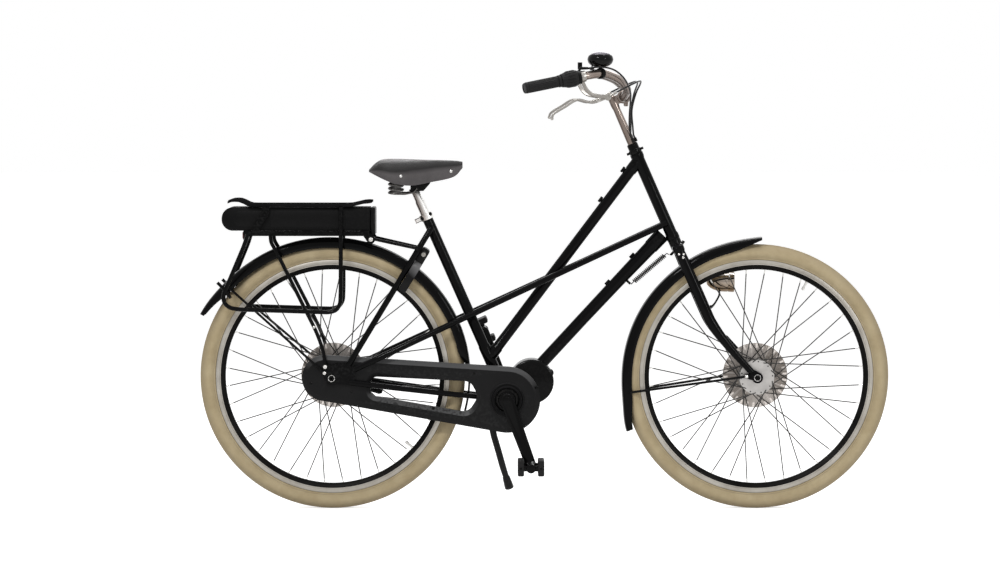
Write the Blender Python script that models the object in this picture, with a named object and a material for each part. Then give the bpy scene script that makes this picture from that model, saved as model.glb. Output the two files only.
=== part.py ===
"""Electric hybrid bicycle with a mixte frame, a rear rack battery and a mid motor.

Metres, +Z up, +X forward, +Y to the rider's left. The origin lies on the ground,
midway between the wheels. Each object is one piece of the bicycle. A piece that moves
hangs from an empty on its joint's axis.
"""
import bpy
import bmesh
from math import asin, atan2, cos, hypot, pi, radians, sin, tan
from mathutils import Matrix, Vector

# Clearances
FIT = 0.0003
RUNNING_GAP = 0.0012

# Wheels
WHEELBASE = 1.149
RIM_SEAT_R = 0.311
TYRE_HEIGHT = 0.048
TYRE_WIDTH = 0.0476
TREAD_FLAT = 0.024
RIM_WIDTH = 0.026
RIM_WALL = 0.0025
RIM_FLANGE = 0.006
RIM_DEPTH = 0.0205
RIM_SPINE = 0.013
WHEEL_FACETS = 40
SPOKES = 36
SPOKE_R = 0.0011
SPOKE_CROSSES = 3
SPOKE_PHASE = 5.4
FLANGE_R = 0.047
FLANGE_T = 0.004
SPOKE_CIRCLE_R = 0.0425
SPOKE_ELBOW = 0.0024
SPOKE_RIM_STAGGER = 0.002
AXLE_R = 0.0047
AXLE_BORE_R = 0.0052
DISC_R = 0.088
DISC_T = 0.003
DISC_SLOTS = 12
DISC_SLOT_IN = 0.066
DISC_SLOT_OUT = 0.081

# Frame points and angles
BB_FROM_REAR = 0.4732
BB_HEIGHT = 0.300
SEAT_ANGLE = 66.1
HEAD_ANGLE = 66.2
FORK_RAKE = 0.0552
SEAT_TUBE_LENGTH = 0.5463
SEAT_TUBE_R = 0.0143
SEAT_TUBE_BORE = 0.0131
SEAT_TUBE_BORE_DEPTH = 0.25
TOP_TUBE_R = 0.0143
TOP_TUBE_HEAD_S = 0.6665
TOP_TUBE_SEAT_D = 0.119
DOWN_TUBE_R = 0.0163
DOWN_TUBE_HEAD_S = 0.46865
DOWN_TUBE_FROM_MOTOR = 0.0405
DOWN_TUBE_RISE = 0.0120
DOWN_TUBE_SHORT = 0.02591
DOWN_TUBE_FLARE = [(0.0, 0.0), (0.36, 0.0), (0.65, 0.0018), (0.92, 0.0055), (1.0, 0.0062)]
LATERAL_R = 0.0083
LATERAL_HEAD_S = 0.4795
STAY_R = 0.008
STAY_TOP_D = 0.5059
CHAIN_STAY_R = 0.0075
LUG_RISE = 0.0016
LUG_LENGTH = 0.036
HEAD_TUBE_R = 0.0160
HEAD_TUBE_BORE = 0.0138
HEAD_TUBE_BOTTOM_S = 0.4320
HEAD_TUBE_TOP_S = 0.6850
CUP_R = 0.0180
CUP_HEIGHT = 0.0180

# Dropouts
REAR_HALF = 0.0687
DROPOUT_T = 0.005
DROPOUT_R = 0.018
DROPOUT_GAP = 0.0008
SEAT_STAY_END = (0.0465, 0.0370)
LATERAL_END = (0.0625, 0.0250)
CHAIN_STAY_END = (0.0495, -0.0110)
RACK_EYE = (-0.0165, 0.0322)
GUARD_EYE = (-0.0185, 0.0150)
EYE_R = 0.0070
STAY_OFFSET = 0.0745

# Fork
FORK_HALF = 0.0503
FORK_END_T = 0.005
CROWN_S = 0.4060
CROWN_HALF_HEIGHT = 0.0115
CROWN_HALF_WIDTH = 0.060
CROWN_HALF_DEPTH = 0.0160
BLADE_HALF_DEPTHS = [(0.0, 0.0082), (0.077, 0.0104), (0.148, 0.0132), (0.20, 0.0148), (0.35, 0.0148), (0.42, 0.0125)]
BLADE_FLATNESS = 0.74
BLADE_OFFSET = 0.0465
BLADE_BEND_S = 0.20
BLADE_BEND_POWER = 1.4
BLADE_TIP_S = 0.020
STEERER_R = 0.0130
STEERER_BORE = 0.0115
STEERER_TOP_S = 0.7142
STEERER_BORE_DEPTH = 0.075
LOCKNUT_R = 0.0148
KNOB_S = 0.6917
KNOB_REACH = 0.0240
FORK_EYE = (-0.030, 0.004)

# Stem and handlebar
QUILL_R = 0.0111
QUILL_NECK_R = 0.0096
QUILL_TOP_S = 0.8530
QUILL_BOTTOM_S = 0.6500
CLAMP_S = 0.8385
CLAMP_REACH = 0.0311
CLAMP_R = 0.0185
CLAMP_HALF = 0.021
BAR_R = 0.0111
BAR_BULGE_R = 0.0127
BAR_END = (-0.0516, 0.2850, 1.1397)
BAR_STRAIGHT_START = (0.1086, 0.2380, 1.1722)
BAR_BENDS = [(0.2200, 0.075, 1.1354), (0.2060, 0.120, 1.1530), (0.1862, 0.160, 1.1669), (0.1499, 0.205, 1.1777)]
GRIP_R = 0.0148
GRIP_LENGTH = 0.096
LEFT_GRIP_LENGTH = 0.130
TWIST_R = 0.0225
TWIST_LENGTH = 0.044
HOUSING_LENGTH = 0.008
HOUSING_R = 0.0185
BAND_START = 0.1515
BAND_LENGTH = 0.012
BAND_R = 0.0150

# Brake levers, described for the left side
LEVER_PIVOT = (0.1640, 0.2160, 1.1150)
LEVER_POINTS = [(0.1640, 0.2160, 1.1150), (0.1236, 0.2200, 1.1015), (0.0836, 0.2280, 1.1085),
                (0.0500, 0.2370, 1.0900), (0.0217, 0.2430, 1.0725), (0.0160, 0.2445, 1.0590)]
PERCH_POINTS = [(0.0990, 0.2390, 1.1500), (0.1090, 0.2350, 1.1330), (0.1232, 0.2285, 1.1225),
                (0.1444, 0.2250, 1.1180), (0.1640, 0.2240, 1.1165)]
PIVOT_BOSS_R = 0.0085
PIVOT_BOSS_HALF = 0.0032
PIVOT_PIN_R = 0.0028
LEVER_HALF = 0.0035
ADJUSTER_TIP = (0.1870, 0.2243, 1.1290)

# Bell on the right side of the bar
BELL_CENTRE = (0.1442, -0.2100, 1.2150)
BELL_R = 0.0340
BELL_HALF_HEIGHT = 0.0205
BELL_ARM_Z = 1.1912
BELL_ARM_T = 0.0044
BELL_PIVOT_BACK = 0.022
BELL_PIN_R = 0.0018

# Cables, right-hand routes
CABLE_R = 0.0024
CABLE_END_S = STEERER_TOP_S + FIT
RIGHT_BRAKE_ROUTE = [(0.1880, -0.2225, 1.1297), (0.2250, -0.2000, 1.1480), (0.2500, -0.1500, 1.1580),
                     (0.2546, -0.1000, 1.1520), (0.2440, -0.0600, 1.1250), (0.2345, -0.0320, 1.0800),
                     (0.2380, -0.0120, 1.0350)]
LEFT_BRAKE_ROUTE = [(x, -y, z) for x, y, z in RIGHT_BRAKE_ROUTE[:-1]] + [(0.2335, 0.0180, 1.0350)]
SHIFT_ROUTE = [(0.1120, -0.2440, 1.1915), (0.1450, -0.2350, 1.1950), (0.1770, -0.2100, 1.1890),
               (0.2000, -0.1800, 1.1740), (0.2163, -0.1500, 1.1543), (0.2275, -0.1100, 1.1280),
               (0.2290, -0.0750, 1.1050), (0.2280, -0.0400, 1.0700),
               (0.2285, -0.0220, 1.0350)]
CABLE_ENDS = {"right": (0.0138, -0.0030), "left": (0.0060, 0.0126), "shift": (0.0060, -0.0126)}

# Drive
CHAIN_LINE = 0.053
CHAIN_PITCH = 0.0127
CHAIN_HALF_WIDTH = 0.0033
CHAIN_HALF_HEIGHT = 0.0044
CHAIN_GROOVE_HALF = 0.0015
CHAIN_GROOVE_TOP = 0.0028
TOOTH_TIP = 0.0006
TOOTH_ROOT = 0.0062
CHAINRING_TEETH = 38
SPROCKET_TEETH = 19
TOOTH_HALF = 0.0011
CRANK_LENGTH = 0.185
CRANK_ANGLE = -69.9
CRANK_INNER = 0.0745
CRANK_T = 0.0135
CRANK_ROOT_R = 0.0185
CRANK_TIP_R = 0.0145
SPINDLE_R = 0.0100
SPINDLE_BORE = 0.0112
MOTOR_FROM_BB = (0.0663, 0.0470)
MOTOR_R = 0.0600
MOTOR_BB_R = 0.0430
MOTOR_HALF = 0.0395
PEDAL_BLOCK_OFFSET = 0.0270
PEDAL_BLOCK_T = 0.0170
PEDAL_BLOCK_H = 0.0420
PEDAL_LENGTH = 0.090
PEDAL_BARREL_R = 0.0125
PEDAL_AXLE_R = 0.0055
LEFT_PEDAL_TILT = 24.0

# Chaincase
CASE_HALF = 0.0130
CASE_WALL = 0.0020
CASE_FRONT_R = 0.0895
CASE_REAR_R = 0.0620
CASE_REAR_SHIFT = 0.0185
CASE_EDGE = 0.0060
CASE_CRANK_HOLE_R = 0.0330
CASE_HUB_HOLE_R = 0.0480
CASE_AXLE_HOLE_R = 0.0130
CASE_WINDOW = [(-0.4700, 0.3635), (-0.2000, 0.3500), (-0.1790, 0.3090), (-0.2060, 0.2660),
               (-0.4700, 0.3120)]
CASE_WINDOW_FILLETS = [0.018, 0.028, 0.030, 0.028, 0.018]

# Mudguards
GUARD_T = 0.0020
GUARD_HALF = 0.0300
GUARD_DROP = 0.0270
FRONT_GUARD_RADII = [(88, 0.3790), (94, 0.3740), (104, 0.3705), (118, 0.3668), (135, 0.3640), (168, 0.3640), (182, 0.3652),
                     (192, 0.3690), (198, 0.3780), (203, 0.3840)]
REAR_GUARD_RADII = [(-17, 0.3740), (30, 0.3740), (60, 0.3755), (90, 0.3772), (110, 0.3810), (130, 0.3838), (142, 0.3890),
                    (150, 0.3950), (154.5, 0.3976)]
GUARD_STAY_R = 0.0028
GUARD_EYE_HALF = 0.0032
FRONT_GUARD_FROM = 88.0
FRONT_GUARD_TO = 203.0
REAR_GUARD_FROM = -17.0
REAR_GUARD_TO = 154.5
REAR_GUARD_PINCH_END = 2.0
REAR_GUARD_PINCH_HALF = 0.0220
GUARD_FLARE_ARC = 12.0

# Rack and battery
RAIL_BOTTOM = 0.7425
RAIL_TOP = 0.7562
RAIL_REAR = -0.8050
RAIL_FRONT = -0.4720
RAIL_Y = 0.0610
RAIL_HALF = 0.0050
PLATE_HALF = 0.0110
PLATE_INSET = 0.0030
BATTERY_HEIGHT = 0.0630
BATTERY_HALF = 0.0545
BATTERY_REAR = -0.8700
BATTERY_FRONT = -0.4710
BATTERY_NOSE_R = 0.0300
DECK_T = 0.0080
DECK_HALF = 0.0680
DECK_REAR = -0.8530
DECK_FRONT = -0.4660
DECK_LIFT = 0.0095
DECK_SLOTS = 3
RACK_TUBE_R = 0.0058
HOOP_Y = 0.0805
LEG_TUBE_R = 0.0052
DOCK_T = 0.0130
LINK_R = 0.0040

# Saddle, measured from the head of its post
SADDLE_TAIL = -0.12365
SADDLE_NOSE = 0.12725
SADDLE_TOPS = [(0.0, 0.06198), (0.06, 0.07748), (0.14, 0.08798), (0.3, 0.08948), (0.6, 0.08698),
               (0.9, 0.08498), (1.0, 0.08198)]
SADDLE_LOWS = [(0.0, 0.05548), (0.18, 0.03398), (0.3, 0.02348), (0.46, 0.01898), (0.66, 0.02698),
               (0.9, 0.04048), (1.0, 0.06448)]
SADDLE_WIDTHS = [(0.0, 0.600), (0.06, 0.800), (0.16, 0.970), (0.26, 1.000), (0.4, 0.860),
                 (0.55, 0.580), (0.72, 0.360), (0.9, 0.255), (1.0, 0.190)]
SADDLE_WALL = 0.0045
SADDLE_HALF_WIDTH = 0.1050
RAIL_WIRE_R = 0.0034
RAIL_SPREAD = 0.0220
COIL_R = 0.0180
COIL_TURNS = 3
COIL_BASE = (-0.05275, 0.0480, -0.00352)
COIL_RISE = 0.0340
NOSE_PLATE_RISE = 0.04898
RAIL_POINTS = [(0.01125, 1.0, 0.00698), (0.04425, 1.0, 0.01648), (0.07925, 0.82, 0.03248),
               (0.10125, 0.545, 0.04398), (0.10525, 0.18, 0.04498)]
POST_R = 0.0127
POST_TOP_D = 0.612
POST_BOTTOM_D = 0.430
COLLAR_R = 0.0180
COLLAR_HEIGHT = 0.0170

# Lock
LOCK_STAY_T = 0.645
LOCK_INNER_R = 0.0460
LOCK_OUTER_R = 0.0610
LOCK_HALF = 0.0110
LOCK_GROOVE_R = 0.0562
LOCK_GROOVE_HALF = 0.0049
LOCK_ARC = 130.0
SHACKLE_R = 0.0512
SHACKLE_WIRE_R = 0.0044

# Lamp, stand, and steering spring: its foot and head by the down tube, its bend and hook by the fork crown
LAMP_REAR = (0.4440, 0.0760, 0.6128)
LAMP_LENGTH = 0.0750
LAMP_R = 0.0300
LAMP_BRACKET_S = 0.218
SPRING_WIRE_R = 0.0011
SPRING_R = 0.0070
SPRING_TURNS = 11
SPRING_TAIL = 0.0110
SPRING_FOOT = (0.70199, 0.03351)
SPRING_HEAD = (0.81010, 0.03954)
SPRING_BEND = (-0.00890, -0.05218)
SPRING_HOOK = (-0.00776, -0.02873)
STAND_PIVOT = (-0.1500, 0.0420, 0.2550)
STAND_POINTS = [(-0.1440, 0.0430, 0.2250), (-0.1370, 0.0440, 0.1913), (-0.1250, 0.0480, 0.1500),
                (-0.1130, 0.0560, 0.1060), (-0.1020, 0.0700, 0.0700)]
STAND_FOOT = (-0.0951, 0.0800, 0.0462)
STAND_R = 0.0085
STAND_PIN_R = 0.0040
STAND_FOOT_R = 0.0125

# Derived places
WHEEL_R = RIM_SEAT_R + TYRE_HEIGHT
RIM_EDGE_R = RIM_SEAT_R + RIM_FLANGE
RIM_INNER_R = RIM_SEAT_R - RIM_DEPTH
REAR_AXLE = Vector((-WHEELBASE / 2, 0, WHEEL_R))
FRONT_AXLE = Vector((WHEELBASE / 2, 0, WHEEL_R))
BB = Vector((REAR_AXLE.x + BB_FROM_REAR, 0, BB_HEIGHT))
SEAT_DIR = Vector((-cos(radians(SEAT_ANGLE)), 0, sin(radians(SEAT_ANGLE))))
STEER_UP = Vector((-cos(radians(HEAD_ANGLE)), 0, sin(radians(HEAD_ANGLE))))
STEER_FWD = Vector((STEER_UP.z, 0, -STEER_UP.x))
STEER_FOOT = FRONT_AXLE - STEER_FWD * FORK_RAKE
LEFT = Vector((0, 1, 0))
BATTERY_BOTTOM = RAIL_TOP + FIT
DECK_BOTTOM = BATTERY_BOTTOM + BATTERY_HEIGHT + 0.0012


def steer(s, forward=0.0, y=0.0):
    """Point at height s along the steering axis, forward of it and out to the side."""
    return STEER_FOOT + STEER_UP * s + STEER_FWD * forward + LEFT * y


def seat(d, forward=0.0, y=0.0):
    """Point at distance d up the seat tube from the crank axis."""
    return BB + SEAT_DIR * d + Vector((SEAT_DIR.z, 0, -SEAT_DIR.x)) * forward + LEFT * y


def at_rear(offset, y=0.0):
    return REAR_AXLE + Vector((offset[0], y, offset[1]))


# Materials
def material(name, colour, roughness, metallic=0.0):
    made = bpy.data.materials.new(name)
    made.use_nodes = True
    shader = made.node_tree.nodes["Principled BSDF"]
    shader.inputs["Base Color"].default_value = (*colour, 1.0)
    shader.inputs["Roughness"].default_value = roughness
    shader.inputs["Metallic"].default_value = metallic
    made.diffuse_color = (*colour, 1.0)
    return made


# Mesh tools
def circle(r, count, phase=0.0):
    return [(r * cos(phase + 2 * pi * k / count), r * sin(phase + 2 * pi * k / count)) for k in range(count)]


def clear(r, sides, gap=FIT):
    """Corner radius of a hole with flat sides that leaves the gap round a pin of radius r."""
    return (r + gap) / cos(pi / sides)


def box_section(half_u, half_v):
    return [(half_u, half_v), (-half_u, half_v), (-half_u, -half_v), (half_u, -half_v)]


def rounded_section(half_u, half_v, fillet, steps=2):
    points = []
    corners = [(1, 1, 0), (-1, 1, 90), (-1, -1, 180), (1, -1, 270)]
    for sign_u, sign_v, start in corners:
        for k in range(steps + 1):
            a = radians(start + 90 * k / steps)
            points.append((sign_u * (half_u - fillet) + fillet * cos(a), sign_v * (half_v - fillet) + fillet * sin(a)))
    return points


def loft(rings, capped=True, looped=False):
    """Skin rings of equal count; the caps are flat faces."""
    bm = bmesh.new()
    rows = [[bm.verts.new(p) for p in ring] for ring in rings]
    count = len(rows[0])
    pairs = list(zip(rows, rows[1:]))
    if looped:
        pairs.append((rows[-1], rows[0]))
    for low, high in pairs:
        for k in range(count):
            n = (k + 1) % count
            bm.faces.new((low[k], low[n], high[n], high[k]))
    if capped and not looped:
        bm.faces.new(rows[0])
        bm.faces.new(rows[-1])
    bmesh.ops.recalc_face_normals(bm, faces=bm.faces)
    return bm


def sweep(path, section, scales=None, hint=(0, 1, 0), looped=False, turn=0.0):
    """Carry a flat section along a path without twisting it; hint sets its first u direction."""
    path = [Vector(p) for p in path]
    count = len(path)
    rings = []
    u = Vector(hint)
    for i, point in enumerate(path):
        before = path[i - 1] if i > 0 or looped else path[i]
        after = path[(i + 1) % count] if i < count - 1 or looped else path[i]
        tangent = (after - before).normalized()
        if abs(u.dot(tangent)) > 0.99:
            u = Vector((tangent.y, tangent.z, tangent.x))
        u = (u - tangent * u.dot(tangent)).normalized()
        v = tangent.cross(u)
        scale = scales[i] if scales else (1.0, 1.0)
        su, sv = scale if isinstance(scale, tuple) else (scale, scale)
        ring = []
        for a, b in section:
            ca = a * cos(turn) - b * sin(turn)
            cb = a * sin(turn) + b * cos(turn)
            ring.append(point + u * ca * su + v * cb * sv)
        rings.append(ring)
    return loft(rings, looped=looped)


def smooth_path(points, steps):
    """Catmull-Rom curve through the points, with the given steps in each span."""
    points = [Vector(p) for p in points]
    ends = [points[0] * 2 - points[1], *points, points[-1] * 2 - points[-2]]
    path = []
    for i in range(1, len(ends) - 2):
        p0, p1, p2, p3 = ends[i - 1:i + 3]
        for k in range(steps):
            t = k / steps
            path.append(0.5 * (2 * p1 + (p2 - p0) * t + (2 * p0 - 5 * p1 + 4 * p2 - p3) * t ** 2
                               + (3 * p1 - p0 - 3 * p2 + p3) * t ** 3))
    path.append(points[-1])
    return path


def tube(path, r, sides=12, radii=None):
    scales = [value / r for value in radii] if radii else None
    return sweep(path, circle(r, sides, pi / sides), scales)


def lathe(profile, origin, axis, segments, start=(0, 0, 1), span=360.0, looped=True, flats=False, phase=0.5):
    """Turn a profile of (along, radius) pairs about an axis. A looped profile makes a ring."""
    axis = Vector(axis).normalized()
    start = Vector(start)
    start = (start - axis * start.dot(axis)).normalized()
    side = axis.cross(start)
    origin = Vector(origin)
    grow = 1 / cos(pi / segments) if flats else 1.0
    full = abs(span - 360.0) < 1e-6
    bm = bmesh.new()
    rows = []
    for k in range(segments if full else segments + 1):
        a = radians(span) * ((k + phase) / segments if full else k / segments - 0.5)
        radial = start * cos(a) + side * sin(a)
        rows.append(radial)
    columns = []
    for along, radius in profile:
        if radius == 0.0:
            columns.append([bm.verts.new(origin + axis * along)])
        else:
            columns.append([bm.verts.new(origin + axis * along + radial * radius * grow) for radial in rows])
    count = len(rows)
    steps = range(count) if full else range(count - 1)
    loops = list(zip(columns, columns[1:]))
    if looped:
        loops.append((columns[-1], columns[0]))
    for low, high in loops:
        for k in steps:
            n = (k + 1) % count
            corners = [low[k % len(low)], low[n % len(low)], high[n % len(high)], high[k % len(high)]]
            unique = []
            for corner in corners:
                if corner not in unique:
                    unique.append(corner)
            if len(unique) > 2:
                bm.faces.new(unique)
    if not full:
        bm.faces.new([column[0] for column in columns])
        bm.faces.new([column[-1] for column in columns])
    bmesh.ops.recalc_face_normals(bm, faces=bm.faces)
    return bm


def rod(start, end, r, sides=12):
    return tube([start, end], r, sides)


def two_circles(c1, r1, c2, r2, steps):
    """Outline of two circles and their outer tangents, in the XZ plane, as (x, z) pairs."""
    dx = c2[0] - c1[0]
    dz = c2[1] - c1[1]
    gap = hypot(dx, dz)
    heading = atan2(dz, dx)
    lean = pi / 2 + atan2(r2 - r1, (gap ** 2 - (r2 - r1) ** 2) ** 0.5)
    points = []
    for centre, r, first, last in ((c1, r1, heading + lean, heading + 2 * pi - lean),
                                   (c2, r2, heading - lean, heading + lean)):
        for k in range(steps + 1):
            a = first + (last - first) * k / steps
            points.append((centre[0] + r * cos(a), centre[1] + r * sin(a)))
    return points


def rounded_polygon(corners, fillets, steps=3):
    """Round each corner of a polygon with an arc of its own fillet."""
    points = []
    count = len(corners)
    for i, (corner, fillet) in enumerate(zip(corners, fillets)):
        here = Vector(corner)
        to_last = (Vector(corners[i - 1]) - here).normalized()
        to_next = (Vector(corners[(i + 1) % count]) - here).normalized()
        half = to_last.angle(to_next) / 2
        centre = here + (to_last + to_next).normalized() * fillet / sin(half)
        first = here + to_last * fillet / tan(half) - centre
        sweep_angle = first.angle_signed(here + to_next * fillet / tan(half) - centre)
        for k in range(steps + 1):
            a = -sweep_angle * k / steps
            points.append(tuple(centre + Vector((first.x * cos(a) - first.y * sin(a),
                                                 first.x * sin(a) + first.y * cos(a)))))
    return points


def prism(outlines, y0, y1, edge=0.0):
    """Plate in the XZ plane between two y planes. The first outline is the edge, the rest are holes."""
    bm = bmesh.new()
    edges = []
    for outline in outlines:
        ring = [bm.verts.new((x, y0, z)) for x, z in outline]
        for a, b in zip(ring, ring[1:] + ring[:1]):
            edges.append(bm.edges.new((a, b)))
    bmesh.ops.triangle_fill(bm, edges=edges, use_beauty=True, use_dissolve=False)
    moved = bmesh.ops.extrude_face_region(bm, geom=bm.faces[:])["geom"]
    verts = [item for item in moved if isinstance(item, bmesh.types.BMVert)]
    bmesh.ops.translate(bm, verts=verts, vec=(0, y1 - y0, 0))
    bmesh.ops.recalc_face_normals(bm, faces=bm.faces)
    if edge:
        count = len(outlines[0])
        rims = []
        for item in bm.edges:
            flat = abs(item.verts[0].co.y - item.verts[1].co.y) < 1e-7
            if flat and len(item.link_faces) == 2 and item.calc_face_angle() > 1.0:
                near = min(hypot(item.verts[0].co.x - x, item.verts[0].co.z - z) for x, z in outlines[0][:count])
                if near < 1e-6:
                    rims.append(item)
        bmesh.ops.bevel(bm, geom=rims, offset=edge, segments=1, affect="EDGES", clamp_overlap=True)
    return bm


def solid_box(low, high, edge=0.0):
    bm = bmesh.new()
    bmesh.ops.create_cube(bm, size=1.0)
    size = Vector(high) - Vector(low)
    middle = (Vector(high) + Vector(low)) / 2
    bmesh.ops.scale(bm, vec=size, verts=bm.verts)
    bmesh.ops.translate(bm, vec=middle, verts=bm.verts)
    if edge:
        bmesh.ops.bevel(bm, geom=bm.edges[:], offset=edge, segments=1, affect="EDGES")
    return bm


def as_object(bm, name):
    mesh = bpy.data.meshes.new(name)
    bm.to_mesh(mesh)
    bm.free()
    made = bpy.data.objects.new(name, mesh)
    bpy.context.collection.objects.link(made)
    return made


def combine(base, tools, operation):
    """Join or cut a solid with other solids, one after the other."""
    body = as_object(base, "body")
    helpers = []
    for i, tool in enumerate(tools):
        helper = as_object(tool, f"tool_{i}")
        helpers.append(helper)
        step = body.modifiers.new(f"step_{i}", "BOOLEAN")
        step.operation = operation
        step.solver = "EXACT"
        step.object = helper
    graph = bpy.context.evaluated_depsgraph_get()
    mesh = bpy.data.meshes.new_from_object(body.evaluated_get(graph))
    result = bmesh.new()
    result.from_mesh(mesh)
    bmesh.ops.remove_doubles(result, verts=result.verts, dist=2e-6)
    bmesh.ops.dissolve_degenerate(result, edges=result.edges, dist=2e-6)
    for item in [body, *helpers]:
        spent = item.data
        bpy.data.objects.remove(item)
        bpy.data.meshes.remove(spent)
    bpy.data.meshes.remove(mesh)
    return result


def join(base, *tools):
    return combine(base, tools, "UNION")


def cut(base, *tools):
    return combine(base, tools, "DIFFERENCE")


def mirrored(points, side):
    return [(x, y * side, z) for x, y, z in points]


class Bicycle:
    """Holds the empties on the joint axes and puts each piece under its own."""

    def __init__(self):
        self.bodies = {}

    def body(self, name, pivot, parent=None):
        empty = bpy.data.objects.new(f"{name}_axis", None)
        empty.empty_display_size = 0.03
        bpy.context.collection.objects.link(empty)
        pivot = Vector(pivot)
        if parent:
            empty.parent = self.bodies[parent][0]
            empty.location = pivot - self.bodies[parent][1]
        else:
            empty.location = pivot
        self.bodies[name] = (empty, pivot)

    def add(self, name, bm, finish, body, smooth=40.0):
        empty, pivot = self.bodies[body]
        bmesh.ops.translate(bm, vec=-pivot, verts=bm.verts)
        made = as_object(bm, name)
        made.parent = empty
        made.data.materials.append(finish)
        made.data.shade_smooth()
        made.data.set_sharp_from_angle(angle=radians(smooth))
        return made


# Wheels
def tyre(axle):
    half = RIM_WIDTH / 2 - RIM_WALL - FIT
    middle = (WHEEL_R + RIM_EDGE_R) / 2
    height = (WHEEL_R - RIM_EDGE_R) / 2
    side = [(half - 0.001, RIM_SEAT_R - 0.003 + FIT), (half, RIM_EDGE_R + FIT)]
    for angle in (-35, 25):
        a = radians(angle)
        side.append((TYRE_WIDTH / 2 * cos(a), middle + height * sin(a)))
    side.append((TREAD_FLAT / 2, WHEEL_R))
    profile = side + [(-y, r) for y, r in reversed(side)]
    return lathe(profile, axle, LEFT, WHEEL_FACETS, flats=True)


def rim(axle):
    half = RIM_WIDTH / 2
    wall_in = half - RIM_WALL
    side = [(RIM_SPINE / 2, RIM_INNER_R), (half, RIM_EDGE_R - 0.0135), (half, RIM_EDGE_R), (wall_in, RIM_EDGE_R),
            (wall_in - 0.001, RIM_SEAT_R - 0.003)]
    profile = side + [(-y, r) for y, r in reversed(side)]
    return lathe(profile, axle, LEFT, WHEEL_FACETS, flats=True)


def spoke_rods(axle, flanges, phase):
    """Two sets of crossed spokes. Neighbours at a flange leave it on opposite faces and opposite ways."""
    rods = []
    per_side = SPOKES // 2
    step = 2 * pi / per_side
    reach = SPOKE_CROSSES * step
    end_r = RIM_INNER_R - FIT
    for i, flange_y in enumerate(flanges):
        for k in range(per_side):
            way = 1 if k % 2 == 0 else -1
            hub_angle = radians(phase) + step * k + (step / 2) * i
            rim_angle = hub_angle + way * reach
            start = axle + Vector((SPOKE_CIRCLE_R * cos(hub_angle), flange_y + way * SPOKE_ELBOW,
                                   SPOKE_CIRCLE_R * sin(hub_angle)))
            lean = SPOKE_RIM_STAGGER if flange_y > 0 else -SPOKE_RIM_STAGGER
            end = axle + Vector((end_r * cos(rim_angle), lean, end_r * sin(rim_angle)))
            rods.append(rod(start, end, SPOKE_R, 3))
    return rods


def merged(pieces):
    """One mesh that holds several solids which don't touch."""
    whole = bmesh.new()
    for piece in pieces:
        mesh = bpy.data.meshes.new("piece")
        piece.to_mesh(mesh)
        piece.free()
        whole.from_mesh(mesh)
        bpy.data.meshes.remove(mesh)
    return whole


def laced_hub(axle, profile, flanges, phase):
    shell = lathe(profile, axle, LEFT, 14)
    return join(shell, merged(spoke_rods(axle, flanges, phase)))


def hub_profile(right_end, right_flange, left_flange, left_end, end_r, barrel_r):
    half = FLANGE_T / 2
    return [(right_end, AXLE_BORE_R), (right_end, end_r), (right_flange - half, end_r + 0.002),
            (right_flange - half, FLANGE_R), (right_flange + half, FLANGE_R), (right_flange + half, barrel_r),
            (left_flange - half, barrel_r), (left_flange - half, FLANGE_R), (left_flange + half, FLANGE_R),
            (left_flange + half, end_r + 0.010), (left_end, end_r + 0.010), (left_end, AXLE_BORE_R)]


def brake_disc(axle, y0):
    """Cooling disc with a ring of oblong slots near its edge, and a sleeve towards the hub."""
    bm = bmesh.new()
    radii = (0.0135, DISC_SLOT_IN, DISC_SLOT_OUT, DISC_R)
    columns = DISC_SLOTS * 2
    grid = []
    for y in (y0, y0 + DISC_T):
        layer = []
        for r in radii:
            ring = []
            for k in range(columns):
                centre = 2 * pi * (k // 2) / DISC_SLOTS
                half = (pi / DISC_SLOTS) * 0.52
                a = centre + (half if k % 2 else -half)
                ring.append(bm.verts.new(axle + Vector((r * cos(a), y, r * sin(a)))))
            layer.append(ring)
        grid.append(layer)
    for i in range(3):
        for k in range(columns):
            n = (k + 1) % columns
            low = [grid[0][i][k], grid[0][i][n], grid[0][i + 1][n], grid[0][i + 1][k]]
            high = [grid[1][i][k], grid[1][i][n], grid[1][i + 1][n], grid[1][i + 1][k]]
            if i == 1 and k % 2 == 0:
                for a in range(4):
                    bm.faces.new((low[a], low[(a + 1) % 4], high[(a + 1) % 4], high[a]))
            else:
                bm.faces.new(low)
                bm.faces.new(high)
    for r in (0, 3):
        for k in range(columns):
            n = (k + 1) % columns
            bm.faces.new((grid[0][r][k], grid[0][r][n], grid[1][r][n], grid[1][r][k]))
    bmesh.ops.recalc_face_normals(bm, faces=bm.faces)
    return bm


def axle_set(axle, half_span, nut_y, brake, arm_end, arm):
    """Axle with its nuts, the still half of the roller brake and the arm that holds it."""
    reach = nut_y + 0.014
    spindle = rod(axle - LEFT * reach, axle + LEFT * reach, AXLE_R, 8)
    parts = []
    for side in (-1, 1):
        inner = axle + LEFT * side * (half_span + FIT)
        parts.append(lathe([(0, 0.0), (0, 0.0115), (0.002, 0.0115), (0.002, 0.0088), (0.009, 0.0082), (0.009, 0.0)],
                           inner, LEFT * side, 6, looped=False))
    low, step, high = brake
    body = [(low, 0.0), (low, 0.036), (step, 0.036), (step, 0.015), (high, 0.015), (high, 0.0)]
    parts.append(lathe(body, axle, LEFT, 12, looped=False))
    outline = two_circles((axle.x, axle.z), 0.017, (arm_end[0], arm_end[1]), 0.0085, 3)
    parts.append(prism([outline], arm[0], arm[1]))
    return join(spindle, *parts)


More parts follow.
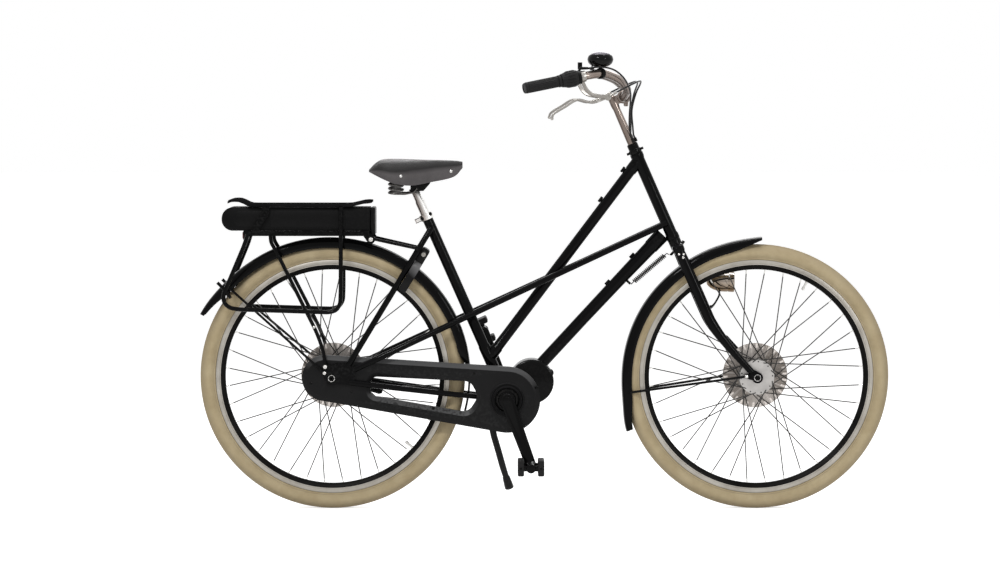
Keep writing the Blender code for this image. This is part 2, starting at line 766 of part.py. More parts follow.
# Frame
def head_tube():
    bottom = HEAD_TUBE_BOTTOM_S
    top = HEAD_TUBE_TOP_S
    profile = [(bottom, HEAD_TUBE_BORE), (bottom, CUP_R), (bottom + CUP_HEIGHT * 0.6, CUP_R),
               (bottom + CUP_HEIGHT, HEAD_TUBE_R), (top - CUP_HEIGHT, HEAD_TUBE_R), (top - CUP_HEIGHT * 0.6, CUP_R),
               (top, CUP_R), (top, HEAD_TUBE_BORE)]
    return lathe(profile, STEER_FOOT, STEER_UP, 14)


def lugged(start, end, r, sides=12):
    """Straight tube with a raised lug sleeve at each end."""
    start = Vector(start)
    end = Vector(end)
    way = (end - start).normalized()
    length = (end - start).length
    marks = [0.0, LUG_LENGTH, LUG_LENGTH + 0.004, length - LUG_LENGTH - 0.004, length - LUG_LENGTH, length]
    radii = [r + LUG_RISE, r + LUG_RISE, r, r, r + LUG_RISE, r + LUG_RISE]
    return tube([start + way * m for m in marks], r, sides, radii)


def head_cutter():
    """The head tube with its cups, grown by the fitting gap and lengthened over the crown race."""
    low = HEAD_TUBE_BOTTOM_S
    high = HEAD_TUBE_TOP_S
    wide = clear(CUP_R, 18)
    slim = clear(HEAD_TUBE_R, 18)
    profile = [(low - 0.05, 0.0), (low - 0.05, wide), (low + CUP_HEIGHT * 0.6 + FIT, wide), (low + CUP_HEIGHT + FIT, slim),
               (high - CUP_HEIGHT - FIT, slim), (high - CUP_HEIGHT * 0.6 - FIT, wide), (high + 0.05, wide),
               (high + 0.05, 0.0)]
    return lathe(profile, STEER_FOOT, STEER_UP, 18, looped=False)


def seat_cutter(extra=0.0):
    return rod(seat(-0.05), seat(SEAT_TUBE_LENGTH + 0.05), clear(SEAT_TUBE_R + extra, 18), 18)


def motor_cutter():
    centre = motor_centre()
    gap = FIT * 1.1
    outline = two_circles((BB.x, BB.z), MOTOR_BB_R + gap, (centre.x, centre.z), MOTOR_R + gap, 8)
    return prism([outline], -MOTOR_HALF - gap, MOTOR_HALF + gap)


def motor_centre():
    return BB + Vector((MOTOR_FROM_BB[0], 0, MOTOR_FROM_BB[1]))


def cable_guide(start, end, share, r, side_dir):
    """Small brazed loop that stands on a tube."""
    start = Vector(start)
    end = Vector(end)
    way = (end - start).normalized()
    foot = start + (end - start) * share + Vector(side_dir) * r
    out = Vector(side_dir)
    path = [foot - way * 0.006 - out * 0.002, foot - way * 0.0045 + out * 0.004, foot + out * 0.0062,
            foot + way * 0.0045 + out * 0.004, foot + way * 0.006 - out * 0.002]
    return sweep(path, circle(0.0016, 5), hint=(0, 1, 0))


def top_tube_ends():
    return seat(TOP_TUBE_SEAT_D), steer(TOP_TUBE_HEAD_S)


def down_tube_axis():
    """Lower end, direction and length of the down tube, which passes above the motor's centre to the head tube."""
    reach = steer(DOWN_TUBE_HEAD_S) - motor_centre()
    angle = atan2(reach.z, reach.x) - asin(DOWN_TUBE_RISE / reach.length)
    way = Vector((cos(angle), 0, sin(angle)))
    length = reach.dot(way) - DOWN_TUBE_FROM_MOTOR - DOWN_TUBE_SHORT
    low = motor_centre() + way * DOWN_TUBE_FROM_MOTOR + Vector((-way.z, 0, way.x)) * DOWN_TUBE_RISE
    return low, way, length


def down_tube_place(share):
    """Centre and half depth of the down tube at a share of its length; its lower side swells towards the head."""
    low, way, length = down_tube_axis()
    under = Vector((way.z, 0, -way.x))
    extra = interpolate(DOWN_TUBE_FLARE, share)
    return low + way * length * share + under * extra * 0.5, DOWN_TUBE_R + extra * 0.5


def top_tube():
    low, high = top_tube_ends()
    body = lugged(low, high, TOP_TUBE_R)
    out = Vector(((high - low).z, 0, -(high - low).x)).normalized()
    guides = [cable_guide(low, high, share, TOP_TUBE_R, -out * flip) for share, flip in ((0.93, 1), (0.78, 1))]
    body = join(body, *guides)
    return cut(body, head_cutter(), seat_cutter(LUG_RISE))


def down_tube():
    """Tube that swells towards the head, with two cable guides on top and the spring's lug below."""
    path = []
    scales = []
    for share in (0.0, 0.36, 0.65, 0.90, 0.91, 1.0):
        centre, half = down_tube_place(share)
        lug = LUG_RISE if share > 0.905 else 0.0
        path.append(centre)
        scales.append((1.0 + (half - DOWN_TUBE_R) * 0.4 / DOWN_TUBE_R + lug / DOWN_TUBE_R, (half + lug) / DOWN_TUBE_R))
    body = sweep(path, circle(DOWN_TUBE_R, 12, pi / 12), scales)
    low = path[0]
    high = path[-1]
    way = (high - low).normalized()
    above = Vector((-way.z, 0, way.x))
    guides = [cable_guide(low, high, share, down_tube_place(share)[1] - 0.001, above) for share in (0.60, 0.80)]
    perch = spring_tail()
    lug = rod(perch + above * 0.030, perch + above * (SPRING_WIRE_R + FIT * 2), 0.0034, 6)
    body = join(body, *guides, lug)
    return cut(body, head_cutter(), motor_cutter())


def seat_tube():
    top = seat(SEAT_TUBE_LENGTH)
    marks = [0.0, TOP_TUBE_SEAT_D - 0.040, TOP_TUBE_SEAT_D - 0.036, TOP_TUBE_SEAT_D + 0.036,
             TOP_TUBE_SEAT_D + 0.040, SEAT_TUBE_LENGTH]
    rise = SEAT_TUBE_R + LUG_RISE
    radii = [SEAT_TUBE_R, SEAT_TUBE_R, rise, rise, SEAT_TUBE_R, SEAT_TUBE_R]
    body = tube([seat(m) for m in marks], SEAT_TUBE_R, 14, radii)
    bore = rod(seat(SEAT_TUBE_LENGTH - SEAT_TUBE_BORE_DEPTH), top + SEAT_DIR * 0.01, SEAT_TUBE_BORE, 14)
    return cut(body, bore, motor_cutter())


def seat_stay_path(side):
    """From the rear dropout up past the mudguard to the side of the seat tube."""
    low = at_rear(SEAT_STAY_END)
    high = seat(STAY_TOP_D)
    spread = [(0.0, STAY_OFFSET), (0.04, STAY_OFFSET), (0.14, STAY_OFFSET - 0.0015), (0.35, 0.0635), (0.60, 0.0500),
              (0.80, 0.0400), (1.0, SEAT_TUBE_R + STAY_R + FIT)]
    return [low + (high - low) * t + LEFT * side * y for t, y in spread]


def seat_stay(side):
    path = seat_stay_path(side)
    body = tube(smooth_path(path, 2), STAY_R, 9)
    return cut(body, seat_cutter())


def lateral_path(side):
    low = at_rear(LATERAL_END)
    high = steer(LATERAL_HEAD_S)
    wide = STAY_OFFSET + 0.001
    spread = [(0.0, wide), (0.03, wide), (0.11, wide), (0.35, 0.0530), (0.67, 0.0255), (1.0, 0.0150)]
    return [low + (high - low) * t + LEFT * side * y for t, y in spread]


def lateral_tube(side):
    body = tube(smooth_path(lateral_path(side), 2), LATERAL_R, 9)
    return cut(body, head_cutter())


def chain_stay_path(side):
    low = at_rear(CHAIN_STAY_END)
    spread = [(low.x, STAY_OFFSET, low.z), (-0.470, STAY_OFFSET + 0.0002, 0.3415), (-0.400, 0.0655, 0.3325),
              (-0.260, 0.0440, 0.3150), (-0.208, 0.0320, 0.3090), (-0.1415, 0.0285, 0.3020)]
    return [Vector((x, y * side, z)) for x, y, z in spread]


def dropout(side):
    """Flat plate round the axle, with a square tab facing each stay and two eyes behind."""
    centre = Vector((REAR_AXLE.x, REAR_AXLE.z))
    tabs = []
    for end, path, r in ((CHAIN_STAY_END, chain_stay_path(side), CHAIN_STAY_R),
                         (LATERAL_END, lateral_path(side), LATERAL_R),
                         (SEAT_STAY_END, seat_stay_path(side), STAY_R)):
        way = Vector((path[1].x - path[0].x, path[1].z - path[0].z)).normalized()
        across = Vector((-way.y, way.x))
        tip = centre + Vector(end) + way * (0.012 if end == CHAIN_STAY_END else -DROPOUT_GAP)
        tabs += [tip - across * r, tip + across * r]
    back = [centre + Vector(RACK_EYE) + Vector((EYE_R * cos(radians(a)), EYE_R * sin(radians(a)))) for a in (60, 150)]
    back += [centre + Vector(GUARD_EYE) + Vector((EYE_R * cos(radians(a)), EYE_R * sin(radians(a)))) for a in (165, 215)]
    under = [centre + Vector((DROPOUT_R * cos(radians(a)), DROPOUT_R * sin(radians(a)))) for a in (205, 240, 275, 310)]
    outline = [tuple(p) for p in tabs + back + under]
    hole = [(REAR_AXLE.x + u, REAR_AXLE.z + v) for u, v in circle(AXLE_R + FIT, 10)]
    low = side * REAR_HALF
    high = side * (REAR_HALF + DROPOUT_T)
    return prism([outline, hole], min(low, high), max(low, high))


def chain_stay(side):
    path = smooth_path(chain_stay_path(side), 2)
    body = tube(path, CHAIN_STAY_R, 9)
    pieces = [dropout(side)]
    if side > 0:
        pivot = Vector(STAND_PIVOT)
        lug = two_circles((pivot.x, pivot.z), 0.011, (pivot.x - 0.004, pivot.z + 0.046), 0.009, 5)
        y = pivot.y - STAND_R - FIT
        pieces.append(prism([lug], y - 0.0080, y))
        pin = rod(pivot + LEFT * (-STAND_R - 0.003), pivot + LEFT * (STAND_R + 0.004), STAND_PIN_R, 12)
        pieces.append(pin)
    body = join(body, *pieces)
    return cut(body, motor_cutter())


def motor_housing():
    centre = motor_centre()
    outline = two_circles((BB.x, BB.z), MOTOR_BB_R, (centre.x, centre.z), MOTOR_R, 8)
    body = prism([outline], -MOTOR_HALF, MOTOR_HALF, edge=0.006)
    cover = lathe([(MOTOR_HALF - 0.001, 0.0), (MOTOR_HALF - 0.001, 0.048), (MOTOR_HALF + 0.006, 0.044),
                   (MOTOR_HALF + 0.010, 0.030), (MOTOR_HALF + 0.010, 0.0)], centre, LEFT, 18, looped=False)
    plug = rod(centre + Vector((0.050, 0, 0.022)) - LEFT * 0.012, centre + Vector((0.050, 0, 0.022)) + LEFT * 0.012,
               0.010, 10)
    bore = rod(BB - LEFT * 0.1, BB + LEFT * 0.1, SPINDLE_BORE, 14)
    return cut(join(body, cover, plug), bore)


# Chaincase and chain
def case_centres():
    rear = (REAR_AXLE.x - CASE_REAR_SHIFT, REAR_AXLE.z)
    return rear, (BB.x, BB.z)


def case_outline(inset, steps):
    rear, front = case_centres()
    return two_circles(rear, CASE_REAR_R - inset, front, CASE_FRONT_R - inset, steps)


def window_outline(grow):
    middle = Vector((sum(x for x, z in CASE_WINDOW) / len(CASE_WINDOW), sum(z for x, z in CASE_WINDOW) / len(CASE_WINDOW)))
    corners = []
    for x, z in CASE_WINDOW:
        sign_x = 1 if x > middle.x else -1
        sign_z = 1 if z > middle.y else -1
        corners.append((x + sign_x * grow, z + sign_z * grow))
    return rounded_polygon(corners, CASE_WINDOW_FILLETS, 2)


def chaincase():
    """Hollow case with a through window between the chain's runs and open ends round the two axles."""
    low = -CHAIN_LINE - CASE_HALF
    high = -CHAIN_LINE + CASE_HALF
    shell = prism([case_outline(0, 9), window_outline(0)], low, high, edge=CASE_EDGE)
    cavity = prism([case_outline(CASE_WALL, 9), window_outline(CASE_WALL)], low + CASE_WALL, high - CASE_WALL,
                   edge=CASE_EDGE * 0.8)
    crank_hole = rod((BB.x, low - 0.02, BB.z), (BB.x, high + 0.02, BB.z), CASE_CRANK_HOLE_R, 16)
    hub_hole = rod((REAR_AXLE.x, high - CASE_WALL - 0.002, REAR_AXLE.z), (REAR_AXLE.x, high + 0.02, REAR_AXLE.z),
                   CASE_HUB_HOLE_R, 16)
    axle_hole = rod((REAR_AXLE.x, low - 0.02, REAR_AXLE.z), (REAR_AXLE.x, low + CASE_WALL + 0.002, REAR_AXLE.z),
                    CASE_AXLE_HOLE_R, 12)
    return cut(shell, cavity, crank_hole, hub_hole, axle_hole)


def pitch_radius(teeth):
    return CHAIN_PITCH / (2 * sin(pi / teeth))


def chain():
    """The closed loop of the chain, grooved inside where the teeth stand between its side plates."""
    loops = []
    for grow in (-CHAIN_HALF_HEIGHT, CHAIN_HALF_HEIGHT, CHAIN_GROOVE_TOP):
        outline = two_circles((REAR_AXLE.x, REAR_AXLE.z), pitch_radius(SPROCKET_TEETH) + grow,
                              (BB.x, BB.z), pitch_radius(CHAINRING_TEETH) + grow, 10)
        loops.append(outline)
    inner, outer, groove = loops
    y0 = -CHAIN_LINE - CHAIN_HALF_WIDTH
    y1 = -CHAIN_LINE + CHAIN_HALF_WIDTH
    g0 = -CHAIN_LINE - CHAIN_GROOVE_HALF
    g1 = -CHAIN_LINE + CHAIN_GROOVE_HALF
    rings = []
    for k in range(len(inner)):
        section = [(inner[k], y0), (outer[k], y0), (outer[k], y1), (inner[k], y1), (inner[k], g1), (groove[k], g1),
                   (groove[k], g0), (inner[k], g0)]
        rings.append([Vector((p[0], y, p[1])) for p, y in section])
    return loft(rings, looped=True)


def toothed_outline(centre, teeth):
    r = pitch_radius(teeth)
    points = []
    for k in range(teeth):
        for share, radius in ((0.0, r - TOOTH_ROOT), (0.5, r + TOOTH_TIP)):
            a = 2 * pi * (k + share) / teeth
            points.append((centre.x + radius * cos(a), centre.z + radius * sin(a)))
    return points


def rear_sprocket():
    hole = [(REAR_AXLE.x + u, REAR_AXLE.z + v) for u, v in circle(AXLE_BORE_R, 12)]
    plate = prism([toothed_outline(REAR_AXLE, SPROCKET_TEETH), hole], -CHAIN_LINE - TOOTH_HALF,
                  -CHAIN_LINE + TOOTH_HALF)
    sleeve = lathe([(-CHAIN_LINE, AXLE_BORE_R), (-CHAIN_LINE, 0.017), (-0.0372, 0.017), (-0.0372, AXLE_BORE_R)],
                   REAR_AXLE, LEFT, 12)
    return join(plate, sleeve)


def crank_end(side):
    a = radians(CRANK_ANGLE) if side < 0 else radians(CRANK_ANGLE) + pi
    return BB + Vector((CRANK_LENGTH * cos(a), 0, CRANK_LENGTH * sin(a)))


def crank_arm(side):
    tip = crank_end(side)
    outline = two_circles((BB.x, BB.z), CRANK_ROOT_R, (tip.x, tip.z), CRANK_TIP_R, 6)
    inner = side * CRANK_INNER
    outer = side * (CRANK_INNER + CRANK_T)
    return prism([outline], min(inner, outer), max(inner, outer), edge=0.003)


def crank_right():
    arm = crank_arm(-1)
    boss = lathe([(-CRANK_INNER - 0.001, 0.0), (-CRANK_INNER - 0.001, 0.0225), (-CHAIN_LINE - CASE_HALF - 0.002, 0.0225),
                  (-CHAIN_LINE - 0.006, 0.030), (-CHAIN_LINE - 0.002, 0.030), (-CHAIN_LINE + 0.002, 0.016),
                  (-MOTOR_HALF - 0.003, 0.014), (-MOTOR_HALF - 0.003, 0.0)], BB, LEFT, 14, looped=False)
    ring = prism([toothed_outline(BB, CHAINRING_TEETH)], -CHAIN_LINE - TOOTH_HALF, -CHAIN_LINE + TOOTH_HALF)
    cap = rod(BB - LEFT * (CRANK_INNER + CRANK_T - 0.001), BB - LEFT * (CRANK_INNER + CRANK_T + 0.004), 0.0105, 14)
    return join(arm, boss, ring, cap)


def crank_left():
    arm = crank_arm(1)
    spindle = rod(BB - LEFT * (MOTOR_HALF + 0.0025), BB + LEFT * (CRANK_INNER + 0.002), SPINDLE_R, 14)
    cap = rod(BB + LEFT * (CRANK_INNER + CRANK_T - 0.001), BB + LEFT * (CRANK_INNER + CRANK_T + 0.004), 0.0105, 14)
    return join(arm, spindle, cap)


def pedal(side):
    """Two rubber blocks held by end plates on a barrel that turns on the crank's pin."""
    tip = crank_end(side)
    y0 = side * (CRANK_INNER + CRANK_T + 0.004)
    y1 = y0 + side * PEDAL_LENGTH
    tilt = radians(0.0 if side < 0 else 90 - LEFT_PEDAL_TILT)
    turn = Matrix.Rotation(tilt, 4, "Y")
    start = LEFT * y0
    end = LEFT * y1
    body = rod(start, end, PEDAL_BARREL_R, 12)
    parts = []
    for way in (-1, 1):
        x = way * PEDAL_BLOCK_OFFSET
        block = solid_box((x - PEDAL_BLOCK_T / 2, min(y0, y1) + 0.004, -PEDAL_BLOCK_H / 2),
                          (x + PEDAL_BLOCK_T / 2, max(y0, y1) - 0.004, PEDAL_BLOCK_H / 2), edge=0.0035)
        parts.append(block)
    for share in (0.10, 0.90):
        y = y0 + (y1 - y0) * share
        parts.append(solid_box((-PEDAL_BLOCK_OFFSET - 0.002, y - 0.002, -0.0085),
                               (PEDAL_BLOCK_OFFSET + 0.002, y + 0.002, 0.0085)))
    whole = join(body, *parts)
    socket = rod(LEFT * (y0 - side * 0.01), LEFT * (y0 + side * 0.055), clear(PEDAL_AXLE_R, 10), 10)
    whole = cut(whole, socket)
    bmesh.ops.transform(whole, matrix=Matrix.Translation(tip) @ turn, verts=whole.verts)
    return whole


def pedal_pin(side):
    """The pin of a crank that the pedal turns on."""
    tip = crank_end(side)
    inner = CRANK_INNER + CRANK_T - 0.002
    return rod(tip + LEFT * side * inner, tip + LEFT * side * (inner + 0.055), PEDAL_AXLE_R, 10)


# Fork and steering
def blade_path(side):
    marks = [CROWN_S - 0.004, 0.35, 0.27, BLADE_BEND_S, 0.150, 0.105, 0.065, BLADE_TIP_S]
    return [blade_point(s, side) for s in marks], [interpolate(BLADE_HALF_DEPTHS, s) for s in marks]


def fork_blade(side, grow=0.0):
    path, depths = blade_path(side)
    flat = [(depth * (BLADE_FLATNESS if depth > 0.010 else 0.92) + grow, depth + grow) for depth in depths]
    return sweep(path, circle(1.0, 8, pi / 8), flat)


def fork_end(side):
    tip = blade_path(side)[0][-1]
    centre = (FRONT_AXLE.x, FRONT_AXLE.z)
    outline = two_circles(centre, 0.0150, (tip.x, tip.z), BLADE_HALF_DEPTHS[0][1], 6)
    eye = two_circles((FRONT_AXLE.x + FORK_EYE[0], FRONT_AXLE.z + FORK_EYE[1]), 0.0060, centre, 0.010, 5)
    low = min(side * FORK_HALF, side * (FORK_HALF + FORK_END_T))
    high = low + FORK_END_T
    return prism([outline], low, high), prism([eye], low, high), rod(
        FRONT_AXLE + LEFT * (low - 0.02), FRONT_AXLE + LEFT * (high + 0.02), AXLE_R + FIT, 10)


def fork():
    """Crown, two tapered and raked blades, fork ends, hollow steerer and the locknut on top."""
    section = rounded_section(CROWN_HALF_DEPTH, CROWN_HALF_WIDTH, 0.012)
    crown_rings = []
    for s, grow in ((CROWN_S - CROWN_HALF_HEIGHT, 0.92), (CROWN_S - 0.004, 1.0), (CROWN_S + 0.003, 1.0),
                    (CROWN_S + CROWN_HALF_HEIGHT, 0.72)):
        crown_rings.append([steer(s, u * grow, v * grow) for u, v in section])
    body = loft(crown_rings)
    parts = []
    holes = []
    for side in (-1, 1):
        parts.append(fork_blade(side))
        plate, eye, hole = fork_end(side)
        parts += [plate, eye]
        holes.append(hole)
    race_r = CUP_R - 0.001
    nut_r = LOCKNUT_R + 0.0022
    race = lathe([(CROWN_S, 0.0), (CROWN_S, race_r), (HEAD_TUBE_BOTTOM_S - FIT, race_r), (HEAD_TUBE_BOTTOM_S - FIT, STEERER_R),
                  (HEAD_TUBE_TOP_S + FIT, STEERER_R), (HEAD_TUBE_TOP_S + FIT, nut_r), (KNOB_S + 0.005, nut_r),
                  (KNOB_S + 0.006, LOCKNUT_R), (STEERER_TOP_S, LOCKNUT_R), (STEERER_TOP_S, 0.0)],
                 STEER_FOOT, STEER_UP, 12, looped=False)
    knobs = [rod(steer(KNOB_S, 0.013 * way), steer(KNOB_S, KNOB_REACH * way), 0.0035, 6) for way in (-1, 1)]
    knobs.append(rod(steer(CROWN_S + 0.001, 0.010), steer(CROWN_S + 0.010, 0.0235), 0.0042, 8))
    hook = solid_box((-0.004, -0.0035, -0.002), (0.004, 0.0035, 0.002))
    anchor = spring_anchor()
    way = (anchor - steer(CROWN_S)).normalized()
    bmesh.ops.translate(hook, vec=anchor, verts=hook.verts)
    neck = rod(steer(CROWN_S), anchor + way * 0.001, 0.0035, 6)
    body = join(body, *parts, race, *knobs, hook, neck)
    bore = rod(steer(STEERER_TOP_S - STEERER_BORE_DEPTH), steer(STEERER_TOP_S + 0.01), STEERER_BORE, 12)
    return cut(body, bore, *holes)


def under_down_tube(place):
    """Point at a share of the down tube's length and a distance below its axis."""
    low, way, length = down_tube_axis()
    return low + way * length * place[0] + Vector((way.z, 0, -way.x)) * place[1]


def spring_tail():
    """Lower end of the steering spring, held by the down tube's lug."""
    foot = under_down_tube(SPRING_FOOT)
    return foot - (under_down_tube(SPRING_HEAD) - foot).normalized() * SPRING_TAIL


def spring_anchor():
    """Where the crown's tab holds the steering spring's hook."""
    return steer(CROWN_S + SPRING_HOOK[0], SPRING_HOOK[1]) + Vector((0.0042 + SPRING_WIRE_R + FIT, 0, 0.0))


def stem():
    quill = lathe([(QUILL_BOTTOM_S, 0.0), (QUILL_BOTTOM_S, QUILL_R), (STEERER_TOP_S + 0.012, QUILL_R),
                   (CLAMP_S - 0.024, QUILL_NECK_R), (CLAMP_S - 0.012, QUILL_R), (QUILL_TOP_S - 0.002, QUILL_R),
                   (QUILL_TOP_S, 0.009), (QUILL_TOP_S, 0.0)],
                  STEER_FOOT, STEER_UP, 12, looped=False)
    centre = steer(CLAMP_S, CLAMP_REACH)
    clamp = lathe([(-CLAMP_HALF, 0.0), (-CLAMP_HALF, CLAMP_R - 0.002), (-CLAMP_HALF + 0.003, CLAMP_R),
                   (CLAMP_HALF - 0.003, CLAMP_R), (CLAMP_HALF, CLAMP_R - 0.002), (CLAMP_HALF, 0.0)],
                  centre, LEFT, 14, looped=False)
    root = steer(CLAMP_S, 0.002)
    neck = prism([two_circles((root.x, root.z), 0.0100, (centre.x, centre.z), 0.0150, 4)], -0.0100, 0.0100)
    ear = solid_box((-0.006, -0.012, -0.008), (0.006, 0.012, 0.008), edge=0.002)
    bmesh.ops.translate(ear, vec=centre - STEER_UP * 0.0185 - STEER_FWD * 0.002, verts=ear.verts)
    bore = rod(centre - LEFT * 0.05, centre + LEFT * 0.05, clear(BAR_BULGE_R, 14), 14)
    return cut(join(quill, clamp, neck, ear), bore)


def bar_half(side):
    centre = steer(CLAMP_S, CLAMP_REACH)
    start = Vector((centre.x, CLAMP_HALF + 0.006, centre.z))
    points = [start, *BAR_BENDS, BAR_STRAIGHT_START]
    curve = smooth_path([Vector(p) for p in points], 2)
    curve.append(Vector(BAR_END))
    return [Vector((p.x, p.y * side, p.z)) for p in curve]


def handlebar():
    right = bar_half(-1)
    left = bar_half(1)
    centre = steer(CLAMP_S, CLAMP_REACH)
    inner = CLAMP_HALF + 0.0005
    path = list(reversed(right)) + [centre - LEFT * inner, centre + LEFT * inner] + left
    radii = [BAR_R] * len(right) + [BAR_BULGE_R] * 2 + [BAR_R] * len(left)
    return tube(path, BAR_R, 10, radii)


def along_bar(side, distance):
    """Point on the straight end of the bar, measured from its tip."""
    tip = Vector((BAR_END[0], BAR_END[1] * side, BAR_END[2]))
    root = Vector((BAR_STRAIGHT_START[0], BAR_STRAIGHT_START[1] * side, BAR_STRAIGHT_START[2]))
    return tip + (root - tip).normalized() * distance


def bar_way(side):
    return (along_bar(side, 1.0) - along_bar(side, 0.0)).normalized()


def grip(side, length):
    """Rubber grip with a closed end, a raised end ring and a bore for the bar."""
    profile = [(-0.004, 0.0), (-0.004, GRIP_R - 0.004), (-0.001, GRIP_R - 0.0005), (0.004, GRIP_R), (length - 0.008, GRIP_R),
               (length - 0.006, GRIP_R + 0.0015), (length, GRIP_R + 0.0015), (length, 0.0)]
    body = lathe(profile, along_bar(side, 0.0), bar_way(side), 12, looped=False)
    return cut(body, rod(along_bar(side, -FIT), along_bar(side, length + 0.01), clear(BAR_R, 12), 12))


def shifter_twist():
    """Turning barrel of the gear shifter, ribbed round its grip end."""
    start = GRIP_LENGTH + RUNNING_GAP
    bore = BAR_R + 0.0008
    profile = [(start, bore), (start, GRIP_R + 0.003), (start + 0.012, TWIST_R - 0.002), (start + 0.028, TWIST_R),
               (start + TWIST_LENGTH - 0.006, TWIST_R), (start + TWIST_LENGTH, TWIST_R - 0.003), (start + TWIST_LENGTH, bore)]
    return lathe(profile, along_bar(-1, 0.0), bar_way(-1), 16)


def shifter_housing():
    """Still half of the shifter, with the cable outlet box on top."""
    start = GRIP_LENGTH + 2 * RUNNING_GAP + TWIST_LENGTH
    ring = lathe([(start, BAR_R + FIT), (start, HOUSING_R), (start + HOUSING_LENGTH, HOUSING_R),
                  (start + HOUSING_LENGTH, BAR_R + FIT)], along_bar(-1, 0.0), bar_way(-1), 16)
    foot = along_bar(-1, start + HOUSING_LENGTH / 2)
    outlet = Vector(SHIFT_ROUTE[0])
    root = foot + Vector((0, -0.002, 0.0140))
    elbow = foot + Vector((0.004, -0.001, 0.0235))
    end = outlet - (outlet - elbow).normalized() * 0.0010
    box = sweep([root, elbow, end], rounded_section(0.0055, 0.0040, 0.0015, 1), [1.0, 1.0, (0.75, 0.75)])
    over_band = rod(along_bar(-1, BAND_START - FIT), along_bar(-1, BAND_START + BAND_LENGTH + FIT), BAND_R + 0.0006, 16)
    return cut(join(ring, box), over_band, bar_clearance())


def band(side, start, length, r_out, sides=14):
    profile = [(start, BAR_R + FIT), (start, r_out), (start + length, r_out), (start + length, BAR_R + FIT)]
    return lathe(profile, along_bar(side, 0.0), bar_way(side), sides)


def brake_perch(side):
    """Clamp band, curved arm, pivot boss with its pin, and the cable adjuster."""
    ring = band(side, BAND_START, BAND_LENGTH, BAND_R)
    root = along_bar(side, BAND_START + BAND_LENGTH / 2)
    drop = root + Vector((0.0, 0.0, -BAND_R + 0.0015))
    path = smooth_path([drop, *[Vector(p) for p in mirrored(PERCH_POINTS, side)]], 2)
    arm = sweep(path, rounded_section(0.0031, 0.0042, 0.0012, 1), hint=(0, 1, 0))
    pivot = Vector(mirrored([LEVER_PIVOT], side)[0])
    inner = pivot + LEFT * side * (LEVER_HALF + FIT)
    boss = rod(inner, inner + LEFT * side * PIVOT_BOSS_HALF * 2, PIVOT_BOSS_R, 12)
    pin = rod(pivot - LEFT * side * (LEVER_HALF + 0.002), inner + LEFT * side * 0.002, PIVOT_PIN_R, 8)
    tip = Vector(mirrored([ADJUSTER_TIP], side)[0])
    root_adjuster = inner + LEFT * side * (PIVOT_BOSS_HALF + 0.0014) + Vector((0.004, 0, 0.003))
    barrel = rod(root_adjuster, tip, 0.0036, 8)
    return join(ring, arm, boss, pin, barrel)


def brake_lever(side):
    pivot = Vector(mirrored([LEVER_PIVOT], side)[0])
    points = [Vector(p) for p in mirrored(LEVER_POINTS, side)]
    path = smooth_path(points, 2)
    count = len(path)
    scales = [(1.0, 1.0) if i < count - 3 else (0.9, 0.85) for i in range(count)]
    scales[:3] = [(LEVER_HALF / 0.0048, 1.0), (LEVER_HALF / 0.0048, 1.0), (0.86, 1.0)]
    blade = sweep(path, rounded_section(0.0048, 0.0030, 0.0014, 1), scales, hint=(0, 1, 0))
    hub = rod(pivot - LEFT * LEVER_HALF, pivot + LEFT * LEVER_HALF, 0.0078, 12)
    bulb = rod(path[-1] - Vector((0, 0.004, 0)), path[-1] + Vector((0, 0.004, 0)), 0.0042, 8)
    trim = solid_box((pivot.x - 0.02, min(pivot.y + side * LEVER_HALF, pivot.y + side * 0.03), pivot.z - 0.02),
                     (pivot.x + 0.03, max(pivot.y + side * LEVER_HALF, pivot.y + side * 0.03), pivot.z + 0.02))
    hole = rod(pivot - LEFT * 0.02, pivot + LEFT * 0.02, PIVOT_PIN_R + FIT, 8)
    return cut(join(blade, hub, bulb), trim, hole)


def bar_at_bell():
    """Nearest point of the bar under the bell, with the bar's direction there."""
    path = bar_half(-1)
    best = min(range(1, len(path) - 1), key=lambda i: abs(path[i].y - BELL_CENTRE[1]))
    return path[best], (path[best + 1] - path[best - 1]).normalized()


def bar_clearance():
    """The bar grown by the fitting gap, to cut what wraps a bend of it."""
    path = bar_half(-1)
    return tube(path, BAR_R + FIT * 1.2, 10)


def bell_plate(outline_root, outline_tip, y0, y1):
    """Flat bar in plan view: a prism laid down under the bell."""
    plate = prism([two_circles(*outline_root, *outline_tip, 5)], y0, y1)
    lay = Matrix(((1, 0, 0, 0), (0, 0, -1, BELL_CENTRE[1]), (0, 1, 0, BELL_ARM_Z), (0, 0, 0, 1)))
    bmesh.ops.transform(plate, matrix=lay, verts=plate.verts)
    return plate


def bell():
    """Dome, the base plate with the thumb lever's pin, post and the band round the bar."""
    centre = Vector(BELL_CENTRE)
    profile = [(-BELL_HALF_HEIGHT, 0.0)]
    for angle in range(-70, 90, 28):
        a = radians(angle)
        profile.append((BELL_HALF_HEIGHT * sin(a), BELL_R * cos(a) ** 0.75))
    profile.append((BELL_HALF_HEIGHT, 0.0))
    dome = lathe(profile, centre, (0, 0, 1), 14, start=(1, 0, 0), looped=False)
    point, way = bar_at_bell()
    ring = rod(point - way * 0.006, point + way * 0.006, BAR_R + 0.0034, 12)
    post = rod(point, centre - Vector((0, 0, BELL_HALF_HEIGHT - 0.003)), 0.0045, 8)
    floor = -BELL_ARM_T / 2 - FIT
    pin_x = centre.x - BELL_PIVOT_BACK
    plate = bell_plate(((centre.x, 0.0), 0.0100), ((pin_x, 0.0), 0.0060), floor - 0.0024, floor)
    low = BELL_ARM_Z + floor - 0.001
    pin = rod((pin_x, centre.y, low), (pin_x, centre.y, centre.z - BELL_HALF_HEIGHT * 0.7), BELL_PIN_R, 8)
    return cut(join(dome, ring, post, plate, pin), bar_clearance())


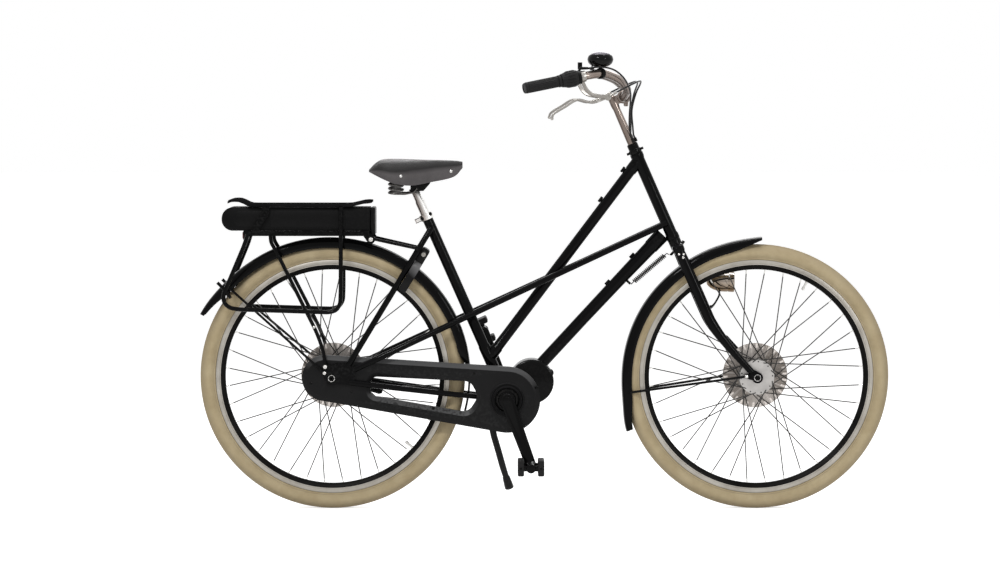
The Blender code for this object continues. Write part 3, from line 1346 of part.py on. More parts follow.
def bell_lever():
    """Thumb lever that swings between the bell's base plate and its dome."""
    pin_x = BELL_CENTRE[0] - BELL_PIVOT_BACK
    half = BELL_ARM_T / 2
    tip = (pin_x - 0.0320, 0.004)
    plate = bell_plate(((pin_x, 0.0), 0.0060), (tip, 0.0045), -half, half)
    root = Vector((tip[0], BELL_CENTRE[1] - tip[1], BELL_ARM_Z))
    pad = rod(root - Vector((0, 0, half - 0.0001)), root + Vector((0, 0, 0.0160)), 0.0065, 8)
    hole = rod((pin_x, BELL_CENTRE[1], BELL_ARM_Z - 0.01), (pin_x, BELL_CENTRE[1], BELL_ARM_Z + 0.01), clear(BELL_PIN_R, 8), 8)
    return cut(join(plate, pad), hole)


def cable(route, ending):
    """Outer cable from its stop on the bar down to the top of the headset."""
    forward, y = CABLE_ENDS[ending]
    end = steer(CABLE_END_S, forward, y)
    points = [Vector(p) for p in route] + [end + STEER_UP * 0.02]
    return sweep([*smooth_path(points, 2), end], circle(CABLE_R, 5))


def headlight():
    """Bullet lamp on a bracket from the left fork blade."""
    rear = Vector(LAMP_REAR)
    profile = [(0.0, 0.0), (0.0, 0.010), (0.012, 0.020), (0.032, 0.0275), (0.056, LAMP_R - 0.001),
               (LAMP_LENGTH - 0.004, LAMP_R), (LAMP_LENGTH, LAMP_R), (LAMP_LENGTH, LAMP_R - 0.003),
               (LAMP_LENGTH - 0.003, LAMP_R - 0.004), (LAMP_LENGTH - 0.001, 0.0)]
    body = lathe(profile, rear, (1, 0, 0), 14, looped=False)
    grip_point = blade_point(LAMP_BRACKET_S, 1)
    belly = rear + Vector((0.034, 0, -0.024))
    knee = belly + Vector((0.0, 0.0, -0.016))
    edge = grip_point + STEER_FWD * interpolate(BLADE_HALF_DEPTHS, LAMP_BRACKET_S)
    arm = sweep([belly, knee, edge + STEER_FWD * 0.010, grip_point], rounded_section(0.0060, 0.0025, 0.001, 1))
    return cut(join(body, arm), fork_blade(1, FIT * 1.2))


def blade_point(s, side):
    """Centre of a fork blade at height s: straight above, then raked forward to the axle."""
    share = (CROWN_S - s) / CROWN_S
    y = BLADE_OFFSET + (FORK_HALF + FORK_END_T / 2 - BLADE_OFFSET) * share
    bend = max(0.0, 1 - s / BLADE_BEND_S) ** BLADE_BEND_POWER
    return steer(s, FORK_RAKE * bend, side * y)


# Mudguards
def guard_ring(axle, angle, half, drop, radius):
    """Cross-section of the guard at an angle round the axle."""
    a = radians(angle)
    radial = Vector((cos(a), 0, sin(a)))
    ring = []
    shape = [(1.0, drop), (0.90, drop * 0.30), (0.52, 0.0)]
    outer = [(-half * u, -fall) for u, fall in shape] + [(half * u, -fall) for u, fall in reversed(shape)]
    inner = []
    for u, fall in shape:
        thick = 0.0 if u == 1.0 else GUARD_T * (0.6 if u > 0.6 else 1.0)
        inner.append((half * u - GUARD_T, -fall - thick))
    inner += [(-y, rise) for y, rise in reversed(inner)]
    for y, rise in outer + inner:
        ring.append(axle + radial * (radius + rise) + LEFT * y)
    return ring


def guard_stay(axle, eye, eye_y, angle, side, radius):
    """Thin rod from an eye at the axle to the guard's skirt."""
    eye_point = axle + Vector((eye[0], side * eye_y, eye[1]))
    a = radians(angle)
    skirt = axle + Vector((cos(a), 0, sin(a))) * (radius - GUARD_DROP * 0.75) + LEFT * side * (GUARD_HALF - GUARD_T * 0.55)
    eyelet = rod(eye_point - LEFT * GUARD_EYE_HALF, eye_point + LEFT * GUARD_EYE_HALF, 0.0060, 8)
    return [eyelet, rod(eye_point + LEFT * side * 0.0012, skirt, GUARD_STAY_R, 6)]


def front_mudguard():
    rings = []
    steps = 17
    for k in range(steps + 1):
        angle = FRONT_GUARD_FROM + (FRONT_GUARD_TO - FRONT_GUARD_FROM) * k / steps
        tip = max(0.0, 1 - (angle - FRONT_GUARD_FROM) / 14)
        tail = max(0.0, 1 - (FRONT_GUARD_TO - angle) / GUARD_FLARE_ARC)
        drop = GUARD_DROP * (1 - 0.72 * tip) * (1 - 0.3 * tail)
        rings.append(guard_ring(FRONT_AXLE, angle, GUARD_HALF, drop, interpolate(FRONT_GUARD_RADII, angle)))
    body = loft(rings)
    parts = []
    for side in (-1, 1):
        parts += guard_stay(FRONT_AXLE, FORK_EYE, FORK_HALF + FORK_END_T + FIT + GUARD_EYE_HALF, 187.0, side,
                            interpolate(FRONT_GUARD_RADII, 187.0))
    return join(body, *parts)


def rear_mudguard():
    rings = []
    steps = 22
    for k in range(steps + 1):
        angle = REAR_GUARD_FROM + (REAR_GUARD_TO - REAR_GUARD_FROM) * k / steps
        open_up = min(1.0, max(0.0, (angle - REAR_GUARD_PINCH_END) / 10))
        half = REAR_GUARD_PINCH_HALF + (GUARD_HALF - REAR_GUARD_PINCH_HALF) * open_up
        tail = max(0.0, 1 - (REAR_GUARD_TO - angle) / GUARD_FLARE_ARC)
        drop = GUARD_DROP * (0.20 + 0.80 * open_up) * (1 - 0.55 * tail)
        rings.append(guard_ring(REAR_AXLE, angle, half, drop, interpolate(REAR_GUARD_RADII, angle)))
    body = loft(rings)
    parts = []
    for side in (-1, 1):
        parts += guard_stay(REAR_AXLE, GUARD_EYE, REAR_HALF + DROPOUT_T + FIT + GUARD_EYE_HALF, 139.0, side,
                            interpolate(REAR_GUARD_RADII, 139.0))
    return join(body, *parts)


# Rack, battery and rear fittings
def hoop_path(side):
    """Pannier hoop: down behind, forward along the bottom and up to the deck."""
    points = [(-0.7990, RAIL_BOTTOM + 0.004), (-0.8080, 0.7180), (-0.8500, 0.6180), (-0.8640, 0.5860), (-0.8630, 0.5640),
              (-0.8480, 0.5500), (-0.8200, 0.5455), (-0.5800, 0.5378), (-0.5610, 0.5430), (-0.5500, 0.5600),
              (-0.5485, 0.6000), (-0.5485, DECK_BOTTOM - FIT)]
    top = RAIL_Y + RAIL_HALF + 0.0015
    path = []
    for x, z in points:
        low = min(1.0, max(0.0, (RAIL_BOTTOM - z) / 0.07))
        path.append(Vector((x, side * (top + (HOOP_Y - top) * low), z)))
    return path


def leg_path(side):
    eye = at_rear(RACK_EYE)
    outer = REAR_HALF + DROPOUT_T + LEG_TUBE_R + FIT
    top = RAIL_Y + RAIL_HALF
    points = [(-0.7380, top, RAIL_BOTTOM + 0.004), (-0.7370, top, 0.7260), (-0.7229, top + 0.002, 0.7024),
              (-0.6893, top + 0.004, 0.6352), (-0.6449, outer, 0.5465), (-0.6150, outer, 0.4870),
              (-0.5985, outer, 0.4420), (eye.x, outer, eye.z + 0.012), (eye.x, outer, eye.z)]
    return [Vector((x, y * side, z)) for x, y, z in points]


def rack_frame():
    """Rails under the battery, pannier hoops, legs to the dropouts and links to the seat stays."""
    body = solid_box((RAIL_REAR, -RAIL_Y - RAIL_HALF, RAIL_BOTTOM), (RAIL_FRONT, -RAIL_Y + RAIL_HALF, RAIL_TOP))
    parts = [solid_box((RAIL_REAR, RAIL_Y - RAIL_HALF, RAIL_BOTTOM), (RAIL_FRONT, RAIL_Y + RAIL_HALF, RAIL_TOP))]
    reach = PLATE_INSET + PLATE_HALF
    for x in (RAIL_REAR + reach, (RAIL_REAR + RAIL_FRONT) / 2, RAIL_FRONT - reach):
        parts.append(solid_box((x - PLATE_HALF, -RAIL_Y, RAIL_BOTTOM + 0.002), (x + PLATE_HALF, RAIL_Y, RAIL_TOP)))
    for side in (-1, 1):
        parts.append(sweep(hoop_path(side), circle(RACK_TUBE_R, 6)))
        parts.append(sweep(leg_path(side), circle(LEG_TUBE_R, 6)))
        foot = leg_path(side)[-1]
        parts.append(rod(foot - LEFT * LEG_TUBE_R, foot + LEFT * LEG_TUBE_R, 0.0075, 8))
        strap_y = side * (RAIL_Y + RAIL_HALF - 0.0015)
        strap = sweep([Vector((-0.7790, strap_y, RAIL_TOP - 0.006)), Vector((-0.7760, strap_y, RAIL_TOP + 0.008)),
                       Vector((-0.7510, strap_y, DECK_BOTTOM - 0.014)), Vector((-0.7510, strap_y, DECK_BOTTOM - FIT))],
                      box_section(0.0040, 0.0100))
        parts.append(strap)
        lobe = two_circles((RAIL_FRONT - 0.012, RAIL_BOTTOM + 0.006), 0.0070, (RAIL_FRONT + 0.004, RAIL_BOTTOM - 0.009), 0.0115, 6)
        hole = [(RAIL_FRONT + 0.004 + u, RAIL_BOTTOM - 0.009 + v) for u, v in circle(0.0040, 8)]
        y = side * (RAIL_Y + RAIL_HALF - 0.0005)
        parts.append(prism([lobe, hole], min(y, y - side * 0.004), max(y, y - side * 0.004)))
        stay = seat_stay_path(side)
        grip_point = stay_point(side, 0.858)
        start = Vector((RAIL_FRONT + 0.0125, side * (RAIL_Y + RAIL_HALF - 0.0025), RAIL_BOTTOM - 0.0085))
        knee = start + (grip_point - start) * 0.25
        knee.z += 0.001
        clamp_point = grip_point + LEFT * side * (STAY_R + LINK_R + 0.0012) - Vector((0.002, 0, 0))
        parts.append(rod(start - (clamp_point - start).normalized() * 0.006, clamp_point, LINK_R, 6))
        parts.append(rod(clamp_point - LEFT * 0.0028, clamp_point + LEFT * 0.0028, 0.0075, 8))
    return join(body, *parts)


def stay_point(side, t):
    path = smooth_path(seat_stay_path(side), 8)
    low = path[0]
    high = path[-1]
    return min(path, key=lambda p: abs((p.z - low.z) / (high.z - low.z) - t))


def rack_deck():
    """Top plate with both ends turned up and three long slots."""
    rear = [(DECK_REAR, DECK_LIFT), (DECK_REAR + 0.008, DECK_LIFT + 0.004), (DECK_REAR + 0.030, DECK_LIFT + 0.004),
            (DECK_REAR + 0.062, 0.0)]
    front = [(DECK_FRONT - 0.055, 0.0), (DECK_FRONT - 0.022, DECK_LIFT - 0.001), (DECK_FRONT, DECK_LIFT)]
    rings = []
    for x, lift in rear + front:
        z = DECK_BOTTOM + lift
        section = rounded_section(DECK_HALF, DECK_T / 2, 0.0028, 1)
        rings.append([Vector((x, u, z + DECK_T / 2 + v)) for u, v in section])
    body = loft(rings)
    slots = []
    width = 2 * DECK_HALF / (2 * DECK_SLOTS + 1)
    for k in range(DECK_SLOTS):
        y = -DECK_HALF + width * (2 * k + 1.5)
        slots.append(solid_box((DECK_REAR + 0.085, y - width / 2, DECK_BOTTOM - 0.02),
                               (DECK_FRONT - 0.075, y + width / 2, DECK_BOTTOM + 0.03)))
    return cut(body, *slots)


def battery():
    """Case with a half-round tail, a square front and softened long edges."""
    low = BATTERY_BOTTOM
    high = BATTERY_BOTTOM + BATTERY_HEIGHT
    outline = [(BATTERY_FRONT, low), (BATTERY_FRONT, high)]
    r = BATTERY_NOSE_R
    for k in range(7):
        a = radians(90 + 90 * k / 6)
        outline.append((BATTERY_REAR + r + r * cos(a), high - r + r * sin(a)))
    for k in range(7):
        a = radians(180 + 90 * k / 6)
        outline.append((BATTERY_REAR + r + r * cos(a), low + r + r * sin(a)))
    return prism([outline], -BATTERY_HALF, BATTERY_HALF, edge=0.007)


def battery_dock():
    """Front holder with the contacts, and the key barrel on its left."""
    low = RAIL_BOTTOM + 0.001
    x0 = BATTERY_FRONT + RUNNING_GAP
    high = DECK_BOTTOM - FIT
    inner = RAIL_Y - RAIL_HALF - 0.0006
    body = solid_box((x0, -inner, low), (x0 + DOCK_T, inner, high - 0.001), edge=0.003)
    key = rod((x0 + DOCK_T * 0.5, inner - 0.002, (low + high) / 2), (x0 + DOCK_T * 0.5, inner + 0.003, (low + high) / 2), 0.005, 10)
    foot = solid_box((RAIL_FRONT - PLATE_INSET + FIT, -inner * 0.8, low), (x0 + 0.004, inner * 0.8, RAIL_TOP - FIT))
    return join(body, key, foot)


def rear_light():
    x = RAIL_REAR + PLATE_INSET - FIT
    return solid_box((x - 0.014, -0.030, RAIL_BOTTOM - 0.012), (x, 0.030, RAIL_TOP - 0.001), edge=0.003)


# Seat
def saddle_outline(t):
    """Top height, side drop and half width of the saddle at a share of its length from the tail."""
    head = seat(POST_TOP_D)
    x = head.x + SADDLE_TAIL + (SADDLE_NOSE - SADDLE_TAIL) * t
    width = interpolate(SADDLE_WIDTHS, t) * SADDLE_HALF_WIDTH
    return x, head.z + interpolate(SADDLE_TOPS, t), head.z + interpolate(SADDLE_LOWS, t), width


def interpolate(table, t):
    for (t0, v0), (t1, v1) in zip(table, table[1:]):
        if t <= t1:
            return v0 + (v1 - v0) * (t - t0) / (t1 - t0)
    return table[-1][1]


def saddle_top():
    """Crowned leather top whose sides hang down, open below, with the rear plate that the springs carry."""
    shares = [0.0, 0.06, 0.14, 0.24, 0.34, 0.46, 0.58, 0.72, 0.86, 0.95, 1.0]
    rows = []
    for t in shares:
        x, top, low, width = saddle_outline(t)
        shape = [(0.0, 0.0), (0.34, 0.03), (0.66, 0.13), (0.88, 0.34), (0.985, 0.66), (1.0, 1.0)]
        row = []
        for u, drop in shape:
            row.append(Vector((x, u * width, top - (top - low) * drop)))
        rows.append([Vector((p.x, -p.y, p.z)) for p in reversed(row[1:])] + row)
    bm = bmesh.new()
    outer = [[bm.verts.new(p) for p in row] for row in rows]
    head = seat(POST_TOP_D)
    middle_z = head.z + 0.04548
    inner = []
    for row in rows:
        line = []
        for p in row:
            toward = Vector((0, -p.y, min(0.0, middle_z - p.z) * 2.2))
            if toward.length < 1e-6:
                toward = Vector((0, 0, -1))
            line.append(bm.verts.new(p + toward.normalized() * SADDLE_WALL))
        inner.append(line)
    count = len(outer[0])
    for a, b in zip(range(len(rows) - 1), range(1, len(rows))):
        for k in range(count - 1):
            bm.faces.new((outer[a][k], outer[a][k + 1], outer[b][k + 1], outer[b][k]))
            bm.faces.new((inner[a][k], inner[b][k], inner[b][k + 1], inner[a][k + 1]))
        bm.faces.new((outer[a][0], outer[b][0], inner[b][0], inner[a][0]))
        bm.faces.new((outer[a][-1], inner[a][-1], inner[b][-1], outer[b][-1]))
    for row_outer, row_inner in ((outer[0], inner[0]), (outer[-1], inner[-1])):
        for k in range(count - 1):
            bm.faces.new((row_outer[k], row_inner[k], row_inner[k + 1], row_outer[k + 1]))
    bmesh.ops.recalc_face_normals(bm, faces=bm.faces)
    x, top, low, width = saddle_outline(0.22)
    coil = head + Vector(COIL_BASE)
    plate_z = coil.z + COIL_RISE + RAIL_WIRE_R + FIT
    skirt = solid_box((coil.x - 0.014, -width * 0.9, plate_z), (coil.x + 0.016, width * 0.9, plate_z + 0.003))
    nose_x = head.x + SADDLE_NOSE - 0.020
    nose_z = head.z + NOSE_PLATE_RISE
    nose = solid_box((nose_x - 0.006, -0.0220, nose_z), (nose_x + 0.006, 0.0220, nose_z + 0.0035))
    return join(bm, skirt, nose)


def rail_path():
    """One wire: left coil, left rail, round the nose, right rail and right coil."""
    head = seat(POST_TOP_D)
    coil = head + Vector(COIL_BASE)
    steps = 7
    half = []
    for k in range(COIL_TURNS * steps + 1):
        a = pi / 2 + 2 * pi * k / steps
        share = k / (COIL_TURNS * steps)
        half.append(Vector((coil.x + COIL_R * cos(a), coil.y + COIL_R * sin(a), coil.z + COIL_RISE * share)))
    lead = [Vector((coil.x + 0.026, coil.y + COIL_R - 0.004, coil.z - 0.0005)),
            Vector((coil.x + 0.046, RAIL_SPREAD + 0.012, coil.z + 0.003))]
    lead += [head + Vector((x, RAIL_SPREAD * share, z)) for x, share, z in RAIL_POINTS]
    left = list(reversed(half)) + lead
    right = [Vector((p.x, -p.y, p.z)) for p in reversed(left)]
    return left + right


def saddle_frame():
    """Rails with their coil springs in one wire, and the clamp block on the seat post."""
    path = rail_path()
    gap = COIL_RISE / COIL_TURNS - 2 * RAIL_WIRE_R
    for i, point in enumerate(path):
        for far in path[i + 6:]:
            gap = min(gap, (point - far).length - 2 * RAIL_WIRE_R)
    print(f"saddle springs: least gap of the wire to itself {gap * 1000:.2f} mm")
    wire = sweep(path, circle(RAIL_WIRE_R, 5, pi / 5), hint=(0, 0, 1))
    top = seat(POST_TOP_D + FIT)
    block = solid_box((-0.0215, -RAIL_SPREAD - 0.008, 0.0), (0.0215, RAIL_SPREAD + 0.008, 0.0215), edge=0.004)
    lean = Matrix.Rotation(radians(90 - SEAT_ANGLE) * -0.45, 4, "Y")
    bmesh.ops.transform(block, matrix=lean, verts=block.verts)
    bmesh.ops.translate(block, vec=top + Vector((0.000, 0, 0.0060)), verts=block.verts)
    cap = lathe([(0.0, 0.0), (0.0, 0.0145), (0.012, 0.0145), (0.012, 0.0)], top, SEAT_DIR, 14, looped=False)
    return join(block, cap, wire)


def seatpost():
    marks = [(POST_BOTTOM_D, POST_R), (POST_TOP_D - 0.030, POST_R), (POST_TOP_D - 0.024, POST_R - 0.0018),
             (POST_TOP_D, POST_R - 0.0018)]
    return tube([seat(d) for d, r in marks], POST_R, 14, [r for d, r in marks])


def seat_clamp():
    """Collar round the top of the seat tube, with its bolt behind."""
    top = SEAT_TUBE_LENGTH + 0.001
    low = top - COLLAR_HEIGHT
    bore = clear(SEAT_TUBE_R, 14)
    ring = lathe([(low, bore), (low, COLLAR_R), (top, COLLAR_R), (top, bore)], BB, SEAT_DIR, 14)
    middle = seat((top + low) / 2, -COLLAR_R - 0.006)
    ear = sweep([seat((top + low) / 2, -COLLAR_R + 0.0015), middle - Vector((0.008, 0, 0.004))], rounded_section(0.0075, 0.0060, 0.002, 1))
    bolt = rod(middle - Vector((0.004, 0.0125, 0.002)), middle + Vector((-0.004, 0.0125, -0.002)), 0.0042, 8)
    return join(ring, ear, bolt)


# Ring lock
def lock_frame():
    """Centre of the lock's ring, its outward direction along the stays, and its forward normal."""
    right = seat_stay_path(1)
    along = (right[-1] - right[0])
    along.y = 0
    out = along.normalized()
    ahead = Vector((out.z, 0, -out.x))
    start = at_rear(SEAT_STAY_END)
    centre = start + (seat(STAY_TOP_D) - start) * LOCK_STAY_T + ahead * (STAY_R + LOCK_HALF + FIT)
    return centre, out, ahead


def ring_lock():
    centre, out, ahead = lock_frame()
    profile = [(-LOCK_HALF, LOCK_INNER_R), (-LOCK_HALF, LOCK_OUTER_R), (LOCK_HALF, LOCK_OUTER_R), (LOCK_HALF, LOCK_INNER_R),
               (LOCK_GROOVE_HALF, LOCK_INNER_R), (LOCK_GROOVE_HALF, LOCK_GROOVE_R), (-LOCK_GROOVE_HALF, LOCK_GROOVE_R),
               (-LOCK_GROOVE_HALF, LOCK_INNER_R)]
    ring = lathe(profile, centre, ahead, 16, start=out, span=2 * LOCK_ARC)
    head = prism([rounded_polygon([(-0.012, 0.056), (-0.012, 0.098), (0.011, 0.098), (0.011, 0.056)], [0.003, 0.008, 0.008, 0.003], 2)],
                 -0.030, 0.030)
    place = Matrix((ahead, LEFT, out)).transposed().to_4x4()
    place.translation = centre
    bmesh.ops.transform(head, matrix=place, verts=head.verts)
    key = rod(centre + out * 0.080 - LEFT * 0.028, centre + out * 0.080 - LEFT * 0.036, 0.0095, 12)
    return join(ring, head, key)


def lock_shackle():
    centre, out, ahead = lock_frame()
    side = ahead.cross(out)
    path = []
    for k in range(11):
        a = radians(-122 + 147 * k / 10)
        path.append(centre + (out * cos(a) + side * sin(a)) * SHACKLE_R)
    return sweep(path, circle(SHACKLE_WIRE_R, 7), hint=tuple(ahead))


# Steering spring and stand
def steering_spring():
    """Coil hooked to the down tube, with a straight rod that hooks to the crown."""
    foot = under_down_tube(SPRING_FOOT)
    head = under_down_tube(SPRING_HEAD)
    hook = steer(CROWN_S + SPRING_HOOK[0], SPRING_HOOK[1])
    way = (head - foot).normalized()
    u = LEFT.copy()
    v = way.cross(u)
    path = [spring_tail(), foot - way * 0.004 + u * SPRING_R * 0.3]
    steps = 7
    for k in range(SPRING_TURNS * steps + 1):
        a = 2 * pi * k / steps
        share = k / (SPRING_TURNS * steps)
        path.append(foot + (head - foot) * share + (u * cos(a) + v * sin(a)) * SPRING_R)
    path.append(head + way * 0.003 + u * SPRING_R * 0.4)
    path.append(head + way * 0.008)
    path.append(steer(CROWN_S + SPRING_BEND[0], SPRING_BEND[1]))
    path.append(hook)
    gap = (head - foot).length / SPRING_TURNS - 2 * SPRING_WIRE_R
    print(f"steering spring: least gap between turns {gap * 1000:.2f} mm")
    return sweep(path, circle(SPRING_WIRE_R, 3), hint=(0, 0, 1))


def kickstand():
    pivot = Vector(STAND_PIVOT)
    foot = Vector(STAND_FOOT)
    path = [pivot, *[Vector(p) for p in STAND_POINTS]]
    leg = tube(path, STAND_R, 8, [STAND_R * 0.95] * (len(path) - 1) + [STAND_R * 0.85])
    way = (foot - Vector(STAND_POINTS[-1])).normalized()
    shoe = tube([foot - way * 0.034, foot - way * 0.012, foot], STAND_FOOT_R, 8, [0.0100, STAND_FOOT_R * 0.95, STAND_FOOT_R])
    boss = rod(pivot - LEFT * STAND_R, pivot + LEFT * STAND_R, 0.0125, 12)
    hole = rod(pivot - LEFT * 0.03, pivot + LEFT * 0.03, clear(STAND_PIN_R, 12), 12)
    return cut(join(boss, leg, shoe), hole)


def build():
    for old in list(bpy.data.objects):
        bpy.data.objects.remove(old)
    paint = material("gloss_black_paint", (0.012, 0.012, 0.013), 0.22)
    satin = material("satin_black_plastic", (0.030, 0.030, 0.032), 0.48)
    metal = material("satin_black_metal", (0.028, 0.028, 0.030), 0.42, 0.3)
    rubber = material("black_rubber", (0.035, 0.035, 0.036), 0.75)
    cream = material("cream_tyre_rubber", (0.47, 0.40, 0.28), 0.80)
    alloy = material("polished_alloy", (0.72, 0.70, 0.68), 0.22, 1.0)
    rim_alloy = material("rim_alloy", (0.52, 0.49, 0.46), 0.40, 1.0)
    steel = material("brushed_steel", (0.42, 0.40, 0.38), 0.38, 1.0)
    chrome = material("chrome", (0.80, 0.78, 0.76), 0.08, 1.0)
    leather = material("saddle_leather", (0.095, 0.085, 0.085), 0.55)
    red = material("red_reflector", (0.45, 0.02, 0.02), 0.25)

    bike = Bicycle()
    bike.body("frame", (0, 0, 0))
    bike.body("steering", steer(CROWN_S), "frame")
    bike.body("front_wheel", FRONT_AXLE, "steering")
    bike.body("rear_wheel", REAR_AXLE, "frame")
    bike.body("sprocket", REAR_AXLE, "frame")
    bike.body("crankset", BB, "frame")
    bike.body("pedal_right", crank_end(-1) - LEFT * CRANK_INNER, "crankset")
    bike.body("pedal_left", crank_end(1) + LEFT * CRANK_INNER, "crankset")
    bike.body("seat", seat(SEAT_TUBE_LENGTH), "frame")
    bike.body("battery", (BATTERY_FRONT, 0, BATTERY_BOTTOM), "frame")
    bike.body("kickstand", STAND_PIVOT, "frame")
    bike.body("lock_shackle", lock_frame()[0], "frame")
    bike.body("twist", along_bar(-1, GRIP_LENGTH), "steering")
    bike.body("bell_lever", (BELL_CENTRE[0] - BELL_PIVOT_BACK, BELL_CENTRE[1], BELL_ARM_Z), "steering")
    for name, side in (("right", -1), ("left", 1)):
        bike.body(f"lever_{name}", mirrored([LEVER_PIVOT], side)[0], "steering")

    bike.add("head_tube", head_tube(), paint, "frame")
    bike.add("top_tube", top_tube(), paint, "frame")
    bike.add("down_tube", down_tube(), paint, "frame")
    bike.add("seat_tube", seat_tube(), paint, "frame")
    for name, side in (("right", -1), ("left", 1)):
        bike.add(f"lateral_tube_{name}", lateral_tube(side), paint, "frame")
        bike.add(f"seat_stay_{name}", seat_stay(side), paint, "frame")
        bike.add(f"chain_stay_{name}", chain_stay(side), paint, "frame")
    bike.add("motor_housing", motor_housing(), metal, "frame")
    bike.add("chaincase", chaincase(), satin, "frame")
    bike.add("chain", chain(), steel, "frame")
    bike.add("rear_mudguard", rear_mudguard(), paint, "frame")
    bike.add("rack_frame", rack_frame(), paint, "frame")
    bike.add("rack_deck", rack_deck(), satin, "frame")
    bike.add("battery_dock", battery_dock(), satin, "frame")
    bike.add("rear_light", rear_light(), red, "frame")
    bike.add("ring_lock", ring_lock(), metal, "frame")
    bike.add("steering_spring", steering_spring(), steel, "frame")
    bike.add("seat_clamp", seat_clamp(), alloy, "frame")
    stay_arm = (REAR_AXLE.x + 0.125, REAR_AXLE.z - 0.046)
    bike.add("rear_axle", axle_set(REAR_AXLE, REAR_HALF + DROPOUT_T, REAR_HALF + DROPOUT_T, (0.0480, 0.0640, REAR_HALF - FIT),
                                   stay_arm, (0.0625, 0.0660)), steel, "frame")

    bike.add("seatpost", seatpost(), alloy, "seat")
    bike.add("saddle_frame", saddle_frame(), steel, "seat")
    bike.add("saddle_top", saddle_top(), leather, "seat")

    bike.add("fork", fork(), paint, "steering")
    bike.add("stem", stem(), alloy, "steering")
    bike.add("handlebar", handlebar(), alloy, "steering")
    bike.add("grip_right", grip(-1, GRIP_LENGTH), rubber, "steering")
    bike.add("grip_left", grip(1, LEFT_GRIP_LENGTH), rubber, "steering")
    bike.add("brake_perch_right", brake_perch(-1), alloy, "steering")
    bike.add("brake_perch_left", brake_perch(1), alloy, "steering")
    bike.add("shifter_housing", shifter_housing(), satin, "steering")
    bike.add("bell", bell(), paint, "steering")
    bike.add("headlight", headlight(), chrome, "steering")
    bike.add("front_mudguard", front_mudguard(), paint, "steering")
    blade_arm = blade_point(0.130, 1)
    bike.add("front_axle", axle_set(FRONT_AXLE, FORK_HALF + FORK_END_T, FORK_HALF + FORK_END_T, (0.0376, 0.0408, FORK_HALF - FIT),
                                    (blade_arm.x + 0.010, blade_arm.z), (0.0376, 0.0396)), steel, "steering")
    bike.add("brake_cable_right", cable(RIGHT_BRAKE_ROUTE, "right"), rubber, "steering")
    bike.add("brake_cable_left", cable(LEFT_BRAKE_ROUTE, "left"), rubber, "steering")
    bike.add("shift_cable", cable(SHIFT_ROUTE, "shift"), rubber, "steering")

    front_hub = hub_profile(-0.0480, -0.0325, 0.0240, 0.0335, 0.012, 0.019)
    bike.add("front_tyre", tyre(FRONT_AXLE), cream, "front_wheel", 60)
    bike.add("front_rim", rim(FRONT_AXLE), rim_alloy, "front_wheel")
    bike.add("front_hub_spokes", laced_hub(FRONT_AXLE, front_hub, (-0.0325, 0.0240), SPOKE_PHASE), steel, "front_wheel")
    bike.add("front_brake_disc", brake_disc(FRONT_AXLE, 0.0338), steel, "front_wheel")
    rear_hub = hub_profile(-0.0365, -0.0300, 0.0310, 0.0425, 0.021, 0.034)
    bike.add("rear_tyre", tyre(REAR_AXLE), cream, "rear_wheel", 60)
    bike.add("rear_rim", rim(REAR_AXLE), rim_alloy, "rear_wheel")
    bike.add("rear_hub_spokes", laced_hub(REAR_AXLE, rear_hub, (-0.0300, 0.0310), SPOKE_PHASE), steel, "rear_wheel")
    bike.add("rear_brake_disc", brake_disc(REAR_AXLE, 0.0428), steel, "rear_wheel")

    bike.add("rear_sprocket", rear_sprocket(), steel, "sprocket")
    bike.add("crank_right", join(crank_right(), pedal_pin(-1)), metal, "crankset")
    bike.add("crank_left", join(crank_left(), pedal_pin(1)), metal, "crankset")
    bike.add("pedal_body_right", pedal(-1), rubber, "pedal_right")
    bike.add("pedal_body_left", pedal(1), rubber, "pedal_left")
    bike.add("brake_lever_right", brake_lever(-1), alloy, "lever_right")
    bike.add("brake_lever_left", brake_lever(1), alloy, "lever_left")
    bike.add("shifter_twist", shifter_twist(), rubber, "twist")
    bike.add("bell_thumb_lever", bell_lever(), metal, "bell_lever")
    bike.add("kickstand_leg", kickstand(), paint, "kickstand")
    bike.add("battery_pack", battery(), satin, "battery")
    bike.add("lock_bolt", lock_shackle(), steel, "lock_shackle")


build()
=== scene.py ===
"""Electric hybrid bicycle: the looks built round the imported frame.

Metres, +Z up, +X forward, +Y to the rider's left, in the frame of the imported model.
The sizes and routes at the top repeat the part's own. The functions after them draw its forms more finely
and make the materials and the studio, and the last part builds every piece.
"""
import bmesh
import bpy
from math import asin, atan2, cos, hypot, pi, radians, sin, tan
from mathutils import Matrix, Vector


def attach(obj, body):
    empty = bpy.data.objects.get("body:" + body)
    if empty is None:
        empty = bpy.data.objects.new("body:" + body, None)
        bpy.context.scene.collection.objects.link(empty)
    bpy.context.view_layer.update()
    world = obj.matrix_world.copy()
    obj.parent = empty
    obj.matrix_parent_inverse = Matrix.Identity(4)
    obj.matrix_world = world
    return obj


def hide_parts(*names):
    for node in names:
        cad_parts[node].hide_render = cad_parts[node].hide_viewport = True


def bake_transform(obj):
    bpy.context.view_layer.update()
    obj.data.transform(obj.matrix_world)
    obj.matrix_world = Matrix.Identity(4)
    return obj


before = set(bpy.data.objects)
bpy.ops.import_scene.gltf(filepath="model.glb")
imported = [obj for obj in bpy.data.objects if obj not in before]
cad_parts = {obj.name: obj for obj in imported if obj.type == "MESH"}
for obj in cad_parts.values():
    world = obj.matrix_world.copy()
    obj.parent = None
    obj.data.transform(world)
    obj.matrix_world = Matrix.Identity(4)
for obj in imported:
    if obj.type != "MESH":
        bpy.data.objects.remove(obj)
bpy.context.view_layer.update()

# How much finer than the solids the curves are drawn, and the steps of smooth curves and of turned or wound forms
FINE = 3
CURVE_STEPS = 8
COIL_STEPS = 18
TYRE_SEGMENTS = 240
RIM_SEGMENTS = 64

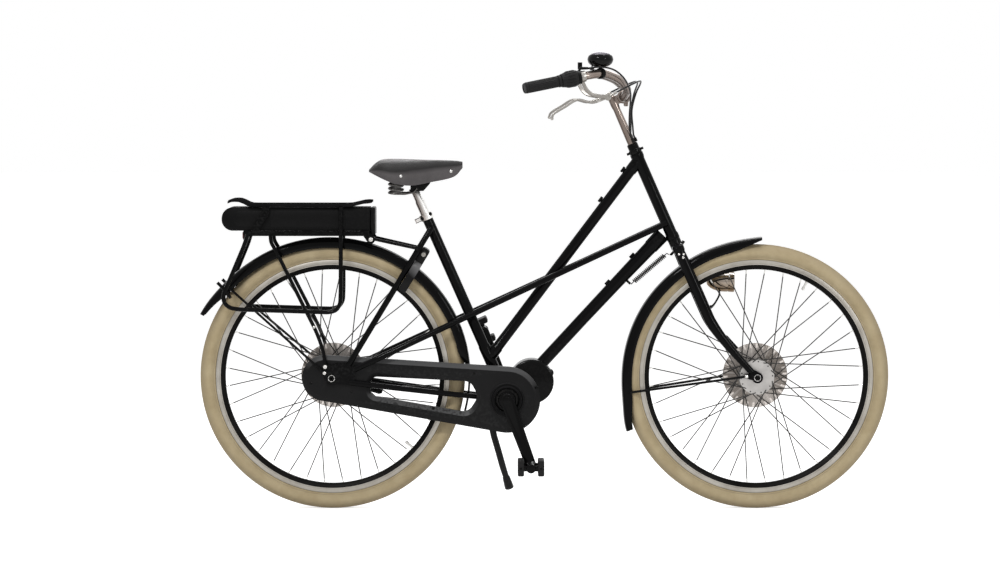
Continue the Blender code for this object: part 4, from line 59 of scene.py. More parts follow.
# What counts as one level, one corner or one flat face of a mesh
SAME_LEVEL = 1e-7
WELD = 2e-6
SOLID_WELD = 5e-6
FLAT_ANGLE = 0.6

# Clearances
FIT = 0.0003
RUNNING_GAP = 0.0012

# Wheels
WHEELBASE = 1.149
RIM_SEAT_R = 0.311
TYRE_HEIGHT = 0.048
TYRE_WIDTH = 0.0476
RIM_WIDTH = 0.026
RIM_WALL = 0.0025
RIM_FLANGE = 0.006
RIM_DEPTH = 0.0205
RIM_SPINE = 0.013
SPOKES = 36
SPOKE_R = 0.0015
SPOKE_CROSSES = 3
SPOKE_PHASE = 5.4
FLANGE_R = 0.047
FLANGE_T = 0.004
SPOKE_CIRCLE_R = 0.0425
SPOKE_ELBOW = 0.0024
SPOKE_RIM_STAGGER = 0.002
AXLE_R = 0.0047
AXLE_BORE_R = 0.0052
DISC_R = 0.088
DISC_T = 0.003
DISC_SLOTS = 60
DISC_SLOT_IN = 0.0560
DISC_SLOT_OUT = 0.0835

# Frame points and angles
BB_FROM_REAR = 0.4732
BB_HEIGHT = 0.300
SEAT_ANGLE = 66.1
HEAD_ANGLE = 66.2
FORK_RAKE = 0.0552
SEAT_TUBE_LENGTH = 0.5463
SEAT_TUBE_R = 0.0143
SEAT_TUBE_BORE = 0.0131
SEAT_TUBE_BORE_DEPTH = 0.25
TOP_TUBE_R = 0.0143
TOP_TUBE_HEAD_S = 0.6665
TOP_TUBE_SEAT_D = 0.119
DOWN_TUBE_R = 0.0163
DOWN_TUBE_HEAD_S = 0.46865
DOWN_TUBE_FROM_MOTOR = 0.0405
DOWN_TUBE_RISE = 0.0120
DOWN_TUBE_SHORT = 0.02591
DOWN_TUBE_FLARE = [(0.0, 0.0), (0.36, 0.0), (0.65, 0.0018), (0.92, 0.0055), (1.0, 0.0062)]
LATERAL_R = 0.0083
LATERAL_HEAD_S = 0.4795
STAY_R = 0.008
STAY_TOP_D = 0.5059
CHAIN_STAY_R = 0.0075
LUG_RISE = 0.0016
LUG_LENGTH = 0.036
HEAD_TUBE_R = 0.0160
HEAD_TUBE_BORE = 0.0138
HEAD_TUBE_BOTTOM_S = 0.4320
HEAD_TUBE_TOP_S = 0.6850
CUP_R = 0.0180
CUP_HEIGHT = 0.0180

# Dropouts
REAR_HALF = 0.0687
DROPOUT_T = 0.005
DROPOUT_R = 0.018
DROPOUT_GAP = 0.0008
SEAT_STAY_END = (0.0465, 0.0370)
LATERAL_END = (0.0625, 0.0250)
CHAIN_STAY_END = (0.0495, -0.0110)
RACK_EYE = (-0.0165, 0.0322)
GUARD_EYE = (-0.0185, 0.0150)
EYE_R = 0.0070
STAY_OFFSET = 0.0745

# Fork
FORK_HALF = 0.0503
FORK_END_T = 0.005
CROWN_S = 0.4060
CROWN_HALF_HEIGHT = 0.0115
CROWN_HALF_WIDTH = 0.060
CROWN_HALF_DEPTH = 0.0160
BLADE_HALF_DEPTHS = [(0.0, 0.0082), (0.077, 0.0104), (0.148, 0.0132), (0.20, 0.0148), (0.35, 0.0148), (0.42, 0.0125)]
BLADE_FLATNESS = 0.74
BLADE_OFFSET = 0.0465
BLADE_BEND_S = 0.20
BLADE_BEND_POWER = 1.4
BLADE_TIP_S = 0.020
STEERER_R = 0.0130
STEERER_BORE = 0.0115
STEERER_TOP_S = 0.7142
STEERER_BORE_DEPTH = 0.075
LOCKNUT_R = 0.0148
KNOB_S = 0.6917
KNOB_REACH = 0.0240
FORK_EYE = (-0.030, 0.004)

# Stem and handlebar
QUILL_R = 0.0111
QUILL_NECK_R = 0.0096
QUILL_TOP_S = 0.8530
QUILL_BOTTOM_S = 0.6500
CLAMP_S = 0.8385
CLAMP_REACH = 0.0311
CLAMP_R = 0.0185
CLAMP_HALF = 0.021
BAR_R = 0.0111
BAR_BULGE_R = 0.0127
BAR_END = (-0.0516, 0.2850, 1.1397)
BAR_STRAIGHT_START = (0.1086, 0.2380, 1.1722)
BAR_BENDS = [(0.2200, 0.075, 1.1354), (0.2060, 0.120, 1.1530), (0.1862, 0.160, 1.1669), (0.1499, 0.205, 1.1777)]
GRIP_R = 0.0148
GRIP_LENGTH = 0.096
LEFT_GRIP_LENGTH = 0.130
TWIST_R = 0.0225
TWIST_LENGTH = 0.044
BAND_START = 0.1515
BAND_LENGTH = 0.012
BAND_R = 0.0150

# Brake levers, described for the left side
LEVER_PIVOT = (0.1640, 0.2160, 1.1150)
LEVER_POINTS = [(0.1640, 0.2160, 1.1150), (0.1236, 0.2200, 1.1015), (0.0836, 0.2280, 1.1085),
                (0.0500, 0.2370, 1.0900), (0.0217, 0.2430, 1.0725), (0.0160, 0.2445, 1.0590)]
PERCH_POINTS = [(0.0990, 0.2390, 1.1500), (0.1090, 0.2350, 1.1330), (0.1232, 0.2285, 1.1225),
                (0.1444, 0.2250, 1.1180), (0.1640, 0.2240, 1.1165)]
PIVOT_BOSS_R = 0.0085
PIVOT_BOSS_HALF = 0.0032
PIVOT_PIN_R = 0.0028
LEVER_HALF = 0.0035
ADJUSTER_TIP = (0.1870, 0.2243, 1.1290)

# Bell on the right side of the bar
BELL_CENTRE = (0.1442, -0.2100, 1.2150)
BELL_R = 0.0340
BELL_HALF_HEIGHT = 0.0205
BELL_ARM_Z = 1.1912
BELL_ARM_T = 0.0044
BELL_PIVOT_BACK = 0.022
BELL_PIN_R = 0.0018

# Cables: their routes from the bar, and where each ends by the steerer
CABLE_R = 0.0024
CABLE_END_S = STEERER_TOP_S + FIT
RIGHT_BRAKE_ROUTE = [(0.1880, -0.2225, 1.1297), (0.2250, -0.2000, 1.1480), (0.2500, -0.1500, 1.1580),
                     (0.2546, -0.1000, 1.1520), (0.2440, -0.0600, 1.1250), (0.2345, -0.0320, 1.0800),
                     (0.2380, -0.0120, 1.0350)]
LEFT_BRAKE_ROUTE = [(x, -y, z) for x, y, z in RIGHT_BRAKE_ROUTE[:-1]] + [(0.2335, 0.0180, 1.0350)]
SHIFT_ROUTE = [(0.1120, -0.2440, 1.1915), (0.1450, -0.2350, 1.1950), (0.1770, -0.2100, 1.1890),
               (0.2000, -0.1800, 1.1740), (0.2163, -0.1500, 1.1543), (0.2275, -0.1100, 1.1280),
               (0.2290, -0.0750, 1.1050), (0.2280, -0.0400, 1.0700),
               (0.2285, -0.0220, 1.0350)]
CABLES = (("brake_cable_right", RIGHT_BRAKE_ROUTE, (0.0138, -0.0030)),
          ("brake_cable_left", LEFT_BRAKE_ROUTE, (0.0060, 0.0126)),
          ("shift_cable", SHIFT_ROUTE, (0.0060, -0.0126)))

# Drive
CHAIN_LINE = 0.053
CRANK_LENGTH = 0.185
CRANK_ANGLE = -69.9
CRANK_INNER = 0.0745
CRANK_T = 0.0135
SPINDLE_BORE = 0.0112
MOTOR_FROM_BB = (0.0663, 0.0470)
MOTOR_R = 0.0600
MOTOR_BB_R = 0.0430
MOTOR_HALF = 0.0395
PEDAL_BLOCK_OFFSET = 0.0270
PEDAL_BLOCK_T = 0.0170
PEDAL_BLOCK_H = 0.0420
PEDAL_START = CRANK_INNER + CRANK_T + 0.004
PEDAL_LENGTH = 0.090
PEDAL_GROOVES = 9
PEDAL_BARREL_R = 0.0125
PEDAL_AXLE_R = 0.0055
LEFT_PEDAL_TILT = 24.0

# Chaincase
CASE_HALF = 0.0130
CASE_WALL = 0.0020
CASE_FRONT_R = 0.0895
CASE_REAR_R = 0.0620
CASE_REAR_SHIFT = 0.0185
CASE_EDGE = 0.0125
EDGE_SLOPE = 0.55
CASE_CRANK_HOLE_R = 0.0330
CASE_HUB_HOLE_R = 0.0480
CASE_AXLE_HOLE_R = 0.0130
CASE_WINDOW = [(-0.4700, 0.3635), (-0.2000, 0.3500), (-0.1790, 0.3090), (-0.2060, 0.2660),
               (-0.4700, 0.3120)]
CASE_WINDOW_FILLETS = [0.018, 0.028, 0.030, 0.028, 0.018]

# Mudguards
GUARD_T = 0.0020
GUARD_SKIN = 0.0016
FRONT_GUARD_STEPS = 110
REAR_GUARD_STEPS = 160
GUARD_HALF = 0.0300
GUARD_DROP = 0.0270
FRONT_GUARD_RADII = [(88, 0.3790), (94, 0.3740), (104, 0.3705), (118, 0.3668), (135, 0.3640), (168, 0.3640),
                     (182, 0.3652), (192, 0.3690), (198, 0.3780), (203, 0.3840)]
REAR_GUARD_RADII = [(-17, 0.3740), (30, 0.3740), (60, 0.3755), (90, 0.3772), (110, 0.3810), (130, 0.3838),
                    (142, 0.3890), (150, 0.3950), (154.5, 0.3976)]
GUARD_STAY_R = 0.0034
GUARD_EYE_HALF = 0.0032
FRONT_GUARD_FROM = 88.0
FRONT_GUARD_TO = 203.0
REAR_GUARD_FROM = -17.0
REAR_GUARD_TO = 154.5
REAR_GUARD_PINCH_END = 2.0
REAR_GUARD_PINCH_HALF = 0.0220
GUARD_FLARE_ARC = 12.0
GUARD_TIP_ARC = 14.0
GUARD_OPEN_ARC = 10.0

# Rack and battery
RAIL_BOTTOM = 0.7425
RAIL_TOP = 0.7562
RAIL_REAR = -0.8050
RAIL_FRONT = -0.4720
RAIL_Y = 0.0610
RAIL_HALF = 0.0050
PLATE_HALF = 0.0110
PLATE_INSET = 0.0030
BATTERY_HEIGHT = 0.0630
BATTERY_HALF = 0.0545
BATTERY_REAR = -0.8700
BATTERY_FRONT = -0.4710
BATTERY_NOSE_R = 0.0300
DECK_T = 0.0080
DECK_HALF = 0.0680
DECK_REAR = -0.8530
DECK_FRONT = -0.4660
DECK_LIFT = 0.0095
DECK_SLOTS = 3
RACK_TUBE_R = 0.0058
HOOP_Y = 0.0805
LEG_TUBE_R = 0.0052
LINK_R = 0.0040

# Saddle, measured from the head of its post
SADDLE_STEPS = 56
SADDLE_TAIL = -0.12365
SADDLE_NOSE = 0.12725
SADDLE_TOPS = [(0.0, 0.06198), (0.06, 0.07748), (0.14, 0.08798), (0.3, 0.08948), (0.6, 0.08698),
               (0.9, 0.08498), (1.0, 0.08198)]
SADDLE_LOWS = [(0.0, 0.05548), (0.18, 0.03398), (0.3, 0.02348), (0.46, 0.01898), (0.66, 0.02698),
               (0.9, 0.04048), (1.0, 0.06448)]
SADDLE_WIDTHS = [(0.0, 0.600), (0.06, 0.800), (0.16, 0.970), (0.26, 1.000), (0.4, 0.860),
                 (0.55, 0.580), (0.72, 0.360), (0.9, 0.255), (1.0, 0.190)]
SADDLE_SECTION = [(0.0, 0.0), (0.12, 0.004), (0.24, 0.014), (0.36, 0.033), (0.50, 0.068), (0.64, 0.120), (0.76, 0.195),
                  (0.86, 0.300), (0.93, 0.42), (0.972, 0.56), (0.992, 0.70), (1.0, 0.84), (1.0, 0.94), (0.992, 1.0)]
SADDLE_WALL = 0.0045
SADDLE_HALF_WIDTH = 0.1050
RAIL_WIRE_R = 0.0029
RAIL_SPREAD = 0.0220
COIL_R = 0.0180
COIL_TURNS = 3
COIL_BASE = (-0.05275, 0.0480, -0.00352)
COIL_RISE = 0.0340
RAIL_POINTS = [(0.01125, 1.0, 0.01598), (0.04425, 1.0, 0.03448), (0.07925, 0.82, 0.04648),
               (0.10125, 0.545, 0.04898), (0.10525, 0.18, 0.04998)]
POST_R = 0.0127
POST_TOP_D = 0.612
POST_BOTTOM_D = 0.430

# Lock
LOCK_STAY_T = 0.645
LOCK_INNER_R = 0.0460
LOCK_OUTER_R = 0.0610
LOCK_HALF = 0.0110
LOCK_GROOVE_R = 0.0562
LOCK_GROOVE_HALF = 0.0049
LOCK_ARC = 130.0
LOCK_KEY_OUT = 0.080

# Lamp, stand, and steering spring: its foot and head by the down tube, its hook by the fork crown
LAMP_REAR = (0.4440, 0.0760, 0.6128)
LAMP_LENGTH = 0.0750
LAMP_R = 0.0300
LAMP_BRACKET_S = 0.218
SPRING_WIRE_R = 0.0014
SPRING_R = 0.0070
SPRING_TURNS = 22
SPRING_REACH = 2.05
SPRING_SLIM = 0.86
SPRING_TAIL = 0.0110
SPRING_FOOT = (0.70199, 0.03351)
SPRING_HEAD = (0.81010, 0.03954)
SPRING_HOOK = (-0.00776, -0.02873)
STAND_PIVOT = (-0.1500, 0.0420, 0.2550)
STAND_POINTS = [(-0.1440, 0.0430, 0.2250), (-0.1370, 0.0440, 0.1913), (-0.1250, 0.0480, 0.1500),
                (-0.1130, 0.0560, 0.1060), (-0.1020, 0.0700, 0.0700)]
STAND_FOOT = (-0.0951, 0.0800, 0.0462)
STAND_R = 0.0096
STAND_PIN_R = 0.0040
STAND_FOOT_R = 0.0125

# Camera, floor, lamps, and the way and range of the painted shade on faces that look down
CAMERA_AT = (-0.1206, -9.0, 1.12)
CAMERA_AIM = (-0.1206, 0.0, 0.6165)
CAMERA_LENS = 119.7
PAINTED_SHADE_WAY = (0.50, 0.0, 0.87)
PAINTED_SHADE_RANGE = (0.55, -0.75)
WORLD_LIGHT = 0.50
FLOOR_GLOW = 0.55
FLOOR_HALF = 40.0
LAMP_AIM = (0, 0, 0.55)
LAMPS = (("key", (-1.6, -3.4, 3.6), (1.0, 0.32), 88.0), ("fill", (2.8, -3.0, 2.0), (0.32, 1.3), 34.0),
         ("top", (0.2, 0.4, 4.2), (3.2, 0.3), 60.0), ("back", (0.2, 3.4, 2.6), (3.2, 0.6), 30.0))

# Derived places
WHEEL_R = RIM_SEAT_R + TYRE_HEIGHT
RIM_EDGE_R = RIM_SEAT_R + RIM_FLANGE
RIM_INNER_R = RIM_SEAT_R - RIM_DEPTH
RIM_SPLIT_R = RIM_EDGE_R - 0.0135
REAR_AXLE = Vector((-WHEELBASE / 2, 0, WHEEL_R))
FRONT_AXLE = Vector((WHEELBASE / 2, 0, WHEEL_R))
BB = Vector((REAR_AXLE.x + BB_FROM_REAR, 0, BB_HEIGHT))
SEAT_DIR = Vector((-cos(radians(SEAT_ANGLE)), 0, sin(radians(SEAT_ANGLE))))
STEER_UP = Vector((-cos(radians(HEAD_ANGLE)), 0, sin(radians(HEAD_ANGLE))))
STEER_FWD = Vector((STEER_UP.z, 0, -STEER_UP.x))
STEER_FOOT = FRONT_AXLE - STEER_FWD * FORK_RAKE
LEFT = Vector((0, 1, 0))
BATTERY_BOTTOM = RAIL_TOP + FIT
DECK_BOTTOM = BATTERY_BOTTOM + BATTERY_HEIGHT + 0.0012
SIDES = (("right", -1), ("left", 1))
SWAP_YZ = Matrix(((1, 0, 0, 0), (0, 0, 1, 0), (0, 1, 0, 0), (0, 0, 0, 1)))


# Places and basic forms
def steer(s, forward=0.0, y=0.0):
    """Point at height s along the steering axis, forward of it and out to the side."""
    return STEER_FOOT + STEER_UP * s + STEER_FWD * forward + LEFT * y


def seat(d):
    """Point at distance d up the seat tube from the crank axis."""
    return BB + SEAT_DIR * d


def at_rear(offset, y=0.0):
    return REAR_AXLE + Vector((offset[0], y, offset[1]))


def around(axle, a, r, y=0.0):
    """Point at an angle and a radius round an axle, y to its left."""
    return axle + Vector((r * cos(a), y, r * sin(a)))


def mirrored(points, side):
    """Points described for the left, as vectors on the side asked for."""
    return [Vector((x, y * side, z)) for x, y, z in points]


def held(share):
    return min(1.0, max(0.0, share))


def interpolate(table, t):
    for (t0, v0), (t1, v1) in zip(table, table[1:]):
        if t <= t1:
            return v0 + (v1 - v0) * (t - t0) / (t1 - t0)
    return table[-1][1]


def circle(r, count, phase=0.0):
    return [(r * cos(phase + 2 * pi * k / count), r * sin(phase + 2 * pi * k / count)) for k in range(count)]


def clear(r, sides):
    """Corner radius of a hole with flat sides that leaves the fitting gap round a pin of radius r."""
    return (r + FIT) / cos(pi / sides)


def box_section(half_u, half_v):
    return [(half_u, half_v), (-half_u, half_v), (-half_u, -half_v), (half_u, -half_v)]


def rounded_section(half_u, half_v, fillet, steps=2):
    steps *= FINE
    points = []
    for sign_u, sign_v, first in ((1, 1, 0), (-1, 1, 90), (-1, -1, 180), (1, -1, 270)):
        for k in range(steps + 1):
            a = radians(first + 90 * k / steps)
            points.append((sign_u * (half_u - fillet) + fillet * cos(a), sign_v * (half_v - fillet) + fillet * sin(a)))
    return points


def loft(rings, looped=False):
    """Skin rings of equal count; the ends are flat faces or meet each other."""
    bm = bmesh.new()
    rows = [[bm.verts.new(p) for p in ring] for ring in rings]
    count = len(rows[0])
    for low, high in zip(rows, rows[1:] + rows[:1] if looped else rows[1:]):
        for k in range(count):
            n = (k + 1) % count
            bm.faces.new((low[k], low[n], high[n], high[k]))
    if not looped:
        bm.faces.new(rows[0])
        bm.faces.new(rows[-1])
    bmesh.ops.recalc_face_normals(bm, faces=bm.faces)
    return bm


def sweep(path, section, scales=None, hint=(0, 1, 0)):
    """Carry a flat section along a path without twisting it; hint sets its first u direction."""
    path = [Vector(p) for p in path]
    rings = []
    u = Vector(hint)
    for i, point in enumerate(path):
        tangent = (path[min(i + 1, len(path) - 1)] - path[max(i - 1, 0)]).normalized()
        if abs(u.dot(tangent)) > 0.99:
            u = Vector((tangent.y, tangent.z, tangent.x))
        u = (u - tangent * u.dot(tangent)).normalized()
        v = tangent.cross(u)
        su, sv = scales[i] if scales else (1.0, 1.0)
        rings.append([point + u * a * su + v * b * sv for a, b in section])
    return loft(rings)


def smooth_path(points, steps=CURVE_STEPS):
    """Catmull-Rom curve through the points, with the given steps in each span."""
    points = [Vector(p) for p in points]
    ends = [points[0] * 2 - points[1], *points, points[-1] * 2 - points[-2]]
    path = []
    for i in range(1, len(ends) - 2):
        p0, p1, p2, p3 = ends[i - 1:i + 3]
        for k in range(steps):
            t = k / steps
            path.append(0.5 * (2 * p1 + (p2 - p0) * t + (2 * p0 - 5 * p1 + 4 * p2 - p3) * t ** 2
                               + (3 * p1 - p0 - 3 * p2 + p3) * t ** 3))
    return path + [points[-1]]


def rounded_path(points, steps=6):
    """Corners of a bent tube as short curves that keep inside the corner."""
    path = [points[0]]
    for before, corner, after in zip(points, points[1:], points[2:]):
        reach = 0.46 * min((corner - before).length, (after - corner).length)
        start = corner + (before - corner).normalized() * reach
        end = corner + (after - corner).normalized() * reach
        for k in range(steps + 1):
            t = k / steps
            path.append(start * (1 - t) ** 2 + corner * 2 * t * (1 - t) + end * t ** 2)
    return path + [points[-1]]


def tube(path, r, sides=12, radii=None):
    """Round tube along a path; radii give its radius at each point."""
    sides *= FINE
    scales = [(value / r, value / r) for value in radii] if radii else None
    return sweep(path, circle(r, sides, pi / sides), scales)


def rod(start, end, r, sides=12):
    return tube([start, end], r, sides)


def cross_rod(place, half, r, sides=12):
    """Rod across the bicycle with its middle at a place."""
    return rod(place - LEFT * half, place + LEFT * half, r, sides)


def lathe(profile, origin, axis, segments, start=(0, 0, 1), span=360.0):
    """Turn a closed profile of (along, radius) pairs about an axis; one with both ends on the axis is solid."""
    segments *= FINE
    origin = Vector(origin)
    axis = Vector(axis).normalized()
    start = Vector(start)
    start = (start - axis * start.dot(axis)).normalized()
    side = axis.cross(start)
    full = span == 360.0
    turns = [(k + 0.5) / segments for k in range(segments)]
    if not full:
        turns = [k / segments - 0.5 for k in range(segments + 1)]
    ways = [start * cos(radians(span) * t) + side * sin(radians(span) * t) for t in turns]
    bm = bmesh.new()
    columns = [[bm.verts.new(origin + axis * along + way * radius) for way in (ways if radius else ways[:1])]
               for along, radius in profile]
    for low, high in zip(columns, columns[1:] + columns[:1]):
        for k in range(len(ways) if full else len(ways) - 1):
            n = (k + 1) % len(ways)
            corners = [low[k % len(low)], low[n % len(low)], high[n % len(high)], high[k % len(high)]]
            corners = list(dict.fromkeys(corners))
            if len(corners) > 2:
                bm.faces.new(corners)
    if not full:
        bm.faces.new([column[0] for column in columns])
        bm.faces.new([column[-1] for column in columns])
    bmesh.ops.recalc_face_normals(bm, faces=bm.faces)
    return bm


def two_circles(c1, r1, c2, r2, steps):
    """Outline of two circles and their outer tangents, in the XZ plane, as (x, z) pairs."""
    steps *= FINE
    dx = c2[0] - c1[0]
    dz = c2[1] - c1[1]
    gap = hypot(dx, dz)
    heading = atan2(dz, dx)
    lean = pi / 2 + atan2(r2 - r1, (gap ** 2 - (r2 - r1) ** 2) ** 0.5)
    points = []
    for centre, r, first, last in ((c1, r1, heading + lean, heading + 2 * pi - lean),
                                   (c2, r2, heading - lean, heading + lean)):
        for k in range(steps + 1):
            a = first + (last - first) * k / steps
            points.append((centre[0] + r * cos(a), centre[1] + r * sin(a)))
    return points


def rounded_polygon(corners, fillets, steps=3):
    """Round each corner of a polygon with an arc of its own fillet."""
    steps *= FINE
    points = []
    count = len(corners)
    for i, (corner, fillet) in enumerate(zip(corners, fillets)):
        here = Vector(corner)
        to_last = (Vector(corners[i - 1]) - here).normalized()
        to_next = (Vector(corners[(i + 1) % count]) - here).normalized()
        half = to_last.angle(to_next) / 2
        centre = here + (to_last + to_next).normalized() * fillet / sin(half)
        first = here + to_last * fillet / tan(half) - centre
        sweep_angle = first.angle_signed(here + to_next * fillet / tan(half) - centre)
        for k in range(steps + 1):
            a = -sweep_angle * k / steps
            points.append(tuple(centre + Vector((first.x * cos(a) - first.y * sin(a),
                                                 first.x * sin(a) + first.y * cos(a)))))
    return points


def prism(outlines, y0, y1, edge=0.0):
    """Plate in the XZ plane between two y planes. The first outline is the edge, the rest are holes."""
    y0, y1 = sorted((y0, y1))
    bm = bmesh.new()
    edges = []
    for outline in outlines:
        ring = [bm.verts.new((x, y0, z)) for x, z in outline]
        edges += [bm.edges.new(ends) for ends in zip(ring, ring[1:] + ring[:1])]
    bmesh.ops.triangle_fill(bm, edges=edges, use_beauty=True, use_dissolve=False)
    far = bmesh.ops.extrude_face_region(bm, geom=bm.faces[:])["geom"]
    verts = [item for item in far if isinstance(item, bmesh.types.BMVert)]
    bmesh.ops.translate(bm, verts=verts, vec=(0, y1 - y0, 0))
    bmesh.ops.recalc_face_normals(bm, faces=bm.faces)
    if edge:
        for level, inward in ((y0, edge * EDGE_SLOPE), (y1, -edge * EDGE_SLOPE)):
            side = [face for face in bm.faces if all(abs(v.co.y - level) < SAME_LEVEL for v in face.verts)]
            rim = {(v.co.x, v.co.z) for face in side for item in face.edges
                   if sum(f in side for f in item.link_faces) == 1 for v in item.verts}
            bmesh.ops.inset_region(bm, faces=side, thickness=edge, use_even_offset=True, use_boundary=True)
            for v in bm.verts:
                if abs(v.co.y - level) < SAME_LEVEL and (v.co.x, v.co.z) in rim:
                    v.co.y += inward
    return bm


def moved(bm, matrix):
    bmesh.ops.transform(bm, matrix=matrix, verts=bm.verts)
    return bm


def solid_box(low, high, edge=0.0):
    bm = bmesh.new()
    bmesh.ops.create_cube(bm, size=1.0)
    size = Vector(high) - Vector(low)
    middle = (Vector(high) + Vector(low)) / 2
    bmesh.ops.scale(bm, vec=size, verts=bm.verts)
    bmesh.ops.translate(bm, vec=middle, verts=bm.verts)
    if edge:
        bmesh.ops.bevel(bm, geom=bm.edges[:], offset=edge, segments=1, affect="EDGES")
    return bm


# Mesh assembly
def placed(name, data):
    made = bpy.data.objects.new(name, data)
    bpy.context.collection.objects.link(made)
    return made


def as_object(bm, name):
    mesh = bpy.data.meshes.new(name)
    bm.to_mesh(mesh)
    bm.free()
    return placed(name, mesh)


def discard(made):
    mesh = made.data
    bpy.data.objects.remove(made)
    bpy.data.meshes.remove(mesh)


def baked(made):
    """A new mesh of the object with its modifiers."""
    graph = bpy.context.evaluated_depsgraph_get()
    return bpy.data.meshes.new_from_object(made.evaluated_get(graph))


def modify(made, kind, **settings):
    """Change an object's mesh by one modifier."""
    change = made.modifiers.new(kind, kind)
    for key, value in settings.items():
        setattr(change, key, value)
    mesh = baked(made)
    old = made.data
    made.modifiers.clear()
    made.data = mesh
    bpy.data.meshes.remove(old)


def combine(base, tools, operation):
    """Join or cut a solid with other solids."""
    body = as_object(base, "body")
    helpers = [as_object(tool, f"tool_{i}") for i, tool in enumerate(tools)]
    for helper in helpers:
        step = body.modifiers.new(helper.name, "BOOLEAN")
        step.operation = operation
        step.solver = "EXACT"
        step.object = helper
    mesh = baked(body)
    result = bmesh.new()
    result.from_mesh(mesh)
    bmesh.ops.remove_doubles(result, verts=result.verts, dist=WELD)
    for item in [body, *helpers]:
        discard(item)
    bpy.data.meshes.remove(mesh)
    return result


def join(base, *tools):
    return combine(base, tools, "UNION")


def cut(base, *tools):
    return combine(base, tools, "DIFFERENCE")


def merged(pieces):
    """One mesh that holds several shells."""
    whole = bmesh.new()
    for item in pieces:
        mesh = bpy.data.meshes.new("piece")
        item.to_mesh(mesh)
        item.free()
        whole.from_mesh(mesh)
        bpy.data.meshes.remove(mesh)
    return whole


def dress(made, look):
    """Give an object one look and return the slot it stands for."""
    finish, slot = LOOKS[look]
    made.data.materials.clear()
    made.data.materials.append(finish)
    return slot


def piece(name, bm, look, body, nodes=(), smooth=38.0, bevel=0.0, steps=2, limit=38.0):
    """A visible piece: its edges rounded, its finish assigned, riding on its body for the nodes it stands for."""
    made = as_object(bm, name)
    slot = dress(made, look)
    if bevel:
        modify(made, "BEVEL", width=bevel, segments=steps, limit_method="ANGLE", angle_limit=radians(limit),
               use_clamp_overlap=True)
    made.data.shade_smooth()
    made.data.set_sharp_from_angle(angle=radians(smooth))
    if body:
        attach(made, body)
    if nodes:
        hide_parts(*nodes)
    return made


def from_node(node):
    """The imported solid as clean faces, ready to have its edges rounded."""
    bm = bmesh.new()
    bm.from_mesh(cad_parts[node].data)
    bmesh.ops.remove_doubles(bm, verts=bm.verts, dist=SOLID_WELD)
    bmesh.ops.dissolve_limit(bm, angle_limit=radians(FLAT_ANGLE), verts=bm.verts, edges=bm.edges)
    return bm


# Frame
def head_tube():
    bottom = HEAD_TUBE_BOTTOM_S
    top = HEAD_TUBE_TOP_S
    profile = [(bottom, HEAD_TUBE_BORE), (bottom, CUP_R), (bottom + CUP_HEIGHT * 0.6, CUP_R),
               (bottom + CUP_HEIGHT, HEAD_TUBE_R), (top - CUP_HEIGHT, HEAD_TUBE_R), (top - CUP_HEIGHT * 0.6, CUP_R),
               (top, CUP_R), (top, HEAD_TUBE_BORE)]
    return lathe(profile, STEER_FOOT, STEER_UP, 14)


def lugged(start, end, r, sides=12):
    """Straight tube with a raised lug sleeve at each end."""
    start = Vector(start)
    end = Vector(end)
    way = (end - start).normalized()
    length = (end - start).length
    marks = [0.0, LUG_LENGTH, LUG_LENGTH + 0.004, length - LUG_LENGTH - 0.004, length - LUG_LENGTH, length]
    radii = [r + LUG_RISE, r + LUG_RISE, r, r, r + LUG_RISE, r + LUG_RISE]
    return tube([start + way * m for m in marks], r, sides, radii)


def head_cutter():
    """The head tube with its cups, grown by the fitting gap and lengthened over the crown race."""
    low = HEAD_TUBE_BOTTOM_S
    high = HEAD_TUBE_TOP_S
    wide = clear(CUP_R, 18)
    slim = clear(HEAD_TUBE_R, 18)
    profile = [(low - 0.05, 0.0), (low - 0.05, wide), (low + CUP_HEIGHT * 0.6 + FIT, wide),
               (low + CUP_HEIGHT + FIT, slim), (high - CUP_HEIGHT - FIT, slim), (high - CUP_HEIGHT * 0.6 - FIT, wide),
               (high + 0.05, wide), (high + 0.05, 0.0)]
    return lathe(profile, STEER_FOOT, STEER_UP, 18)


def seat_cutter(extra=0.0):
    return rod(seat(-0.05), seat(SEAT_TUBE_LENGTH + 0.05), clear(SEAT_TUBE_R + extra, 18), 18)


def motor_outline(grow):
    """Outline round the crank bearing and the motor."""
    centre = motor_centre()
    return two_circles((BB.x, BB.z), MOTOR_BB_R + grow, (centre.x, centre.z), MOTOR_R + grow, 8)


def motor_cutter():
    """The motor's housing, grown a little more than the fitting gap."""
    gap = FIT * 1.1
    return prism([motor_outline(gap)], -MOTOR_HALF - gap, MOTOR_HALF + gap)


def motor_centre():
    return BB + Vector((MOTOR_FROM_BB[0], 0, MOTOR_FROM_BB[1]))


def cable_guide(start, end, share, r, side_dir):
    """Small brazed loop that stands on a tube."""
    start = Vector(start)
    end = Vector(end)
    way = (end - start).normalized()
    foot = start + (end - start) * share + Vector(side_dir) * r
    out = Vector(side_dir)
    web = sweep([foot - out * 0.002, foot + out * 0.0052], rounded_section(0.0060, 0.0024, 0.0010, 2), hint=way)
    barrel = tube([foot + way * along + out * 0.0044 for along in (-0.0085, -0.0080, 0.0080, 0.0085)], 0.0036, 6,
                  [0.0026, 0.0036, 0.0036, 0.0026])
    return join(web, barrel)


def top_tube():
    """Lugged tube with two cable guides below it."""
    low = seat(TOP_TUBE_SEAT_D)
    high = steer(TOP_TUBE_HEAD_S)
    out = Vector(((high - low).z, 0, -(high - low).x)).normalized()
    guides = [cable_guide(low, high, share, TOP_TUBE_R, -out) for share in (0.93, 0.78)]
    return cut(join(lugged(low, high, TOP_TUBE_R), *guides), head_cutter(), seat_cutter(LUG_RISE))


